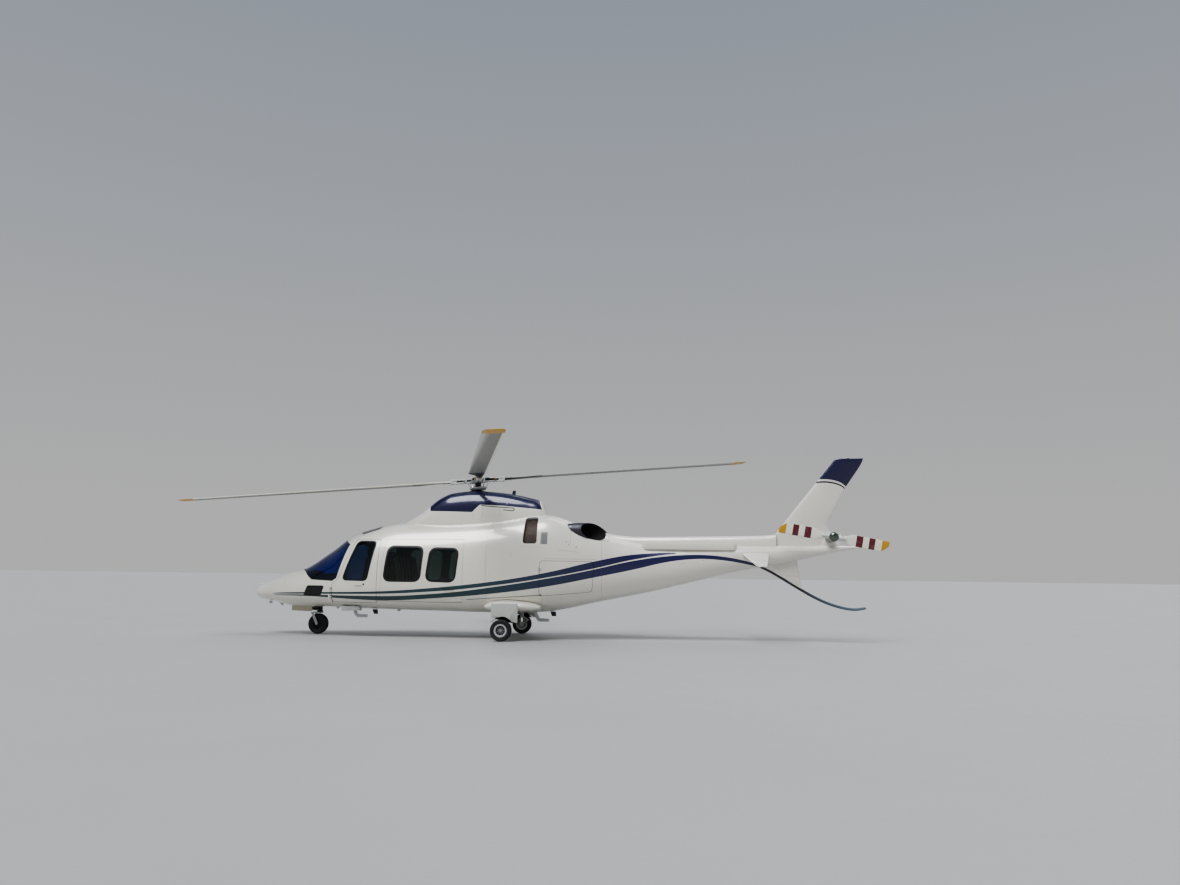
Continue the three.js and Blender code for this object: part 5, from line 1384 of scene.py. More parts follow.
def build_rotor_head():
    """Mast, swash plates, star-shaped hub, grips with their collars, dampers and pitch links."""
    m = rotor_place()
    mast = spun([(0, -0.385), (0.062, -0.385), (0.062, -0.2), (0.058, -0.19), (0.058, -0.06), (0.062, -0.055),
                 (0, -0.05)])
    boot = [(0, -0.382)] + [(0.066 + 0.012 * (i % 2), -0.38 + 0.014 * i) for i in range(13)] + [(0, -0.2)]
    lower = spun([(0.06, -0.185), (0.135, -0.185), (0.148, -0.182), (0.15, -0.17), (0.15, -0.163),
                  (0.06, -0.163)], wrap=True)
    upper = spun([(0.06, -0.161), (0.155, -0.161), (0.17, -0.158), (0.172, -0.15), (0.172, -0.142),
                  (0.165, -0.136), (0.1, -0.132), (0.06, -0.134)], wrap=True)
    angle = np.linspace(0, 2 * np.pi, 144, endpoint=False)
    lobes = 0.118 + 0.047 * (0.5 + 0.5 * np.cos(4 * angle)) ** 1.5
    star = np.stack([lobes * np.cos(angle), lobes * np.sin(angle)], 1)
    hub = plate(star, 0.088, (0, 0, -0.05), X, Y, 0.008)
    lid = spun([(0, 0.03), (0.088, 0.03), (0.094, 0.036), (0.094, 0.05), (0.088, 0.058), (0.06, 0.066),
                (0.052, 0.08), (0.045, 0.0845), (0, 0.085)])
    bolts = [spun([(0, 0.055), (0.009, 0.055), (0.009, 0.068), (0.007, 0.07), (0, 0.07)],
                  ring_place(0.074, 0, turn), steps=6) for turn in np.arange(12) * np.pi / 6]
    add_parts("rotor_mast", [(mast, "hub_black"), (spun(boot), "rubber"), (lower, "casting"),
                             (upper, "steel")], ["rotor_head"], "main_rotor", m)
    add_parts("rotor_hub", [(hub, "casting"), (lid, "hub_black"), (joined(*bolts), "steel")],
              (), "main_rotor", m)
    for k in range(4):
        m = rotor_place(k)
        r = np.array([0.125, 0.15, 0.26, 0.4, 0.5, 0.519])
        wide = np.array([0.045, 0.06, 0.052, 0.046, 0.05, 0.047])
        arms = []
        for z0, z1 in ((0.016, 0.042), (-0.042, -0.016)):
            rings = [np.stack([np.full(16, place), *(oblong(2 * w, z1 - z0, 0.008, 4).T)], 1)
                     + [0, 0, (z0 + z1) / 2] for place, w in zip(r, wide)]
            arms.append(tube(rings))
        bearing = spun([(0, 0.1), (0.036, 0.1), (0.04, 0.12), (0.04, 0.2), (0.03, 0.22), (0.026, 0.4),
                        (0, 0.41)], axis=X, steps=28)
        discs = [spun([(0.028, place), (0.044, place), (0.044, place + 0.006), (0.028, place + 0.006)],
                      (0, 0, 0), X, 28, True) for place in np.arange(0.13, 0.2, 0.012)]
        collar = tube([np.stack([np.full(32, place), *(oblong(0.118 * s, 0.1 * s, 0.02, 8).T)], 1)
                       for place, s in ((0.48, 0.92), (0.484, 1), (0.512, 1), (0.516, 0.92))])
        ram = bar(ring_place(0.228, 0.018, -0.43), ring_place(0.335, 0.012, -0.2), 0.02, edge=0.002)
        damper = joined(bar(ring_place(0.15, 0.018, -0.66), ring_place(0.235, 0.018, -0.42), 0.044,
                            edge=0.004), ram)
        eye = spun([(0, -0.02), (0.02, -0.02), (0.024, -0.016), (0.024, 0.016), (0.02, 0.02), (0, 0.02)],
                   ring_place(0.335, 0.012, -0.19), steps=20)
        foot = bar(ring_place(0.158, -0.158, 0.61), ring_place(0.166, -0.138, 0.59), 0.034, edge=0.004)
        top = bar(ring_place(0.256, -0.018, 0.43), ring_place(0.266, 0.008, 0.415), 0.034, edge=0.004)
        link = joined(bar(ring_place(0.158, -0.15, 0.6), ring_place(0.262, -0.004, 0.42), 0.02, edge=0.003),
                      foot, top)
        horn = bar(ring_place(0.262, 0.002, 0.42), ring_place(0.285, 0.002, 0.12), 0.034, 0.026, 0.004)
        pins = [spun([(0, -0.048), (0.012, -0.048), (0.012, 0.048), (0.008, 0.052), (0, 0.052)],
                     (place, side, 0), steps=16)
                for place, side in ((0.498, 0.028), (0.498, -0.028), (0.3, 0))]
        add_parts(f"rotor_grip_{k + 1}",
                  [(joined(*arms), "hub_white"), (bearing, "hub_black"), (joined(*discs), "rubber"),
                   (collar, "hub_white"), (horn, "casting"), (joined(*pins), "steel")], (),
                  "main_rotor", m)
        add_parts(f"rotor_damper_{k + 1}", [(damper, "hub_black"), (eye, "brass")], (),
                  "main_rotor", m)
        add_parts(f"pitch_link_{k + 1}", [(link, "chrome")], (), "main_rotor", m)


# Tail rotor blade in millimetres: distance from the hub, chord and thickness
TAIL_BLADE = np.array([
    [60, 90, 34], [150, 96, 32], [210, 110, 30], [270, 150, 27], [330, 200, 24], [600, 200, 19],
    [925, 200, 15], [955, 172, 13], [975, 122, 10],
]) / 1000


def build_tail_rotor():
    """Two banded blades, their roots and pitch horns, the polished hub, and the gearbox behind it."""
    m = (Matrix.Translation((TAIL_ROTOR["x"], TAIL_ROTOR["y"], TAIL_ROTOR["z"]))
         @ Matrix.Rotation(TAIL_ROTOR["turn"], 4, "Y"))
    span = np.concatenate([np.linspace(0.06, 0.36, 20), np.linspace(0.38, 0.92, 30),
                           np.linspace(0.925, 0.975, 12)])
    chord, thick = (loft_between(TAIL_BLADE, np.minimum(span, 0.92), key) for key in (1, 2))
    thick = thick * np.interp(span, [0.96, 0.972, 0.975], [1, 0.6, 0.2])
    cut = np.interp(span, [0.855, 0.975], [0, 0.105])
    along, across = aerofoil(chord / 2, cut - chord / 2, thick, 48)
    for number, way in ((1, 1), (2, -1)):
        rings = np.stack([np.broadcast_to(way * span[:, None], along.shape), across, way * along], -1)
        places, faces = tube(rings)
        thing = shown_mesh(f"tail_blade_{number}", *turned_by((places, faces), m), ["tail_blade"], sharp=50)
        attribute(thing, "span", np.abs(places[:, 0]))
        put(thing, ["tail_rotor"] if way > 0 else [], "tail_rotor_body")
        root = joined(bar((way * 0.05, -0.002, 0), (way * 0.215, -0.002, 0), 0.082, 0.046, 0.006, up=Z),
                      bar((way * 0.12, 0.02, 0.03), (way * 0.12, 0.05, 0.085), 0.018, edge=0.002))
        pins = [spun([(0, -0.029), (0.012, -0.029), (0.012, 0.026), (0, 0.026)], (way * r, 0, side), Y, 16)
                for r, side in ((0.165, 0.022), (0.165, -0.022), (0.205, 0))]
        add_parts(f"tail_root_{number}", [(root, "hub_white"), (joined(*pins), "steel")], (),
                  "tail_rotor_body", m)
    dome = spun([(0, -0.06), (0.07, -0.06), (0.08, -0.05), (0.086, 0.045), (0.083, 0.058), (0.072, 0.072),
                 (0.056, 0.083), (0.038, 0.09), (0.018, 0.0935), (0, 0.0945)], (0, 0, 0), (0, -1, 0), 48)
    shaft = spun([(0, -0.088), (0.032, -0.088), (0.032, -0.058), (0, -0.058)], (0, 0, 0), (0, -1, 0), 28)
    # The dome's green tint is a painted reflection.
    add_parts("tail_hub", [(dome, "hub_polish"), (shaft, "steel")], (), "tail_rotor_body", m)
    x, z = TAIL_ROTOR["x"], TAIL_ROTOR["z"]
    box = spun([(0, -0.05), (0.06, -0.05), (0.085, -0.02), (0.088, 0.03), (0.088, 0.12), (0.076, 0.14),
                (0.074, 0.24), (0.084, 0.255), (0.086, 0.27), (0.084, 0.285), (0.066, 0.3), (0.058, 0.345),
                (0.05, 0.358), (0, 0.3595)], (x, 0, z), (0, -1, 0), 48)
    ribs = [bar((x + 0.075 * math.cos(a), -0.13, z + 0.075 * math.sin(a)),
                (x + 0.078 * math.cos(a), -0.26, z + 0.078 * math.sin(a)), 0.012, 0.012, 0.002)
            for a in np.arange(8) * np.pi / 4]
    add_piece("tail_gearbox", joined(box, *ribs), "casting")


# Landing gear

# Gear fairing sections in millimetres: x, half width, half height and middle
SPONSON = np.array([
    [-352, 160, 30, 590], [-300, 216, 66, 594], [-180, 262, 94, 600], [40, 284, 106, 602],
    [300, 268, 92, 598], [520, 224, 68, 590], [650, 160, 30, 584],
]) / 1000
SPONSON_Y = 0.778
TYRE = 0.19
MAIN_WHEEL, NOSE_WHEEL = (0, 1.12), (-3.765, 0)
LEG_X, LEG_Y, NOSE_LEG_X = 0.02, 0.985, -3.745


def sponson_point(x, angle):
    """Superellipse section of the gear fairing on starboard: a cosine and a sine to the power 0.85."""
    wide, tall, middle = (monotone(SPONSON[:, 0], SPONSON[:, key], x) for key in (1, 2, 3))
    cosine, sine = np.cos(angle), np.sin(angle)
    return np.stack([x + 0 * angle, SPONSON_Y + wide * np.sign(cosine) * np.abs(cosine) ** 0.85,
                     middle + tall * np.sign(sine) * np.abs(sine) ** 0.85], -1)


def build_gear_fairings():
    """Fairings over the main legs, with the dark joint where they meet the body."""
    x = -0.351 + (1 - np.cos(np.linspace(0, np.pi, 72))) / 2 * 1.0
    angle = np.linspace(0, 2 * np.pi, 72, endpoint=False)
    rings = np.stack([sponson_point(place, angle) for place in x])
    middle = rings.mean(1, keepdims=True)
    for row, share, push in ((0, 0.5, -0.008), (1, 0.86, -0.004), (-1, 0.5, 0.008), (-2, 0.86, 0.004)):
        rings[row] = middle[row] + (rings[row] - middle[row]) * share + [push, 0, 0]
    whole = np.linspace(-np.pi, np.pi, 181)

    def joint(p):
        apart = np.abs(p[:, 1]) - body_side(p[:, 0], p[:, 2])
        return np.minimum(apart + 0.01, 0.012 - apart)
    band = trimmed(sponson_point, np.linspace(-0.352, 0.65, 130), whole, joint, 0.003, 0.0022)
    for name, sign in SIDES:
        add_piece(f"gear_fairing_skin_{name}", sided(tube(rings), sign), "pearl_plain",
                  [f"gear_fairing_{name}"])
        add_piece(f"gear_fairing_joint_{name}", sided(band[:2], sign), "rubber")


def tyre_shape(half):
    """Tyre about the y axis: sidewalls, a round shoulder and a tread with three grooves."""
    turn = np.linspace(0, np.pi / 2, 9)
    shoulder = np.stack([0.16 + 0.03 * np.sin(turn), -half * (0.4 + 0.6 * np.cos(turn))], 1)
    grooves = [[TYRE - depth, half * (place + offset)] for place in (-0.24, 0, 0.24)
               for offset, depth in ((-0.06, 0), (-0.045, 0.005), (0.045, 0.005), (0.06, 0))]
    wall = np.array([[0.1035, -0.7 * half], [0.115, -0.82 * half], [0.1155, -0.92 * half],
                     [0.128, -0.975 * half], [0.13, -0.968 * half], [0.134, -0.972 * half],
                     [0.136, -0.985 * half], [0.148, -half]])
    outer = np.concatenate([wall, shoulder, grooves, shoulder[::-1] * [1, -1], wall[::-1] * [1, -1]])
    return spun(outer, (0, 0, 0), Y, 72, True)


def rim_parts(half, light, dark):
    """Rim flanges, dark web, light spokes, hub and nuts of a wheel, about the y axis."""
    edge = 0.86 * half
    flange = [(0.083, -edge + 0.012), (0.09, -edge + 0.003), (0.1135, -edge), (0.1142, -edge + 0.005),
              (0.103, -edge + 0.014), (0.103, edge - 0.014), (0.1142, edge - 0.005), (0.1135, edge),
              (0.09, edge - 0.003), (0.083, edge - 0.012), (0.092, 0.03), (0.092, -0.03)]
    web = [(0.018, -0.026), (0.09, -0.022), (0.093, -0.02), (0.093, 0.02), (0.09, 0.022), (0.018, 0.026)]
    hub = [(0.0172, -0.0335), (0.03, -0.0335), (0.034, -0.03), (0.034, 0.03), (0.03, 0.0335),
           (0.0172, 0.0335)]
    spokes, nuts = [], []
    for side in (-1, 1):
        for turn in np.arange(9) * 2 * np.pi / 9:
            way = np.array([math.cos(turn), 0, math.sin(turn)])
            spokes.append(bar(way * 0.028 + [0, side * 0.028, 0], way * 0.095 + [0, side * 0.027, 0], 0.013,
                              0.009, 0.002, up=Y))
            away = np.array([math.cos(turn + 0.35), 0, math.sin(turn + 0.35)]) * 0.058
            nuts.append(spun([(0, 0.02), (0.0045, 0.02), (0.0045, 0.031), (0, 0.031)], away, (0, side, 0), 6))
    return [(spun(flange, (0, 0, 0), Y, 72, True), light), (spun(web, (0, 0, 0), Y, 72, True), "hub_black"),
            (joined(*spokes, spun(hub, (0, 0, 0), Y, 36, True)), dark), (joined(*nuts), dark)]


def build_wheels():
    """Grooved tyres on spoked rims."""
    places = [("wheel_left", (MAIN_WHEEL[0], -MAIN_WHEEL[1], TYRE), 0.068, "wheel_left_body"),
              ("wheel_right", (MAIN_WHEEL[0], MAIN_WHEEL[1], TYRE), 0.068, "wheel_right_body"),
              ("nose_wheel", (NOSE_WHEEL[0], 0, TYRE), 0.062, "nose_wheel_body")]
    for name, place, half, body in places:
        m = Matrix.Translation(place)
        # The nose wheel's rim is all black as painted shade under the nose; the main rims are grey.
        light, dark = ("hub_black", "hub_black") if name == "nose_wheel" else ("wheel_grey", "spoke_grey")
        parts = [(tyre_shape(half), "tyre"), *rim_parts(half, light, dark)]
        add_parts(f"{name}_dressed", parts, [name], body, m)


def gear_door_outline():
    """Side view of the door on the leg: straight edges and an arch round the tyre."""
    turn = np.radians(np.linspace(143, 33, 28))
    arch = np.stack([0.236 * np.cos(turn), TYRE + 0.236 * np.sin(turn)], 1)
    rest = rounded([[285, 325], [285, 655], [-190, 655], [-190, 332], [197, 318]], 12, 0.03)
    rest = rest[(rest[:, 1] > 0.5) | (rest[:, 0] > 0.2) | (rest[:, 0] < -0.185)]
    centre = np.array([0.05, 0.45])
    points = np.concatenate([arch, rest])
    order = np.argsort(np.arctan2(points[:, 1] - centre[1], points[:, 0] - centre[0]))
    return points[order]


def build_main_legs():
    """Main legs: cylinder, chrome piston, torque links, brake, hose, side strut, axle and door."""
    for name, sign in SIDES:
        x, y = LEG_X, LEG_Y
        cylinder = spun([(0, 0.318), (0.033, 0.318), (0.037, 0.322), (0.037, 0.345), (0.034, 0.35),
                         (0.034, 0.44), (0.036, 0.443), (0.036, 0.46), (0.034, 0.463), (0.034, 0.574),
                         (0, 0.574)], (x, y, 0))
        piston = spun([(0, 0.16), (0.0235, 0.16), (0.0235, 0.33), (0, 0.33)], (x, y, 0))
        foot = joined(spun([(0, 0.15), (0.028, 0.15), (0.033, 0.155), (0.033, 0.232), (0.028, 0.237),
                            (0, 0.237)], (x, y, 0)),
                      bar((x - 0.02, y, TYRE), (x - 0.02, 1.066, TYRE), 0.056, edge=0.004))
        axle = joined(bar((0, y, TYRE), (0, 1.158, TYRE), 0.032, edge=0.003),
                      bar((0, 1.15, TYRE), (0, 1.1598, TYRE), 0.044, edge=0.003, steps=6))
        arms = []
        for offset in (-0.02, 0.02):
            knee = (x + 0.125, y + offset * 0.3, 0.272)
            arms.append(bar((x + 0.03, y + offset, 0.335), knee, 0.016, 0.026, 0.003, up=Y))
            arms.append(bar(knee, (x + 0.03, y + offset, 0.205), 0.016, 0.026, 0.003, up=Y))
        links = joined(*arms,
                       bar((x + 0.125, y - 0.022, 0.272), (x + 0.125, y + 0.022, 0.272), 0.018, edge=0.002),
                       bar((x + 0.03, y - 0.034, 0.335), (x + 0.03, y + 0.034, 0.335), 0.02, edge=0.002),
                       bar((x + 0.03, y - 0.034, 0.205), (x + 0.03, y + 0.034, 0.205), 0.02, edge=0.002))
        brake = joined(spun([(0.017, 0), (0.074, 0), (0.076, 0.003), (0.076, 0.015), (0.074, 0.018),
                             (0.017, 0.018)], (0, 1.064, TYRE), Y, 48, True),
                       bar((-0.075, 1.045, TYRE + 0.02), (-0.075, 1.045, TYRE + 0.085), 0.036, 0.03, 0.004,
                           up=X))
        strut = joined(bar((x + 0.01, y - 0.02, 0.4), (x + 0.19, 0.83, 0.545), 0.03, edge=0.004),
                       bar((x - 0.02, y - 0.01, 0.47), (x - 0.2, 0.84, 0.56), 0.022, edge=0.003))
        bracket = joined(bar((x - 0.05, y + 0.02, 0.468), (x - 0.05, 1.079, 0.468), 0.018, 0.036, 0.003),
                         bar((x + 0.05, y + 0.02, 0.468), (x + 0.05, 1.079, 0.468), 0.018, 0.036, 0.003),
                         bar((x - 0.055, y + 0.02, 0.468), (x + 0.055, y + 0.02, 0.468), 0.02, 0.03, 0.003))
        t = np.linspace(0, 1, 24)
        hose = sweep(np.stack([-0.07 + 0.055 * t + 0.02 * np.sin(np.pi * t), 1.04 - 0.02 * t,
                               0.275 + 0.25 * t], 1), circle(0.004, 10))
        panel = plate(gear_door_outline(), 0.014, (0, 1.092, 0), X, Z, 0.004)
        ribs = joined(*[bar((x0, 1.0775, z0), (x1, 1.0775, z1), 0.006, 0.022, 0.0015, up=Y)
                        for x0, z0, x1, z1 in ((-0.15, 0.45, 0.25, 0.45), (-0.15, 0.62, 0.25, 0.62),
                                               (0.22, 0.38, 0.22, 0.62), (-0.14, 0.45, -0.14, 0.62))])
        add_parts(f"main_leg_dressed_{name}",
                  [(cylinder, "gear_grey"), (piston, "chrome"), (joined(foot, bracket), "gear_grey"),
                   (axle, "steel"), (links, "hub_white"), (brake, "casting"), (strut, "hub_white"),
                   (hose, "rubber")], [f"main_leg_{name}"], sign=sign)
        # The door panel's grey-green is painted shade with a painted green reflection on white paint.
        add_parts(f"main_gear_door_{name}", [(panel, "door_grey"), (ribs, "gear_grey")],
                  sign=sign)
        # Black sheet over the wheel well's opening: painted shade of the open well.
        well = plate(rounded([[-190, 870], [260, 870], [260, 1040], [-190, 1040]], 60, 0.03), 0.004,
                     (0, 0, 0.494), X, Y, 0.0012)
        add_piece(f"gear_well_{name}", sided(well, sign), "rubber")


def build_nose_gear():
    """Nose leg with its steering ring, light and doors, and the fork with its axle."""
    x = NOSE_LEG_X
    cylinder = spun([(0, 0.4105), (0.05, 0.4105), (0.056, 0.415), (0.056, 0.432), (0.05, 0.437),
                     (0.046, 0.45), (0.046, 0.52), (0.052, 0.525), (0.052, 0.56), (0, 0.56)], (x, 0, 0))
    pump = joined(*[bar((x - 0.02, side * 0.062, 0.47), (x - 0.115, side * 0.05, 0.47), 0.026, edge=0.003)
                    for side in (-1, 1)])
    brace = joined(*[bar((x - 0.01, side * 0.035, 0.44), (x - 0.2, side * 0.05, 0.545), 0.022, edge=0.003)
                     for side in (-1, 1)])
    light = joined(spun([(0, -0.03), (0.026, -0.026), (0.034, -0.008), (0.036, 0.01), (0.034, 0.014),
                         (0, 0.014)], (x - 0.135, 0, 0.5), (-1, 0, 0), 28),
                   bar((x - 0.1, 0, 0.5), (x - 0.03, 0, 0.5), 0.016, edge=0.002))
    lens = spun([(0, 0.0125), (0.031, 0.0125), (0.031, 0.016), (0.02, 0.021), (0, 0.023)],
                (x - 0.135, 0, 0.5), (-1, 0, 0), 28)
    doors = []
    for _, sign in SIDES:
        side = rounded([[-4240, 438], [-3845, 424], [-3845, 560], [-4240, 600]], 18, 0.03)
        panel = plate(side, 0.012, (0, 0.171, 0), X, Z, 0.004)
        hinges = joined(*[bar((hinge, 0.13, 0.545), (hinge, 0.165, 0.5), 0.014, edge=0.002)
                          for hinge in (-4.12, -3.95)])
        # The doors' khaki is painted shade with a painted green reflection.
        doors += [(sided(panel, sign), "door_khaki"), (sided(hinges, sign), "gear_grey")]
    # The leg's cylinder and pump are black as painted shade under the nose.
    add_parts("nose_leg_dressed", [(cylinder, "hub_black"), (pump, "hub_black"), (brace, "spoke_grey"),
                                   (light, "hub_black"), (lens, "clear_lens")], ["nose_leg"])
    add_parts("nose_gear_doors", doors)
    # Black sheet over the nose wheel well: painted shade of the open well.
    well = plate(rounded([[-4240, -150], [-3660, -150], [-3660, 150], [-4240, 150]], 50, 0.03), 0.003,
                 (0, 0, 0.5155), X, Y, 0.001)
    add_piece("nose_gear_well", well, "rubber")
    top = plate(rounded([[-3895, -94], [-3695, -94], [-3695, 94], [-3895, 94]], 45, 0.02), 0.0178,
                (0, 0, 0.392), X, Y, 0.004)
    arms = []
    for _, sign in SIDES:
        arm = plate(rounded([[-3895, 408], [-3842, 408], [-3742, 200], [-3752, 166], [-3786, 166],
                             [-3800, 200]], 14, 0.02), 0.02, (0, 0.094, 0), X, Z, 0.005)
        arms.append(sided(arm, sign))
    axle = joined(bar((NOSE_WHEEL[0], -0.0965, TYRE), (NOSE_WHEEL[0], 0.0965, TYRE), 0.032, edge=0.003),
                  *[bar((NOSE_WHEEL[0], side * 0.0935, TYRE), (NOSE_WHEEL[0], side * 0.1035, TYRE), 0.046,
                        edge=0.003, steps=6) for side in (-1, 1)])
    swivel = spun([(0, 0.386), (0.04, 0.386), (0.046, 0.39), (0.046, 0.4095), (0, 0.4095)], (x, 0, 0))
    add_parts("nose_fork_dressed", [(joined(top, *arms), "gear_grey"), (axle, "steel"),
                                    (swivel, "casting")], ["nose_fork"], "steering")


# Engines' outlets and inlets

def build_exhausts():
    """Exhaust ducts cut slantwise, dark inside, with the turbine's end far in."""
    def surface(x, angle, grow=0, share=1.0):
        y, z, wide, tall = (monotone(EXHAUST[:, 0], EXHAUST[:, k], x) for k in (1, 2, 3, 4))
        return np.stack([x, y + share * (wide + grow) * np.cos(angle),
                         z + share * (tall + grow) * np.sin(angle)], -1)

    def short(p):
        slant = np.stack([p[:, 0] + MOUTH_LEAN * (p[:, 2] - 1.955), p[:, 1]], 1)
        return -inside(slant, EXHAUST_MOUTH)

    def buried(p):
        return body_side(p[:, 0], p[:, 2]) - np.abs(p[:, 1]) + 0.002
    round_way = np.linspace(-np.pi, np.pi, 73)
    duct = trimmed(surface, np.linspace(1.06, 1.8, 50), round_way, short, 0.012)
    bed = trimmed(lambda x, angle: surface(x, angle, 0.006), np.linspace(1.28, 1.8515, 40), round_way, buried,
                  0.005)
    stop = trimmed(lambda share, angle: surface(np.full_like(share, 1.851), angle, 0.001, share),
                   np.linspace(0.02, 1, 24), round_way, buried, 0.004)
    end = spun([(0, -0.004), (0.118, -0.004), (0.118, 0.004), (0.06, 0.012), (0.02, 0.05), (0, 0.055)],
               (1.08, 0.372, 1.99), X, 48)
    vanes = [bar((1.088, 0.372 + 0.03 * math.cos(a), 1.99 + 0.03 * math.sin(a)),
                 (1.088, 0.372 + 0.112 * math.cos(a), 1.99 + 0.112 * math.sin(a)), 0.02, 0.004, 0.001)
             for a in np.arange(14) * 2 * np.pi / 14]
    for name, sign in SIDES:
        shape = sided(duct[:2], sign)
        thing = shown_mesh(f"exhaust_duct_{name}", *shape, ["exhaust", "soot", "exhaust"], duct[3])
        put(thing, [f"exhaust_{name}"])
        for label, trough in (("bed", bed), ("stop", stop)):
            shape = sided(trough[:2], sign)
            thing = shown_mesh(f"exhaust_{label}_{name}", *shape, "pearl_plain", trough[3])
            put(thing)
        add_parts(f"turbine_end_{name}", [(sided(end, sign), "soot"),
                                          (sided(joined(*vanes), sign), "exhaust")])


def patch(name, keep, x0, x1, sign, material, inset=0, wall=0.003, proud=0, low=-0.2, high=1.5, step=0.012):
    """A piece of the fuselage's skin in one material, drawn in or pushed out."""
    skin = body_skin(x0, x1, keep, wall, proud, side_angles(sign, low, high, 76), inset, step)
    return add_skin(name, skin, material)


def on_side(x, z, sign, out=0):
    """Places on the fuselage's side at x and z, pushed out square to it."""
    x, z = (np.asarray(v, float) for v in np.broadcast_arrays(x, z))
    step = 0.002
    slope_x = (body_side(x + step, z) - body_side(x - step, z)) / (2 * step)
    slope_z = (body_side(x, z + step) - body_side(x, z - step)) / (2 * step)
    normal = unit(np.stack([-slope_x, np.ones(x.shape), -slope_z], -1))
    return (np.stack([x, body_side(x, z), z], -1) + normal * np.asarray(out)[..., None]) * [1, sign, 1]


def build_inlets():
    """Mesh behind each intake slot, and the grey louvre behind it."""
    for name, sign in SIDES:
        slot_in = outlined(INTAKE, 60, 0.02, sign)
        # Dark brown sheet deep behind the mesh: brown of the intake, darkened as painted shade of its inside.
        patch(f"intake_floor_{name}", lambda p: np.minimum(slot_in(p), np.abs(p[:, 1]) - 0.34), 0.24, 0.6,
              sign, "mesh_brown", 0.085, 0.003, 0, 0.3, 1.45)
        wires = []
        for x in np.arange(0.298, 0.542, 0.021):
            z = np.linspace(1.735, 2.215, 24)
            points = on_side(x, z, sign, -0.045)
            wires.append(sweep(points[np.abs(points[:, 1]) > 0.43], circle(0.0022, 6), up=X))
        for z in np.arange(1.735, 2.21, 0.021):
            points = on_side(np.linspace(0.295, 0.54, 8), z, sign, -0.045)
            if np.abs(points[:, 1]).min() > 0.43:
                wires.append(sweep(points, circle(0.0022, 6)))
        add_piece(f"intake_mesh_{name}", joined(*wires), "mesh_wire")
        vent = outlined([[614, 1717], [738, 1717], [738, 1937], [614, 1937]], 8, 0, sign)
        patch(f"louvre_plate_{name}", vent, 0.59, 0.76, sign, "louvre", 0, 0.003, 0.0015, 0.4, 1.3)
        slats = [sweep(on_side(np.linspace(0.626, 0.726, 8), z, sign, 0.0022), oblong(0.0045, 0.006, 0.001))
                 for z in np.arange(1.73, 1.927, 0.0125)]
        add_piece(f"louvre_slats_{name}", joined(*slats), "louvre")


# Fittings on the outside

# Joints as x and z of both ends; bolts as x, z and radius in millimetres; rivets as x and z
PANEL_LINES = [
    ([-0.38, -0.37], [1.7, 0.55]), ([0.645, 0.64], [0.755, 0.49]), ([1.15, 1.15], [1.7, 2.06]),
    ([0.93, 1.3], [1.62, 1.58]), ([-4.28, -4.3], [0.92, 1.05]), ([0.68, 1.62], [1.455, 1.455]),
    ([1.705, 1.72], [1.86, 0.72]), ([0.24, 0.62], [1.665, 1.665]), ([-0.362, -0.366], [1.955, 2.04]),
    ([-0.31, -0.302], [1.947, 2.04]),
]
BOLTS = [(1.021, 1.773, 5), (1.075, 1.761, 9), (1.121, 1.721, 9), (1.257, 1.674, 10), (0.099, 1.511, 6),
         (3.17, 1.39, 7), (3.22, 1.398, 7), (3.565, 1.464, 7), (3.615, 1.47, 7), (-1.131, 2.061, 8),
         (-0.937, 2.072, 8), (-0.353, 2.064, 7), (-0.18, 2.072, 7)]
CAP_RIVETS = [(-0.656, 2.582), (-0.454, 2.544), (-0.087, 2.472)]
FLANK_LINES = [((-0.536, 2.41), (-0.54, 2.2)), ((-0.205, 2.4), (-0.206, 2.24)),
               ((-0.719, 2.3), (-0.706, 2.17)), ((-0.858, 2.498), (-0.778, 2.612))]


def on_pylon(x, z, out=0):
    """Places on the pylon's starboard flank at x and z."""
    x, z = np.asarray(x, float), np.asarray(z, float)
    half, top = (monotone(PYLON[:, 0], PYLON[:, k], x) for k in (1, 2))
    share = np.clip((z - 1.95) / (top - 1.95), 0, 1)
    return np.stack([x, half * (1 - share ** 3.2) ** (1 / 3.2) + out, z], -1)


def build_panel_lines():
    """Thin dark joints between the skins' panels."""
    for name, sign in SIDES:
        lines = []
        for (x0, x1), (z0, z1) in PANEL_LINES:
            points = on_side(np.linspace(x0, x1, 24), np.linspace(z0, z1, 24), sign, 0.0002)
            up = Z if abs(x1 - x0) > abs(z1 - z0) else X
            lines.append(sweep(points, circle(0.0014, 6), up=up))
        for (x0, z0), (x1, z1) in FLANK_LINES:
            path = on_pylon(np.linspace(x0, x1, 12), np.linspace(z0, z1, 12), 0.0003) * [1, sign, 1]
            lines.append(sweep(path, circle(0.0016, 6), up=X))
        add_piece(f"panel_lines_{name}", joined(*lines), "joint")
        bolts = [spun([(0, 0), (size / 1000, 0), (size / 1000, 0.0012), (size / 1600, 0.002), (0, 0.002)],
                      on_side([x], [z], sign, -0.0006)[0], on_side([x], [z], sign, 1.0)[0]
                      - on_side([x], [z], sign)[0], 14) for x, z, size in BOLTS]
        add_piece(f"skin_bolts_{name}", joined(*bolts), "rubber")
        rivets = [spun([(0, -0.003), (0.011, -0.003), (0.01, 0.002), (0.005, 0.005), (0, 0.005)],
                       on_pylon([x], [z])[0] * [1, sign, 1], (0, sign, 0.25), 18) for x, z in CAP_RIVETS]
        add_piece(f"cap_rivets_{name}", joined(*rivets), "steel")


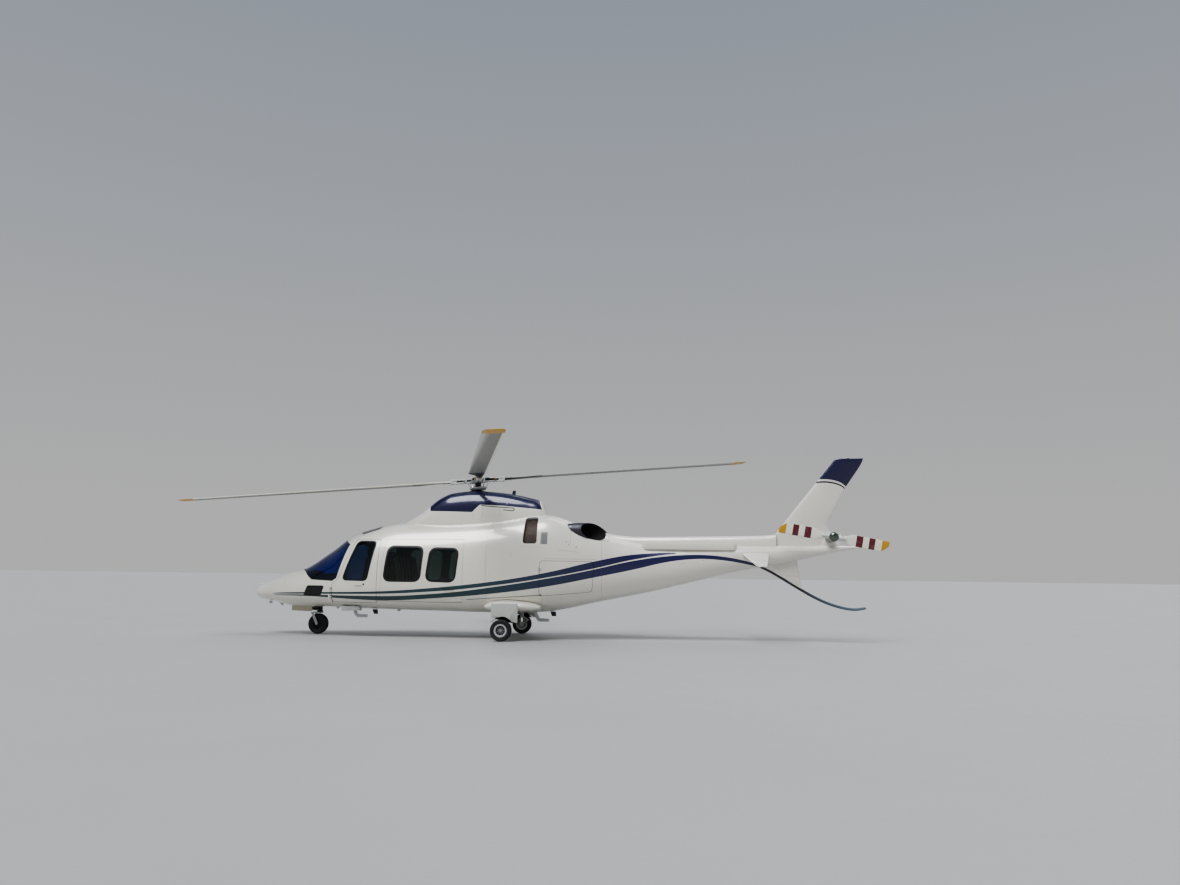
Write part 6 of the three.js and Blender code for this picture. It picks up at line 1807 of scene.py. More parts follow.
def build_door_fittings():
    """Handles, key plates, sliding rails drawn black with their painted shadow, hinges and the seals behind
    the cockpit doors' gaps.
    """
    for name, sign in SIDES:
        handle = [sweep(on_side(np.linspace(x0, x1, count), 0.938, sign, out), oblong(*section))
                  for x0, x1, count, out, section in ((-2.8, -2.69, 10, 0.004, (0.016, 0.01, 0.003)),
                                                      (-2.815, -2.675, 8, 0.0006, (0.03, 0.003, 0.001)))]
        add_piece(f"cockpit_handle_{name}", joined(*handle), "steel", body=f"door_{name}")
        hub = on_side([-2.645], [0.955], sign, -0.001)[0]
        key = spun([(0, 0), (0.017, 0), (0.017, 0.003), (0.013, 0.005), (0, 0.005)], hub, (0, sign, 0), 24)
        add_piece(f"cockpit_lock_{name}", key, "hub_black", body=f"door_{name}")
        pull = [sweep(on_side(np.linspace(-1.12, -0.98, 10), 0.885, sign, 0.004), oblong(0.02, 0.01, 0.003)),
                sweep(on_side(np.linspace(-1.15, -0.95, 8), 0.885, sign, 0.0006), oblong(0.04, 0.003, 0.001))]
        add_piece(f"cabin_handle_{name}", joined(*pull), "hub_black")
        # The sliding rail is a black strip: the silver rail and the shadow beneath it, painted as one dark
        # piece.
        x = np.linspace(-0.72, 0.63, 60)
        z = 0.705 + (x + 0.72) * 0.07
        swell = np.interp(x, [-0.72, 0, 0.6, 0.63], [0.3, 0.6, 1.0, 0.8])
        rail = sweep(on_side(x, z, sign, 0.001), oblong(0.02, 0.008, 0.002),
                     np.stack([swell, np.ones(60)], 1))
        end = spun([(0, -0.002), (0.013, -0.002), (0.013, 0.004), (0, 0.006)],
                   on_side([0.632], [0.8], sign)[0], (0, sign, 0), 20)
        add_piece(f"door_rail_shadow_{name}", joined(rail, end), "rubber")
        sill_x = np.linspace(-2.42, -0.8, 50)
        sill = joined(
            sweep(on_side(sill_x, 0.658 - 0.011 * (sill_x + 2.4), sign, 0.0005), oblong(0.01, 0.004, 0.001),
                  np.stack([np.interp(sill_x, [-2.4, -1.2, -0.8], [0.5, 0.8, 1.6]), np.ones(50)], 1)),
            sweep(on_side(np.linspace(-3.281, -3.276, 8), np.linspace(0.695, 0.6, 8), sign, 0.0005),
                  oblong(0.012, 0.004, 0.001), up=X),
            sweep(on_side(np.linspace(-1.735, -1.7, 6), np.linspace(0.75, 0.722, 6), sign, 0.001),
                  oblong(0.014, 0.006, 0.002), up=X))
        cover = sweep(on_side(np.linspace(-1.07, -0.82, 12), np.linspace(0.684, 0.68, 12), sign, 0.002),
                      oblong(0.04, 0.008, 0.003))
        add_piece(f"rail_cover_{name}", cover, "steel")
        add_piece(f"sill_line_{name}", sill, "joint")
        hole = outlined(COCKPIT_DOOR, 40, 0, sign)
        ring = body_skin(-3.32, -2.36, lambda p: np.minimum(hole(p) + 0.016, 0.012 - hole(p)), 0.006, 0,
                         side_angles(sign, -1.3, 1.4, 150), 0.026, 0.014)
        add_skin(f"cockpit_door_rubber_{name}", ring, "rubber")
        lean = math.tan(math.radians(2.5))
        barrels, lugs = [], []
        for z in (0.725, 0.9):
            top = [-3.302, sign * (0.726 - (z + 0.03 - 0.86) * lean), z + 0.03]
            middle = [-3.302, sign * (0.726 - (z - 0.03 - 0.86) * lean), z - 0.03]
            low = [-3.302, sign * (0.726 - (z - 0.06 - 0.86) * lean), z - 0.06]
            barrels.append(bar(middle, top, 0.023, edge=0.002))
            barrels.append(bar((-3.262, sign * 0.716, z), (-3.298, sign * 0.722, z), 0.01, 0.046, 0.002,
                               up=(0, sign, 0)))
            lugs.append(bar(low, [middle[0], middle[1], middle[2] - 0.0006], 0.023, edge=0.002))
        add_piece(f"cockpit_hinge_{name}", joined(*barrels), "pearl_plain", body=f"door_{name}")
        add_piece(f"cockpit_hinge_lugs_{name}", joined(*lugs), "pearl_plain")
    barrels, lugs = [], []
    for z in (0.9, 1.29):
        barrels.append(bar((0.588, -0.776, z - 0.03), (0.588, -0.776, z + 0.03), 0.019, edge=0.002))
        barrels.append(bar((0.592, -0.774, z), (0.628, -0.766, z), 0.008, 0.044, 0.002, up=Y))
        lugs.append(bar((0.588, -0.776, z - 0.06), (0.588, -0.776, z - 0.0306), 0.019, edge=0.002))
    add_piece("baggage_hinge", joined(*barrels), "pearl_plain", body="baggage_lid")
    add_piece("baggage_hinge_lugs", joined(*lugs), "pearl_plain")
    ring = baggage_outline(0)
    rubber = body_skin(0.56, BAY_REAR, lambda p: np.minimum(ring(p) + 0.014, 0.01 - ring(p)), 0.005, 0,
                       side_angles(-1, -1.3, 1.2, 160), 0.026, 0.014)
    add_skin("baggage_rubber", rubber, "rubber")


def blade_antenna(x, y, z, length, height, rake, thick=0.014, down=True):
    """Swept blade aerial: a flat aerofoil that narrows and leans back away from its foot."""
    t = np.linspace(0, 1, 14)
    lead = -length / 2 + rake * t ** 1.4
    trail = length / 2 + rake * 0.35 * t
    along, across = aerofoil(lead, trail, thick * np.sqrt(1 - 0.96 * t ** 3), 28)
    rise = (-1 if down else 1) * height * t
    rings = np.stack([x + along, y + across, z + np.broadcast_to(rise[:, None], along.shape)], -1)
    return tube(rings[:, ::-1] if down else rings)


def dome(x, y, z, radius, height, up=1, steps=28):
    """Low round blister."""
    t = np.linspace(0, np.pi / 2, 9)
    profile = [(0, 0)] + [(radius * math.cos(a), height * math.sin(a)) for a in t[:-1]] + [(0, height)]
    return spun(profile, (x, y, z), (0, 0, up), steps)


def build_aerials():
    """Aerials, air-data probes, beacons, position lights and roof blisters."""
    lower = [blade_antenna(-2.56, -0.3, 0.488, 0.1, 0.085, 0.035),
             blade_antenna(0.8, -0.2, 0.495, 0.1, 0.085, 0.03)]
    add_piece("belly_aerials", joined(*lower), "hub_black")
    small = [blade_antenna(*sizes) for sizes in (
        (-4.7, -0.1, 0.612, 0.07, 0.05, 0.02, 0.01), (-4.58, 0.08, 0.594, 0.06, 0.045, 0.02, 0.01),
        (-4.46, -0.12, 0.568, 0.05, 0.04, 0.015, 0.008))]
    add_piece("nose_aerials", joined(*small), "gear_grey")
    bumps = [dome(-2.1, -0.3, 0.483, 0.035, 0.018, -1), dome(-3.3, -0.25, 0.506, 0.03, 0.016, -1)]
    add_piece("belly_bumps", joined(*bumps), "hub_black")
    add_piece("cap_aerial", blade_antenna(-0.03, 0, 2.674, 0.07, 0.085, 0.02, 0.012, False), "cap_blue")
    tops = [dome(-2.87, 0, 1.955, 0.045, 0.035), dome(-2.36, 0, 2.088, 0.05, 0.03),
            dome(-3.99, 0, 1.228, 0.02, 0.03)]
    add_piece("roof_blisters", joined(*tops), "hub_white")
    probes = []
    for side, height in ((-1, 0.868), (1, 0.905)):
        y = side * 0.115
        probes.append(bar((-4.9, y * 0.97, height - 0.02), (-4.945, y, height + 0.022), 0.012, edge=0.002))
        probes.append(sweep([(-4.935, y, height + 0.02), (-4.96, y, height + 0.022),
                             (-5.0, y, height + 0.021), (-5.075, y, height + 0.018),
                             (-5.085, y, height + 0.0175)], circle(0.0085, 16), [0.8, 1, 0.95, 0.7, 0.45]))
    add_piece("air_probes", joined(*probes), "hub_white")
    add_piece("beacon", dome(6.27, 0, 3.379, 0.03, 0.012), "red_lens")
    for name, sign in SIDES:
        foot = sided(blade_antenna(4.512, 1.418, 1.353, 0.075, 0.012, 0, 0.022, False), sign)
        add_piece(f"position_light_{name}", foot, "clear_lens")
    tail_light = dome(6.488, 0, 1.732, 0.012, 0.01, 1)
    add_piece("tail_light", tail_light, "clear_lens")
    slot_x = np.linspace(-0.57, 0.04, 40)
    slot_z = 2.438 - 0.075 * (slot_x + 0.57)
    turn = np.linspace(np.pi / 2, -np.pi / 2, 9)[1:-1]
    slot_x = np.concatenate([slot_x, slot_x[-1] + 0.018 * np.cos(turn), slot_x[::-1][:13]])
    slot_z = np.concatenate([slot_z, slot_z[39] - 0.024 + 0.024 * np.sin(turn), slot_z[::-1][:13] - 0.048])
    loop = on_pylon(slot_x, slot_z, -0.001)
    for name, sign in SIDES:
        add_piece(f"cap_latch_{name}", sided(sweep(loop, oblong(0.017, 0.006, 0.002), up=Y), sign), "rubber")


def step_shape(x, z, length, drop, y):
    """Bent boarding step with softened edges and a ribbed tread."""
    start, corner, end = np.array([[x + 0.035, z], [x + 0.135, z - drop + 0.014],
                                   [x + length, z - drop + 0.014]])
    t = np.linspace(0, 1, 12)[:, None]
    near, far = corner + (start - corner) * 0.2, corner + (end - corner) * 0.2
    turn = near * (1 - t) ** 2 + 2 * corner * t * (1 - t) + far * t ** 2
    bend = np.concatenate([start + (near - start) * t[:-1], turn, far + (end - far) * t[1:]])
    body = sweep(np.stack([bend[:, 0], np.full(len(bend), y), bend[:, 1]], 1), oblong(0.06, 0.024, 0.006, 5),
                 up=Y)
    ribs = [bar((x + 0.17 + k * 0.022, y - 0.026, z - drop + 0.0262),
                (x + 0.17 + k * 0.022, y + 0.026, z - drop + 0.0262), 0.006, 0.003, 0.001) for k in range(7)]
    return body, joined(*ribs)


def build_steps():
    """Boarding steps on port, below the cockpit door and the baggage door."""
    body, ribs = step_shape(-2.96, 0.59, 0.335, 0.228, 0.52)
    box = plate(rounded([[-3106, 464], [-2762, 470], [-2762, 548], [-3106, 552]], 8, 0.03), 0.14,
                (0, 0.59, 0), X, Z, 0.004)
    add_parts("cabin_step", [(body, "step"), (ribs, "rubber"), (box, "gear_grey")], sign=-1)
    body, ribs = step_shape(0.44, 0.566, 0.33, 0.228, 0.5)
    add_parts("bay_step", [(body, "step"), (ribs, "rubber")], sign=-1)


# Inside

# Name, front edge, way it faces, side places and width
SEATS = [("pilot_seat_left", -2.99, 1, (-0.355,), 0.42), ("pilot_seat_right", -2.99, 1, (0.355,), 0.42),
         ("cabin_seat_front", -1.64, -1, (-0.42, 0, 0.42), 0.41),
         ("cabin_seat_rear", -0.93, 1, (-0.42, 0, 0.42), 0.41)]
SEAT_BACK_LEAN = math.radians(9)


def block_shape(length, width, height, count=40):
    """Rounded block: a superellipse section round x, drawn in towards both ends by the same law."""
    t = np.sin(np.linspace(-1, 1, count) * np.pi / 2) * 0.999
    end = (1 - np.abs(t) ** 7) ** (1 / 7)
    angle = np.linspace(0, 2 * np.pi, 64, endpoint=False)
    cosine, sine = np.cos(angle), np.sin(angle)
    across = np.sign(cosine) * np.abs(cosine) ** 0.3
    lift = np.sign(sine) * np.abs(sine) ** 0.3
    return tube(np.stack([np.broadcast_to((t * length / 2)[:, None], (count, 64)),
                          width / 2 * end[:, None] * across, height / 2 * end[:, None] * lift], -1))


def puffed(shape, voxel, limit):
    """A block blown up as cloth under pressure, with no point moved further than limit."""
    scene = bpy.context.scene
    thing = shown_mesh("cushion_form", *shape, [])
    grain = thing.modifiers.new("remesh", "REMESH")
    grain.mode, grain.voxel_size = "VOXEL", voxel
    thing.data = bpy.data.meshes.new_from_object(thing.evaluated_get(bpy.context.evaluated_depsgraph_get()))
    thing.modifiers.clear()
    start = mesh_places(thing.data)
    cloth = thing.modifiers.new("cloth", "CLOTH")
    cloth.settings.use_pressure = True
    cloth.settings.uniform_pressure_force = 4
    cloth.settings.effector_weights.gravity = 0
    for step in range(1, 21):
        scene.frame_set(step)
    shown = thing.evaluated_get(bpy.context.evaluated_depsgraph_get())
    moved = mesh_places(shown.data) - start
    far = np.linalg.norm(moved, axis=1, keepdims=True)
    places = start + moved * np.minimum(1, limit / np.maximum(far, 1e-9))
    corners = np.empty(len(thing.data.loops), np.int32)
    thing.data.loops.foreach_get("vertex_index", corners)
    sizes = np.empty(len(thing.data.polygons), np.int32)
    thing.data.polygons.foreach_get("loop_total", sizes)
    first = np.concatenate([[0], np.cumsum(sizes)[:-1]])
    faces = [corners[first[sizes == n][:, None] + np.arange(n)] for n in (3, 4) if (sizes == n).any()]
    scene.frame_set(1)
    bpy.data.objects.remove(thing)
    places[:, 0] -= AXLE_X
    return places, faces


def mesh_places(mesh):
    """Vertex places of a mesh as an array."""
    flat = np.empty(len(mesh.vertices) * 3, np.float32)
    mesh.vertices.foreach_get("co", flat)
    return flat.reshape(-1, 3).astype(float)


def sewn(shape, length, width, channels=2):
    """Presses sewn channels along the block and a seam round its upper face."""
    places, faces = shape
    places = places.copy()
    x, y, z = places.T
    groove = np.zeros(len(places))
    for place in np.linspace(-width / 2, width / 2, channels + 2)[1:-1]:
        groove = np.maximum(groove, np.exp(-((y - place) / 0.006) ** 2))
    edge = np.minimum(length / 2 - np.abs(x), width / 2 - np.abs(y)) - 0.03
    groove = np.maximum(groove * (edge > -0.004), np.exp(-(edge / 0.006) ** 2))
    places[:, 2] -= 0.009 * groove * np.clip(z / 0.03, 0, 1)
    return places, faces


def seat_frame(front, way, y, width):
    """Padded pedestal, back board and feet rails of one seat place."""
    side = rounded([[front * 1000 + way * 30, 640], [front * 1000 + way * 60, 602],
                    [front * 1000 + way * 440, 602], [front * 1000 + way * 480, 860],
                    [front * 1000 + way * 20, 870]], 25, 0.03)
    box = plate(side, width - 0.03, (0, y + (width - 0.03) / 2, 0), X, Z, 0.01)
    x = front + way * 0.505
    board = bar((x - way * 0.045, y, 0.9), (x + way * 0.022, y, 1.5), width - 0.04, 0.022, 0.008,
                up=(way, 0, 0))
    return box, board


def build_seats():
    """Pilot seats and the two cabin rows: puffed leather cushions on their frames, with belts."""
    base = sewn(puffed(block_shape(0.35, 0.385, 0.095), 0.011, 0.014), 0.37, 0.4)
    back = sewn(puffed(block_shape(0.5, 0.375, 0.075), 0.011, 0.012), 0.52, 0.39)
    head = puffed(block_shape(0.12, 0.24, 0.07), 0.009, 0.01)
    for name, front, way, places, width in SEATS:
        for number, y in enumerate(places, 1):
            label = name if len(places) == 1 else f"{name}_{number}"
            box, board = seat_frame(front, way, y, width)
            nodes = [name] if number == 1 else []
            add_parts(f"{label}_frame", [(box, "panel_plastic"), (board, "panel_plastic")],
                      nodes)
            turn = Matrix.Identity(4) if way > 0 else Matrix.Rotation(math.pi, 4, "Z")
            m = Matrix.Translation((front + way * 0.205, y, 0.925)) @ turn @ Matrix.Rotation(
                math.radians(2.5), 4, "Y")
            cushion = add_piece(f"{label}_base", turned_by(base, m), "seat_leather", sharp=70)
            tall = Matrix.Translation((front + way * 0.445, y, 1.245)) @ turn @ Matrix.Rotation(
                -math.pi / 2 + SEAT_BACK_LEAN, 4, "Y")
            cushion = add_piece(f"{label}_back", turned_by(back, tall), "seat_leather",
                                sharp=70)
            top = Matrix.Translation((front + way * 0.492, y, 1.515 if len(places) == 1 else 1.46)) @ turn @ (
                Matrix.Rotation(-math.pi / 2 + SEAT_BACK_LEAN, 4, "Y"))
            if len(places) == 1:
                cushion = add_piece(f"{label}_head", turned_by(head, top), "seat_leather",
                                    sharp=70)
            straps = []
            for side in (-1, 1):
                t = np.linspace(0, 1, 20)
                x = front + way * (0.36 + 0.075 * t - 0.012 * np.sin(np.pi * t))
                straps.append(sweep(np.stack([x, y + side * (0.11 - 0.02 * t), 1.01 + 0.46 * t], 1),
                                    oblong(0.045, 0.002, 0.0008), up=(-way, 0, 0)))
            lap = np.linspace(-1, 1, 24)
            straps.append(sweep(np.stack([front + way * (0.33 - 0.04 * (1 - lap ** 2)),
                                          y + lap * width * 0.44, 0.992 + 0.012 * (1 - lap ** 2)], 1),
                                oblong(0.002, 0.045, 0.0008), up=Z))
            buckle = bar((front + way * 0.285, y - 0.03, 1.012), (front + way * 0.285, y + 0.03, 1.012), 0.05,
                         0.014, 0.003)
            add_parts(f"{label}_belts", [(joined(*straps), "belt"), (buckle, "steel")])


def build_cockpit():
    """Instrument panel with screens and hood, console, sticks, pedals and grab handles."""
    side = rounded([[-3560, 880], [-3400, 880], [-3430, 1140], [-3600, 1118]], 22, 0.03)
    panel = plate(side, 0.98, (0, 0.49, 0), X, Z, 0.012)
    hood = plate(rounded([[-3590, 1122], [-3408, 1136], [-3404, 1146], [-3590, 1134]], 5, 0.02), 1.0,
                 (0, 0.5, 0), X, Z, 0.003)
    across, rise = Y, (-0.11, 0, 1)
    face = np.array([-3.4045, 0, 0.905])
    screens, rims = [], []
    for y in (-0.36, -0.14, 0.14, 0.36):
        ring = rounded([[y * 1000 - 88, 30], [y * 1000 + 88, 30], [y * 1000 + 88, 205], [y * 1000 - 88, 205]],
                       8, 0.02)
        rims.append(plate(ring, 0.008, face - [0.004, 0, 0], across, rise, 0.002))
        glass = rounded([[y * 1000 - 76, 42], [y * 1000 + 76, 42], [y * 1000 + 76, 193],
                         [y * 1000 - 76, 193]], 5, 0.02)
        screens.append(plate(glass, 0.002, face + [0.0035, 0, 0], across, rise, 0.0006))
    knobs = [spun([(0, 0), (0.008, 0), (0.008, 0.01), (0.006, 0.012), (0, 0.012)],
                  face + [0, y, 0.012], (1, 0, 0.1), 16) for y in np.linspace(-0.45, 0.45, 16)]
    console = plate(rounded([[-3555, 602], [-3125, 602], [-3140, 862], [-3390, 898], [-3555, 898]], 18, 0.03),
                    0.21, (0, 0.105, 0), X, Z, 0.008)
    radios = [bar((x, -0.085, 0.885 - (x + 3.38) * 0.14), (x, 0.085, 0.885 - (x + 3.38) * 0.14), 0.05, 0.012,
                  0.002, up=(0.14, 0, 1)) for x in np.arange(-3.36, -3.15, 0.058)]
    add_parts("panel_dressed", [(panel, "panel_black"), (hood, "lining"),
                                (joined(*rims), "panel_plastic"), (joined(*screens), "screen"),
                                (joined(*knobs), "hub_black"), (console, "panel_plastic"),
                                (joined(*radios), "panel_black")], ["instrument_panel"])
    controls, grips = [], []
    for y in (-0.355, 0.355):
        t = np.linspace(0, 1, 16)
        controls.append(sweep(np.stack([-3.13 + 0.05 * np.sin(np.pi * t), np.full(16, y), 0.602 + 0.3 * t],
                                       1), circle(0.012, 14)))
        grips.append(sweep([(-3.128, y, 0.895), (-3.122, y, 0.93), (-3.112, y, 0.97), (-3.108, y, 0.995)],
                           circle(0.019, 16), [0.8, 1, 1.05, 0.6]))
        controls.append(bar((-2.72, y - 0.245, 0.64), (-2.99, y - 0.245, 0.8), 0.022, edge=0.003))
        grips.append(bar((-2.975, y - 0.245, 0.791), (-3.06, y - 0.245, 0.842), 0.034, edge=0.005))
        for side in (-0.09, 0.09):
            controls.append(bar((-3.3, y + side, 0.602), (-3.33, y + side, 0.72), 0.014, edge=0.002))
            grips.append(bar((-3.332, y + side - 0.035, 0.725), (-3.332, y + side + 0.035, 0.725), 0.05,
                             0.012, 0.002, up=(0.5, 0, 1)))
    add_parts("pilot_controls", [(joined(*controls), "steel"), (joined(*grips), "hub_black")])
    for name, sign in SIDES:
        t = np.linspace(0, np.pi, 20)
        handles = [sweep(on_side(x, z + 0.055 * np.cos(t), sign, -0.06 - 0.03 * np.sin(t)), circle(0.011, 12),
                         up=X) for x, z in ((-3.135, 1.335), (-3.075, 1.5))]
        add_piece(f"grab_handles_{name}", joined(*handles), "hub_white")


def build_machinery():
    """Engines with pipes and mounts, the gearbox casing below the mast, and the bulkhead's trim."""
    parts, pipes = [], []
    for sign in (-1, 1):
        profile = [(0, 0), (0.07, 0), (0.078, 0.01), (0.078, 0.1), (0.102, 0.13), (0.125, 0.15),
                   (0.125, 0.19), (0.118, 0.2), (0.118, 0.42), (0.13, 0.43), (0.13, 0.47), (0.118, 0.48),
                   (0.112, 0.7), (0.126, 0.72), (0.126, 0.76), (0.105, 0.79), (0.1, 0.98), (0.092, 1.05),
                   (0, 1.06)]
        parts.append(spun(profile, (-0.11, sign * 0.265, 1.8), X, 40))
        for x in (0.1, 0.62):
            parts.append(bar((x, sign * 0.265, 1.605), (x, sign * 0.265, 1.7), 0.05, 0.2, 0.006, up=Y))
        for turn in (0.6, 1.3, 2.2):
            y, z = sign * 0.265 + 0.125 * math.cos(turn), 1.8 + 0.125 * math.sin(turn)
            t = np.linspace(0, 1, 20)
            pipes.append(sweep(np.stack([0.05 + 0.72 * t, y + 0.006 * np.sin(9 * t),
                                         z + 0.004 * np.cos(7 * t)], 1), circle(0.007, 10)))
    add_parts("engines_dressed", [(joined(*parts), "casting"), (joined(*pipes), "steel")],
              ["engines"])
    lean = Matrix.Translation((ROTOR["x"], 0, ROTOR["z"])) @ Matrix.Rotation(-ROTOR["tilt"], 4, "Y")
    tower = turned_by(spun([(0, -0.62), (0.16, -0.62), (0.165, -0.6), (0.15, -0.59), (0.128, -0.52),
                            (0.11, -0.47), (0.108, -0.42), (0.118, -0.415), (0.118, -0.395), (0, -0.3855)]),
                      lean)
    case = spun([(0, 2.087), (0.215, 2.087), (0.225, 2.1), (0.225, 2.13), (0.205, 2.14), (0.19, 2.24),
                 (0.215, 2.26), (0.215, 2.29), (0.19, 2.3), (0.17, 2.42), (0.15, 2.44), (0, 2.45)],
                (-0.7, 0, 0), steps=56)
    bolts = [spun([(0, 2.29), (0.008, 2.29), (0.008, 2.302), (0, 2.302)],
                  (-0.7 + 0.203 * math.cos(a), 0.203 * math.sin(a), 0), steps=6)
             for a in np.arange(16) * np.pi / 8]
    feet = [bar((-0.7 + 0.15 * a, 0.14 * b, 2.2), (-0.7 + 0.245 * a, 0.225 * b, 2.092), 0.05, 0.03, 0.005)
            for a in (-1, 1) for b in (-1, 1)]
    add_parts("gearbox_dressed", [(joined(case, tower, *feet), "casting"), (joined(*bolts), "steel")],
              ["main_gearbox"])
    ring = body_point(-0.36, np.linspace(0, 2 * np.pi, 96, endpoint=False), 0.046)[:, 1:]
    wall = plate(ring, 0.018, (-0.379, 0, 0), Y, Z, 0.004)
    quilt = [sweep(np.stack([np.full(20, -0.3805), np.full(20, y), np.linspace(0.65, 1.95, 20)], 1),
                   circle(0.003, 6), up=X) for y in (-0.45, -0.15, 0.15, 0.45)]
    add_parts("bulkhead_trim", [(wall, "lining"), (joined(*quilt), "belt")], ["rear_bulkhead"])


# Stage

def sun_light(name, way, power, spread):
    """Soft light from a far way, its angle of spread in degrees."""
    data = bpy.data.lights.new(name, "SUN")
    data.energy, data.angle = power, math.radians(spread)
    light = bpy.data.objects.new(name, data)
    light.location = Vector(way) * 10
    light.rotation_euler = Vector(way).to_track_quat("Z", "Y").to_euler()
    bpy.context.scene.collection.objects.link(light)
    return light


CAMERA = {"place": (2.57, -16.784, 1.172), "lens": 27.03, "azimuth": math.radians(5.4),
          "pitch": math.atan(132.5 / 886), "roll": math.radians(0.69)}


def build_stage():
    """Floor, soft lights, pale surroundings and the camera at the photograph's angle."""
    scene = bpy.context.scene
    size = scene.helicopter_sizes.floor
    grid = np.linspace(-size / 2, size / 2, 9)
    x, y = (g.ravel() for g in np.meshgrid(grid, grid))
    floor = shown_mesh("floor", np.stack([x, y, np.full(len(x), -0.001)], 1), [grid_faces(9, 9)], ["floor"])
    sun_light("key", (-0.33, -0.6, 1.2), 2.7, 36)
    sun_light("back", (0.5, 0.8, 1.0), 0.8, 50)
    world = bpy.data.worlds.new("surroundings")
    world.use_nodes = True
    tree = world.node_tree
    up = tree_node(tree, "ShaderNodeSeparateXYZ",
                   {0: tree.nodes.new("ShaderNodeTexCoord").outputs["Generated"]})
    sky = ramp(tree, mapped(tree, up.outputs[2], -0.2, 0.7), [
        (0, (0.78, 0.78, 0.77, 1)), (0.3, (0.8, 0.8, 0.8, 1)), (0.6, (0.62, 0.65, 0.7, 1)),
        (1.0, (0.42, 0.48, 0.58, 1))])
    tree.links.new(sky, tree.nodes["Background"].inputs["Color"])
    tree.nodes["Background"].inputs["Strength"].default_value = 0.55
    scene.world = world
    scene.view_settings.view_transform = "AgX"
    scene.view_settings.look = "AgX - Medium High Contrast"
    a, p, roll = CAMERA["azimuth"], CAMERA["pitch"], CAMERA["roll"]
    level = Vector((math.cos(a), math.sin(a), 0))
    forward = Vector((-math.sin(a) * math.cos(p), math.cos(a) * math.cos(p), math.sin(p)))
    above = level.cross(forward)
    right = math.cos(roll) * level + math.sin(roll) * above
    up_way = -math.sin(roll) * level + math.cos(roll) * above
    data = bpy.data.cameras.new("camera")
    data.lens, data.sensor_width = CAMERA["lens"], 36
    camera = bpy.data.objects.new("camera", data)
    camera.matrix_world = Matrix((right, up_way, -forward)).transposed().to_4x4()
    camera.location = CAMERA["place"]
    scene.collection.objects.link(camera)
    scene.camera = camera


# Add-on

class HelicopterPaint(bpy.types.PropertyGroup):
    """Colours of the machine"""
    pearl: bpy.props.FloatVectorProperty(
        name="Pearl", description="Main body paint", size=3, subtype="COLOR",
        default=(0.8, 0.775, 0.7))
    band_front_green_reflection: bpy.props.FloatVectorProperty(
        # Teal of the side bands near the nose: navy paint with a painted green reflection.
        name="Band front", description="Side bands near the nose", size=3, subtype="COLOR",
        default=(0.002, 0.036, 0.046))
    band_rear: bpy.props.FloatVectorProperty(
        name="Band rear", description="Side bands along the boom", size=3, subtype="COLOR",
        default=(0.002, 0.001, 0.065))
    cap_blue: bpy.props.FloatVectorProperty(
        name="Cap", description="Pylon cap and fin top", size=3, subtype="COLOR",
        default=(0.002, 0.001, 0.045))
    windshield: bpy.props.FloatVectorProperty(
        name="Windshield", description="Windshield tint", size=3, subtype="COLOR",
        default=(0.05, 0.11, 0.42))
    window: bpy.props.FloatVectorProperty(
        name="Window", description="Side window tint", size=3, subtype="COLOR",
        default=(0.17, 0.23, 0.205))
    blade: bpy.props.FloatVectorProperty(
        name="Blade", description="Main rotor blades", size=3, subtype="COLOR",
        default=(0.62, 0.62, 0.6))
    # Grey of the blades' lower faces: painted shade.
    blade_under_painted_shade: bpy.props.FloatVectorProperty(
        name="Blade underside", description="Lower faces of the main rotor blades", size=3, subtype="COLOR",
        default=(0.17, 0.17, 0.17))
    blade_tip: bpy.props.FloatVectorProperty(
        name="Blade tip", description="Blade tips", size=3, subtype="COLOR",
        default=(0.52, 0.28, 0.015))
    tail_red: bpy.props.FloatVectorProperty(
        name="Tail red", description="Tail rotor bands", size=3, subtype="COLOR",
        default=(0.11, 0.006, 0.014))
    dust: bpy.props.FloatVectorProperty(
        name="Dust", description="Settled dust", size=3, subtype="COLOR",
        default=(0.32, 0.29, 0.24))


class HelicopterSizes(bpy.types.PropertyGroup):
    """Sizes that can be changed"""
    floor: bpy.props.FloatProperty(
        name="Floor", description="Side of the stage floor", default=900.0, min=20, unit="LENGTH")


class HELICOPTER_OT_nose(bpy.types.Operator):
    """Nose cone and nose section with the chin windows"""
    bl_idname = "helicopter.nose"
    bl_label = "Nose"

    def execute(self, context):
        build_nose()
        return {"FINISHED"}


class HELICOPTER_OT_cabin_shell(bpy.types.Operator):
    """Belly, sides and roof of the cabin"""
    bl_idname = "helicopter.cabin_shell"
    bl_label = "Cabin walls"

    def execute(self, context):
        build_belly()
        build_sides()
        build_roof()
        return {"FINISHED"}


class HELICOPTER_OT_windshields(bpy.types.Operator):
    """Windshield panes with their borders"""
    bl_idname = "helicopter.windshields"
    bl_label = "Windshields"

    def execute(self, context):
        build_windshields()
        return {"FINISHED"}


class HELICOPTER_OT_doors(bpy.types.Operator):
    """Cockpit and cabin doors with their windows"""
    bl_idname = "helicopter.doors"
    bl_label = "Doors"

    def execute(self, context):
        build_doors()
        return {"FINISHED"}


class HELICOPTER_OT_aft(bpy.types.Operator):
    """Aft fuselage, baggage door and engine cowls"""
    bl_idname = "helicopter.aft"
    bl_label = "Aft fuselage"

    def execute(self, context):
        build_aft()
        build_bay()
        build_cowls()
        return {"FINISHED"}


class HELICOPTER_OT_tail(bpy.types.Operator):
    """Tail boom with its drive cover"""
    bl_idname = "helicopter.tail"
    bl_label = "Tail boom"

    def execute(self, context):
        build_boom()
        return {"FINISHED"}


class HELICOPTER_OT_pylon(bpy.types.Operator):
    """Rotor pylon with its blue cap"""
    bl_idname = "helicopter.pylon"
    bl_label = "Pylon"

    def execute(self, context):
        build_pylon()
        return {"FINISHED"}


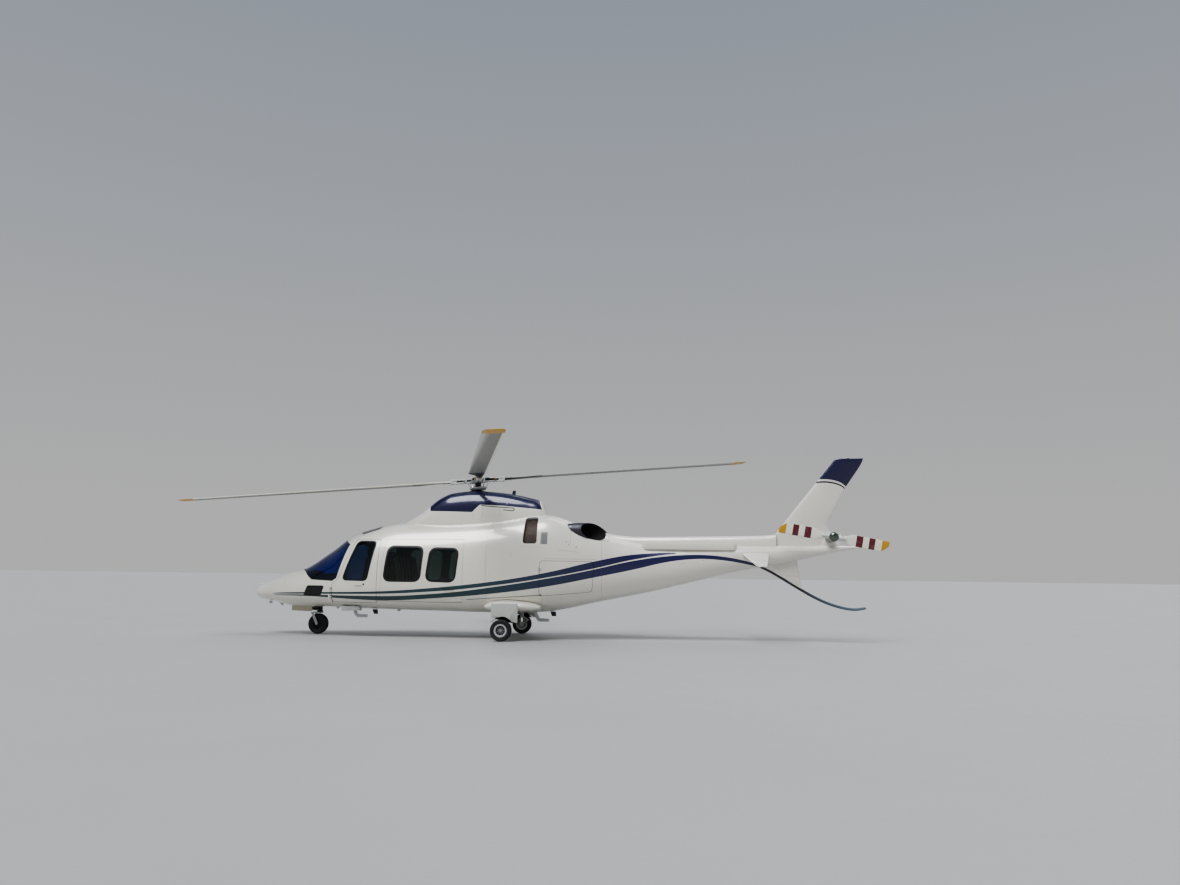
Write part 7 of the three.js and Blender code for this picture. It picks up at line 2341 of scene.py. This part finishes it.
class HELICOPTER_OT_fins(bpy.types.Operator):
    """Tail cone, fins, skid, stabilizers and ledge"""
    bl_idname = "helicopter.fins"
    bl_label = "Fins"

    def execute(self, context):
        build_tail_cone()
        build_tail_planes()
        return {"FINISHED"}


class HELICOPTER_OT_main_rotor(bpy.types.Operator):
    """Main rotor head and blades"""
    bl_idname = "helicopter.main_rotor"
    bl_label = "Main rotor"

    def execute(self, context):
        build_rotor_head()
        build_blades()
        return {"FINISHED"}


class HELICOPTER_OT_tail_rotor(bpy.types.Operator):
    """Tail rotor with its gearbox"""
    bl_idname = "helicopter.tail_rotor"
    bl_label = "Tail rotor"

    def execute(self, context):
        build_tail_rotor()
        return {"FINISHED"}


class HELICOPTER_OT_gear(bpy.types.Operator):
    """Gear fairings, legs, doors and wheels"""
    bl_idname = "helicopter.gear"
    bl_label = "Landing gear"

    def execute(self, context):
        build_gear_fairings()
        build_main_legs()
        build_nose_gear()
        build_wheels()
        return {"FINISHED"}


class HELICOPTER_OT_outlets(bpy.types.Operator):
    """Exhausts, intake meshes and louvres"""
    bl_idname = "helicopter.outlets"
    bl_label = "Inlets and outlets"

    def execute(self, context):
        build_exhausts()
        build_inlets()
        return {"FINISHED"}


class HELICOPTER_OT_fittings(bpy.types.Operator):
    """Panel joints, door fittings, aerials and steps"""
    bl_idname = "helicopter.fittings"
    bl_label = "Fittings"

    def execute(self, context):
        build_panel_lines()
        build_door_fittings()
        build_aerials()
        build_steps()
        return {"FINISHED"}


class HELICOPTER_OT_seats(bpy.types.Operator):
    """Pilot and cabin seats with their belts"""
    bl_idname = "helicopter.seats"
    bl_label = "Seats"

    def execute(self, context):
        build_seats()
        return {"FINISHED"}


class HELICOPTER_OT_inside(bpy.types.Operator):
    """Cockpit, engines, gearbox and bulkhead"""
    bl_idname = "helicopter.inside"
    bl_label = "Cockpit and machinery"

    def execute(self, context):
        build_cockpit()
        build_machinery()
        return {"FINISHED"}


class HELICOPTER_OT_stage(bpy.types.Operator):
    """Floor, lights and camera"""
    bl_idname = "helicopter.stage"
    bl_label = "Stage"

    def execute(self, context):
        build_stage()
        return {"FINISHED"}


OPERATORS = [
    HELICOPTER_OT_nose, HELICOPTER_OT_cabin_shell, HELICOPTER_OT_windshields, HELICOPTER_OT_doors,
    HELICOPTER_OT_aft, HELICOPTER_OT_tail, HELICOPTER_OT_pylon, HELICOPTER_OT_fins,
    HELICOPTER_OT_main_rotor, HELICOPTER_OT_tail_rotor, HELICOPTER_OT_gear,
    HELICOPTER_OT_outlets, HELICOPTER_OT_fittings,
    HELICOPTER_OT_seats, HELICOPTER_OT_inside, HELICOPTER_OT_stage,
]


class HELICOPTER_PT_panel(bpy.types.Panel):
    """Sidebar panel with every step, the colours and the sizes"""
    bl_idname = "HELICOPTER_PT_panel"
    bl_label = "Helicopter"
    bl_space_type = "VIEW_3D"
    bl_region_type = "UI"
    bl_category = "Helicopter"

    def draw(self, context):
        for operator in OPERATORS:
            self.layout.operator(operator.bl_idname)
        for group in (context.scene.helicopter_paint, context.scene.helicopter_sizes):
            for name in group.__annotations__:
                self.layout.prop(group, name)


CLASSES = [HelicopterPaint, HelicopterSizes, *OPERATORS, HELICOPTER_PT_panel]


def register():
    for kind in CLASSES:
        bpy.utils.register_class(kind)
    bpy.types.Scene.helicopter_paint = bpy.props.PointerProperty(type=HelicopterPaint)
    bpy.types.Scene.helicopter_sizes = bpy.props.PointerProperty(type=HelicopterSizes)


def unregister():
    del bpy.types.Scene.helicopter_sizes
    del bpy.types.Scene.helicopter_paint
    for kind in reversed(CLASSES):
        bpy.utils.unregister_class(kind)


def main():
    """Builds every piece."""
    register()
    for operator in OPERATORS:
        group, name = operator.bl_idname.split(".")
        getattr(getattr(bpy.ops, group), name)()


if __name__ == "__main__":
    main()
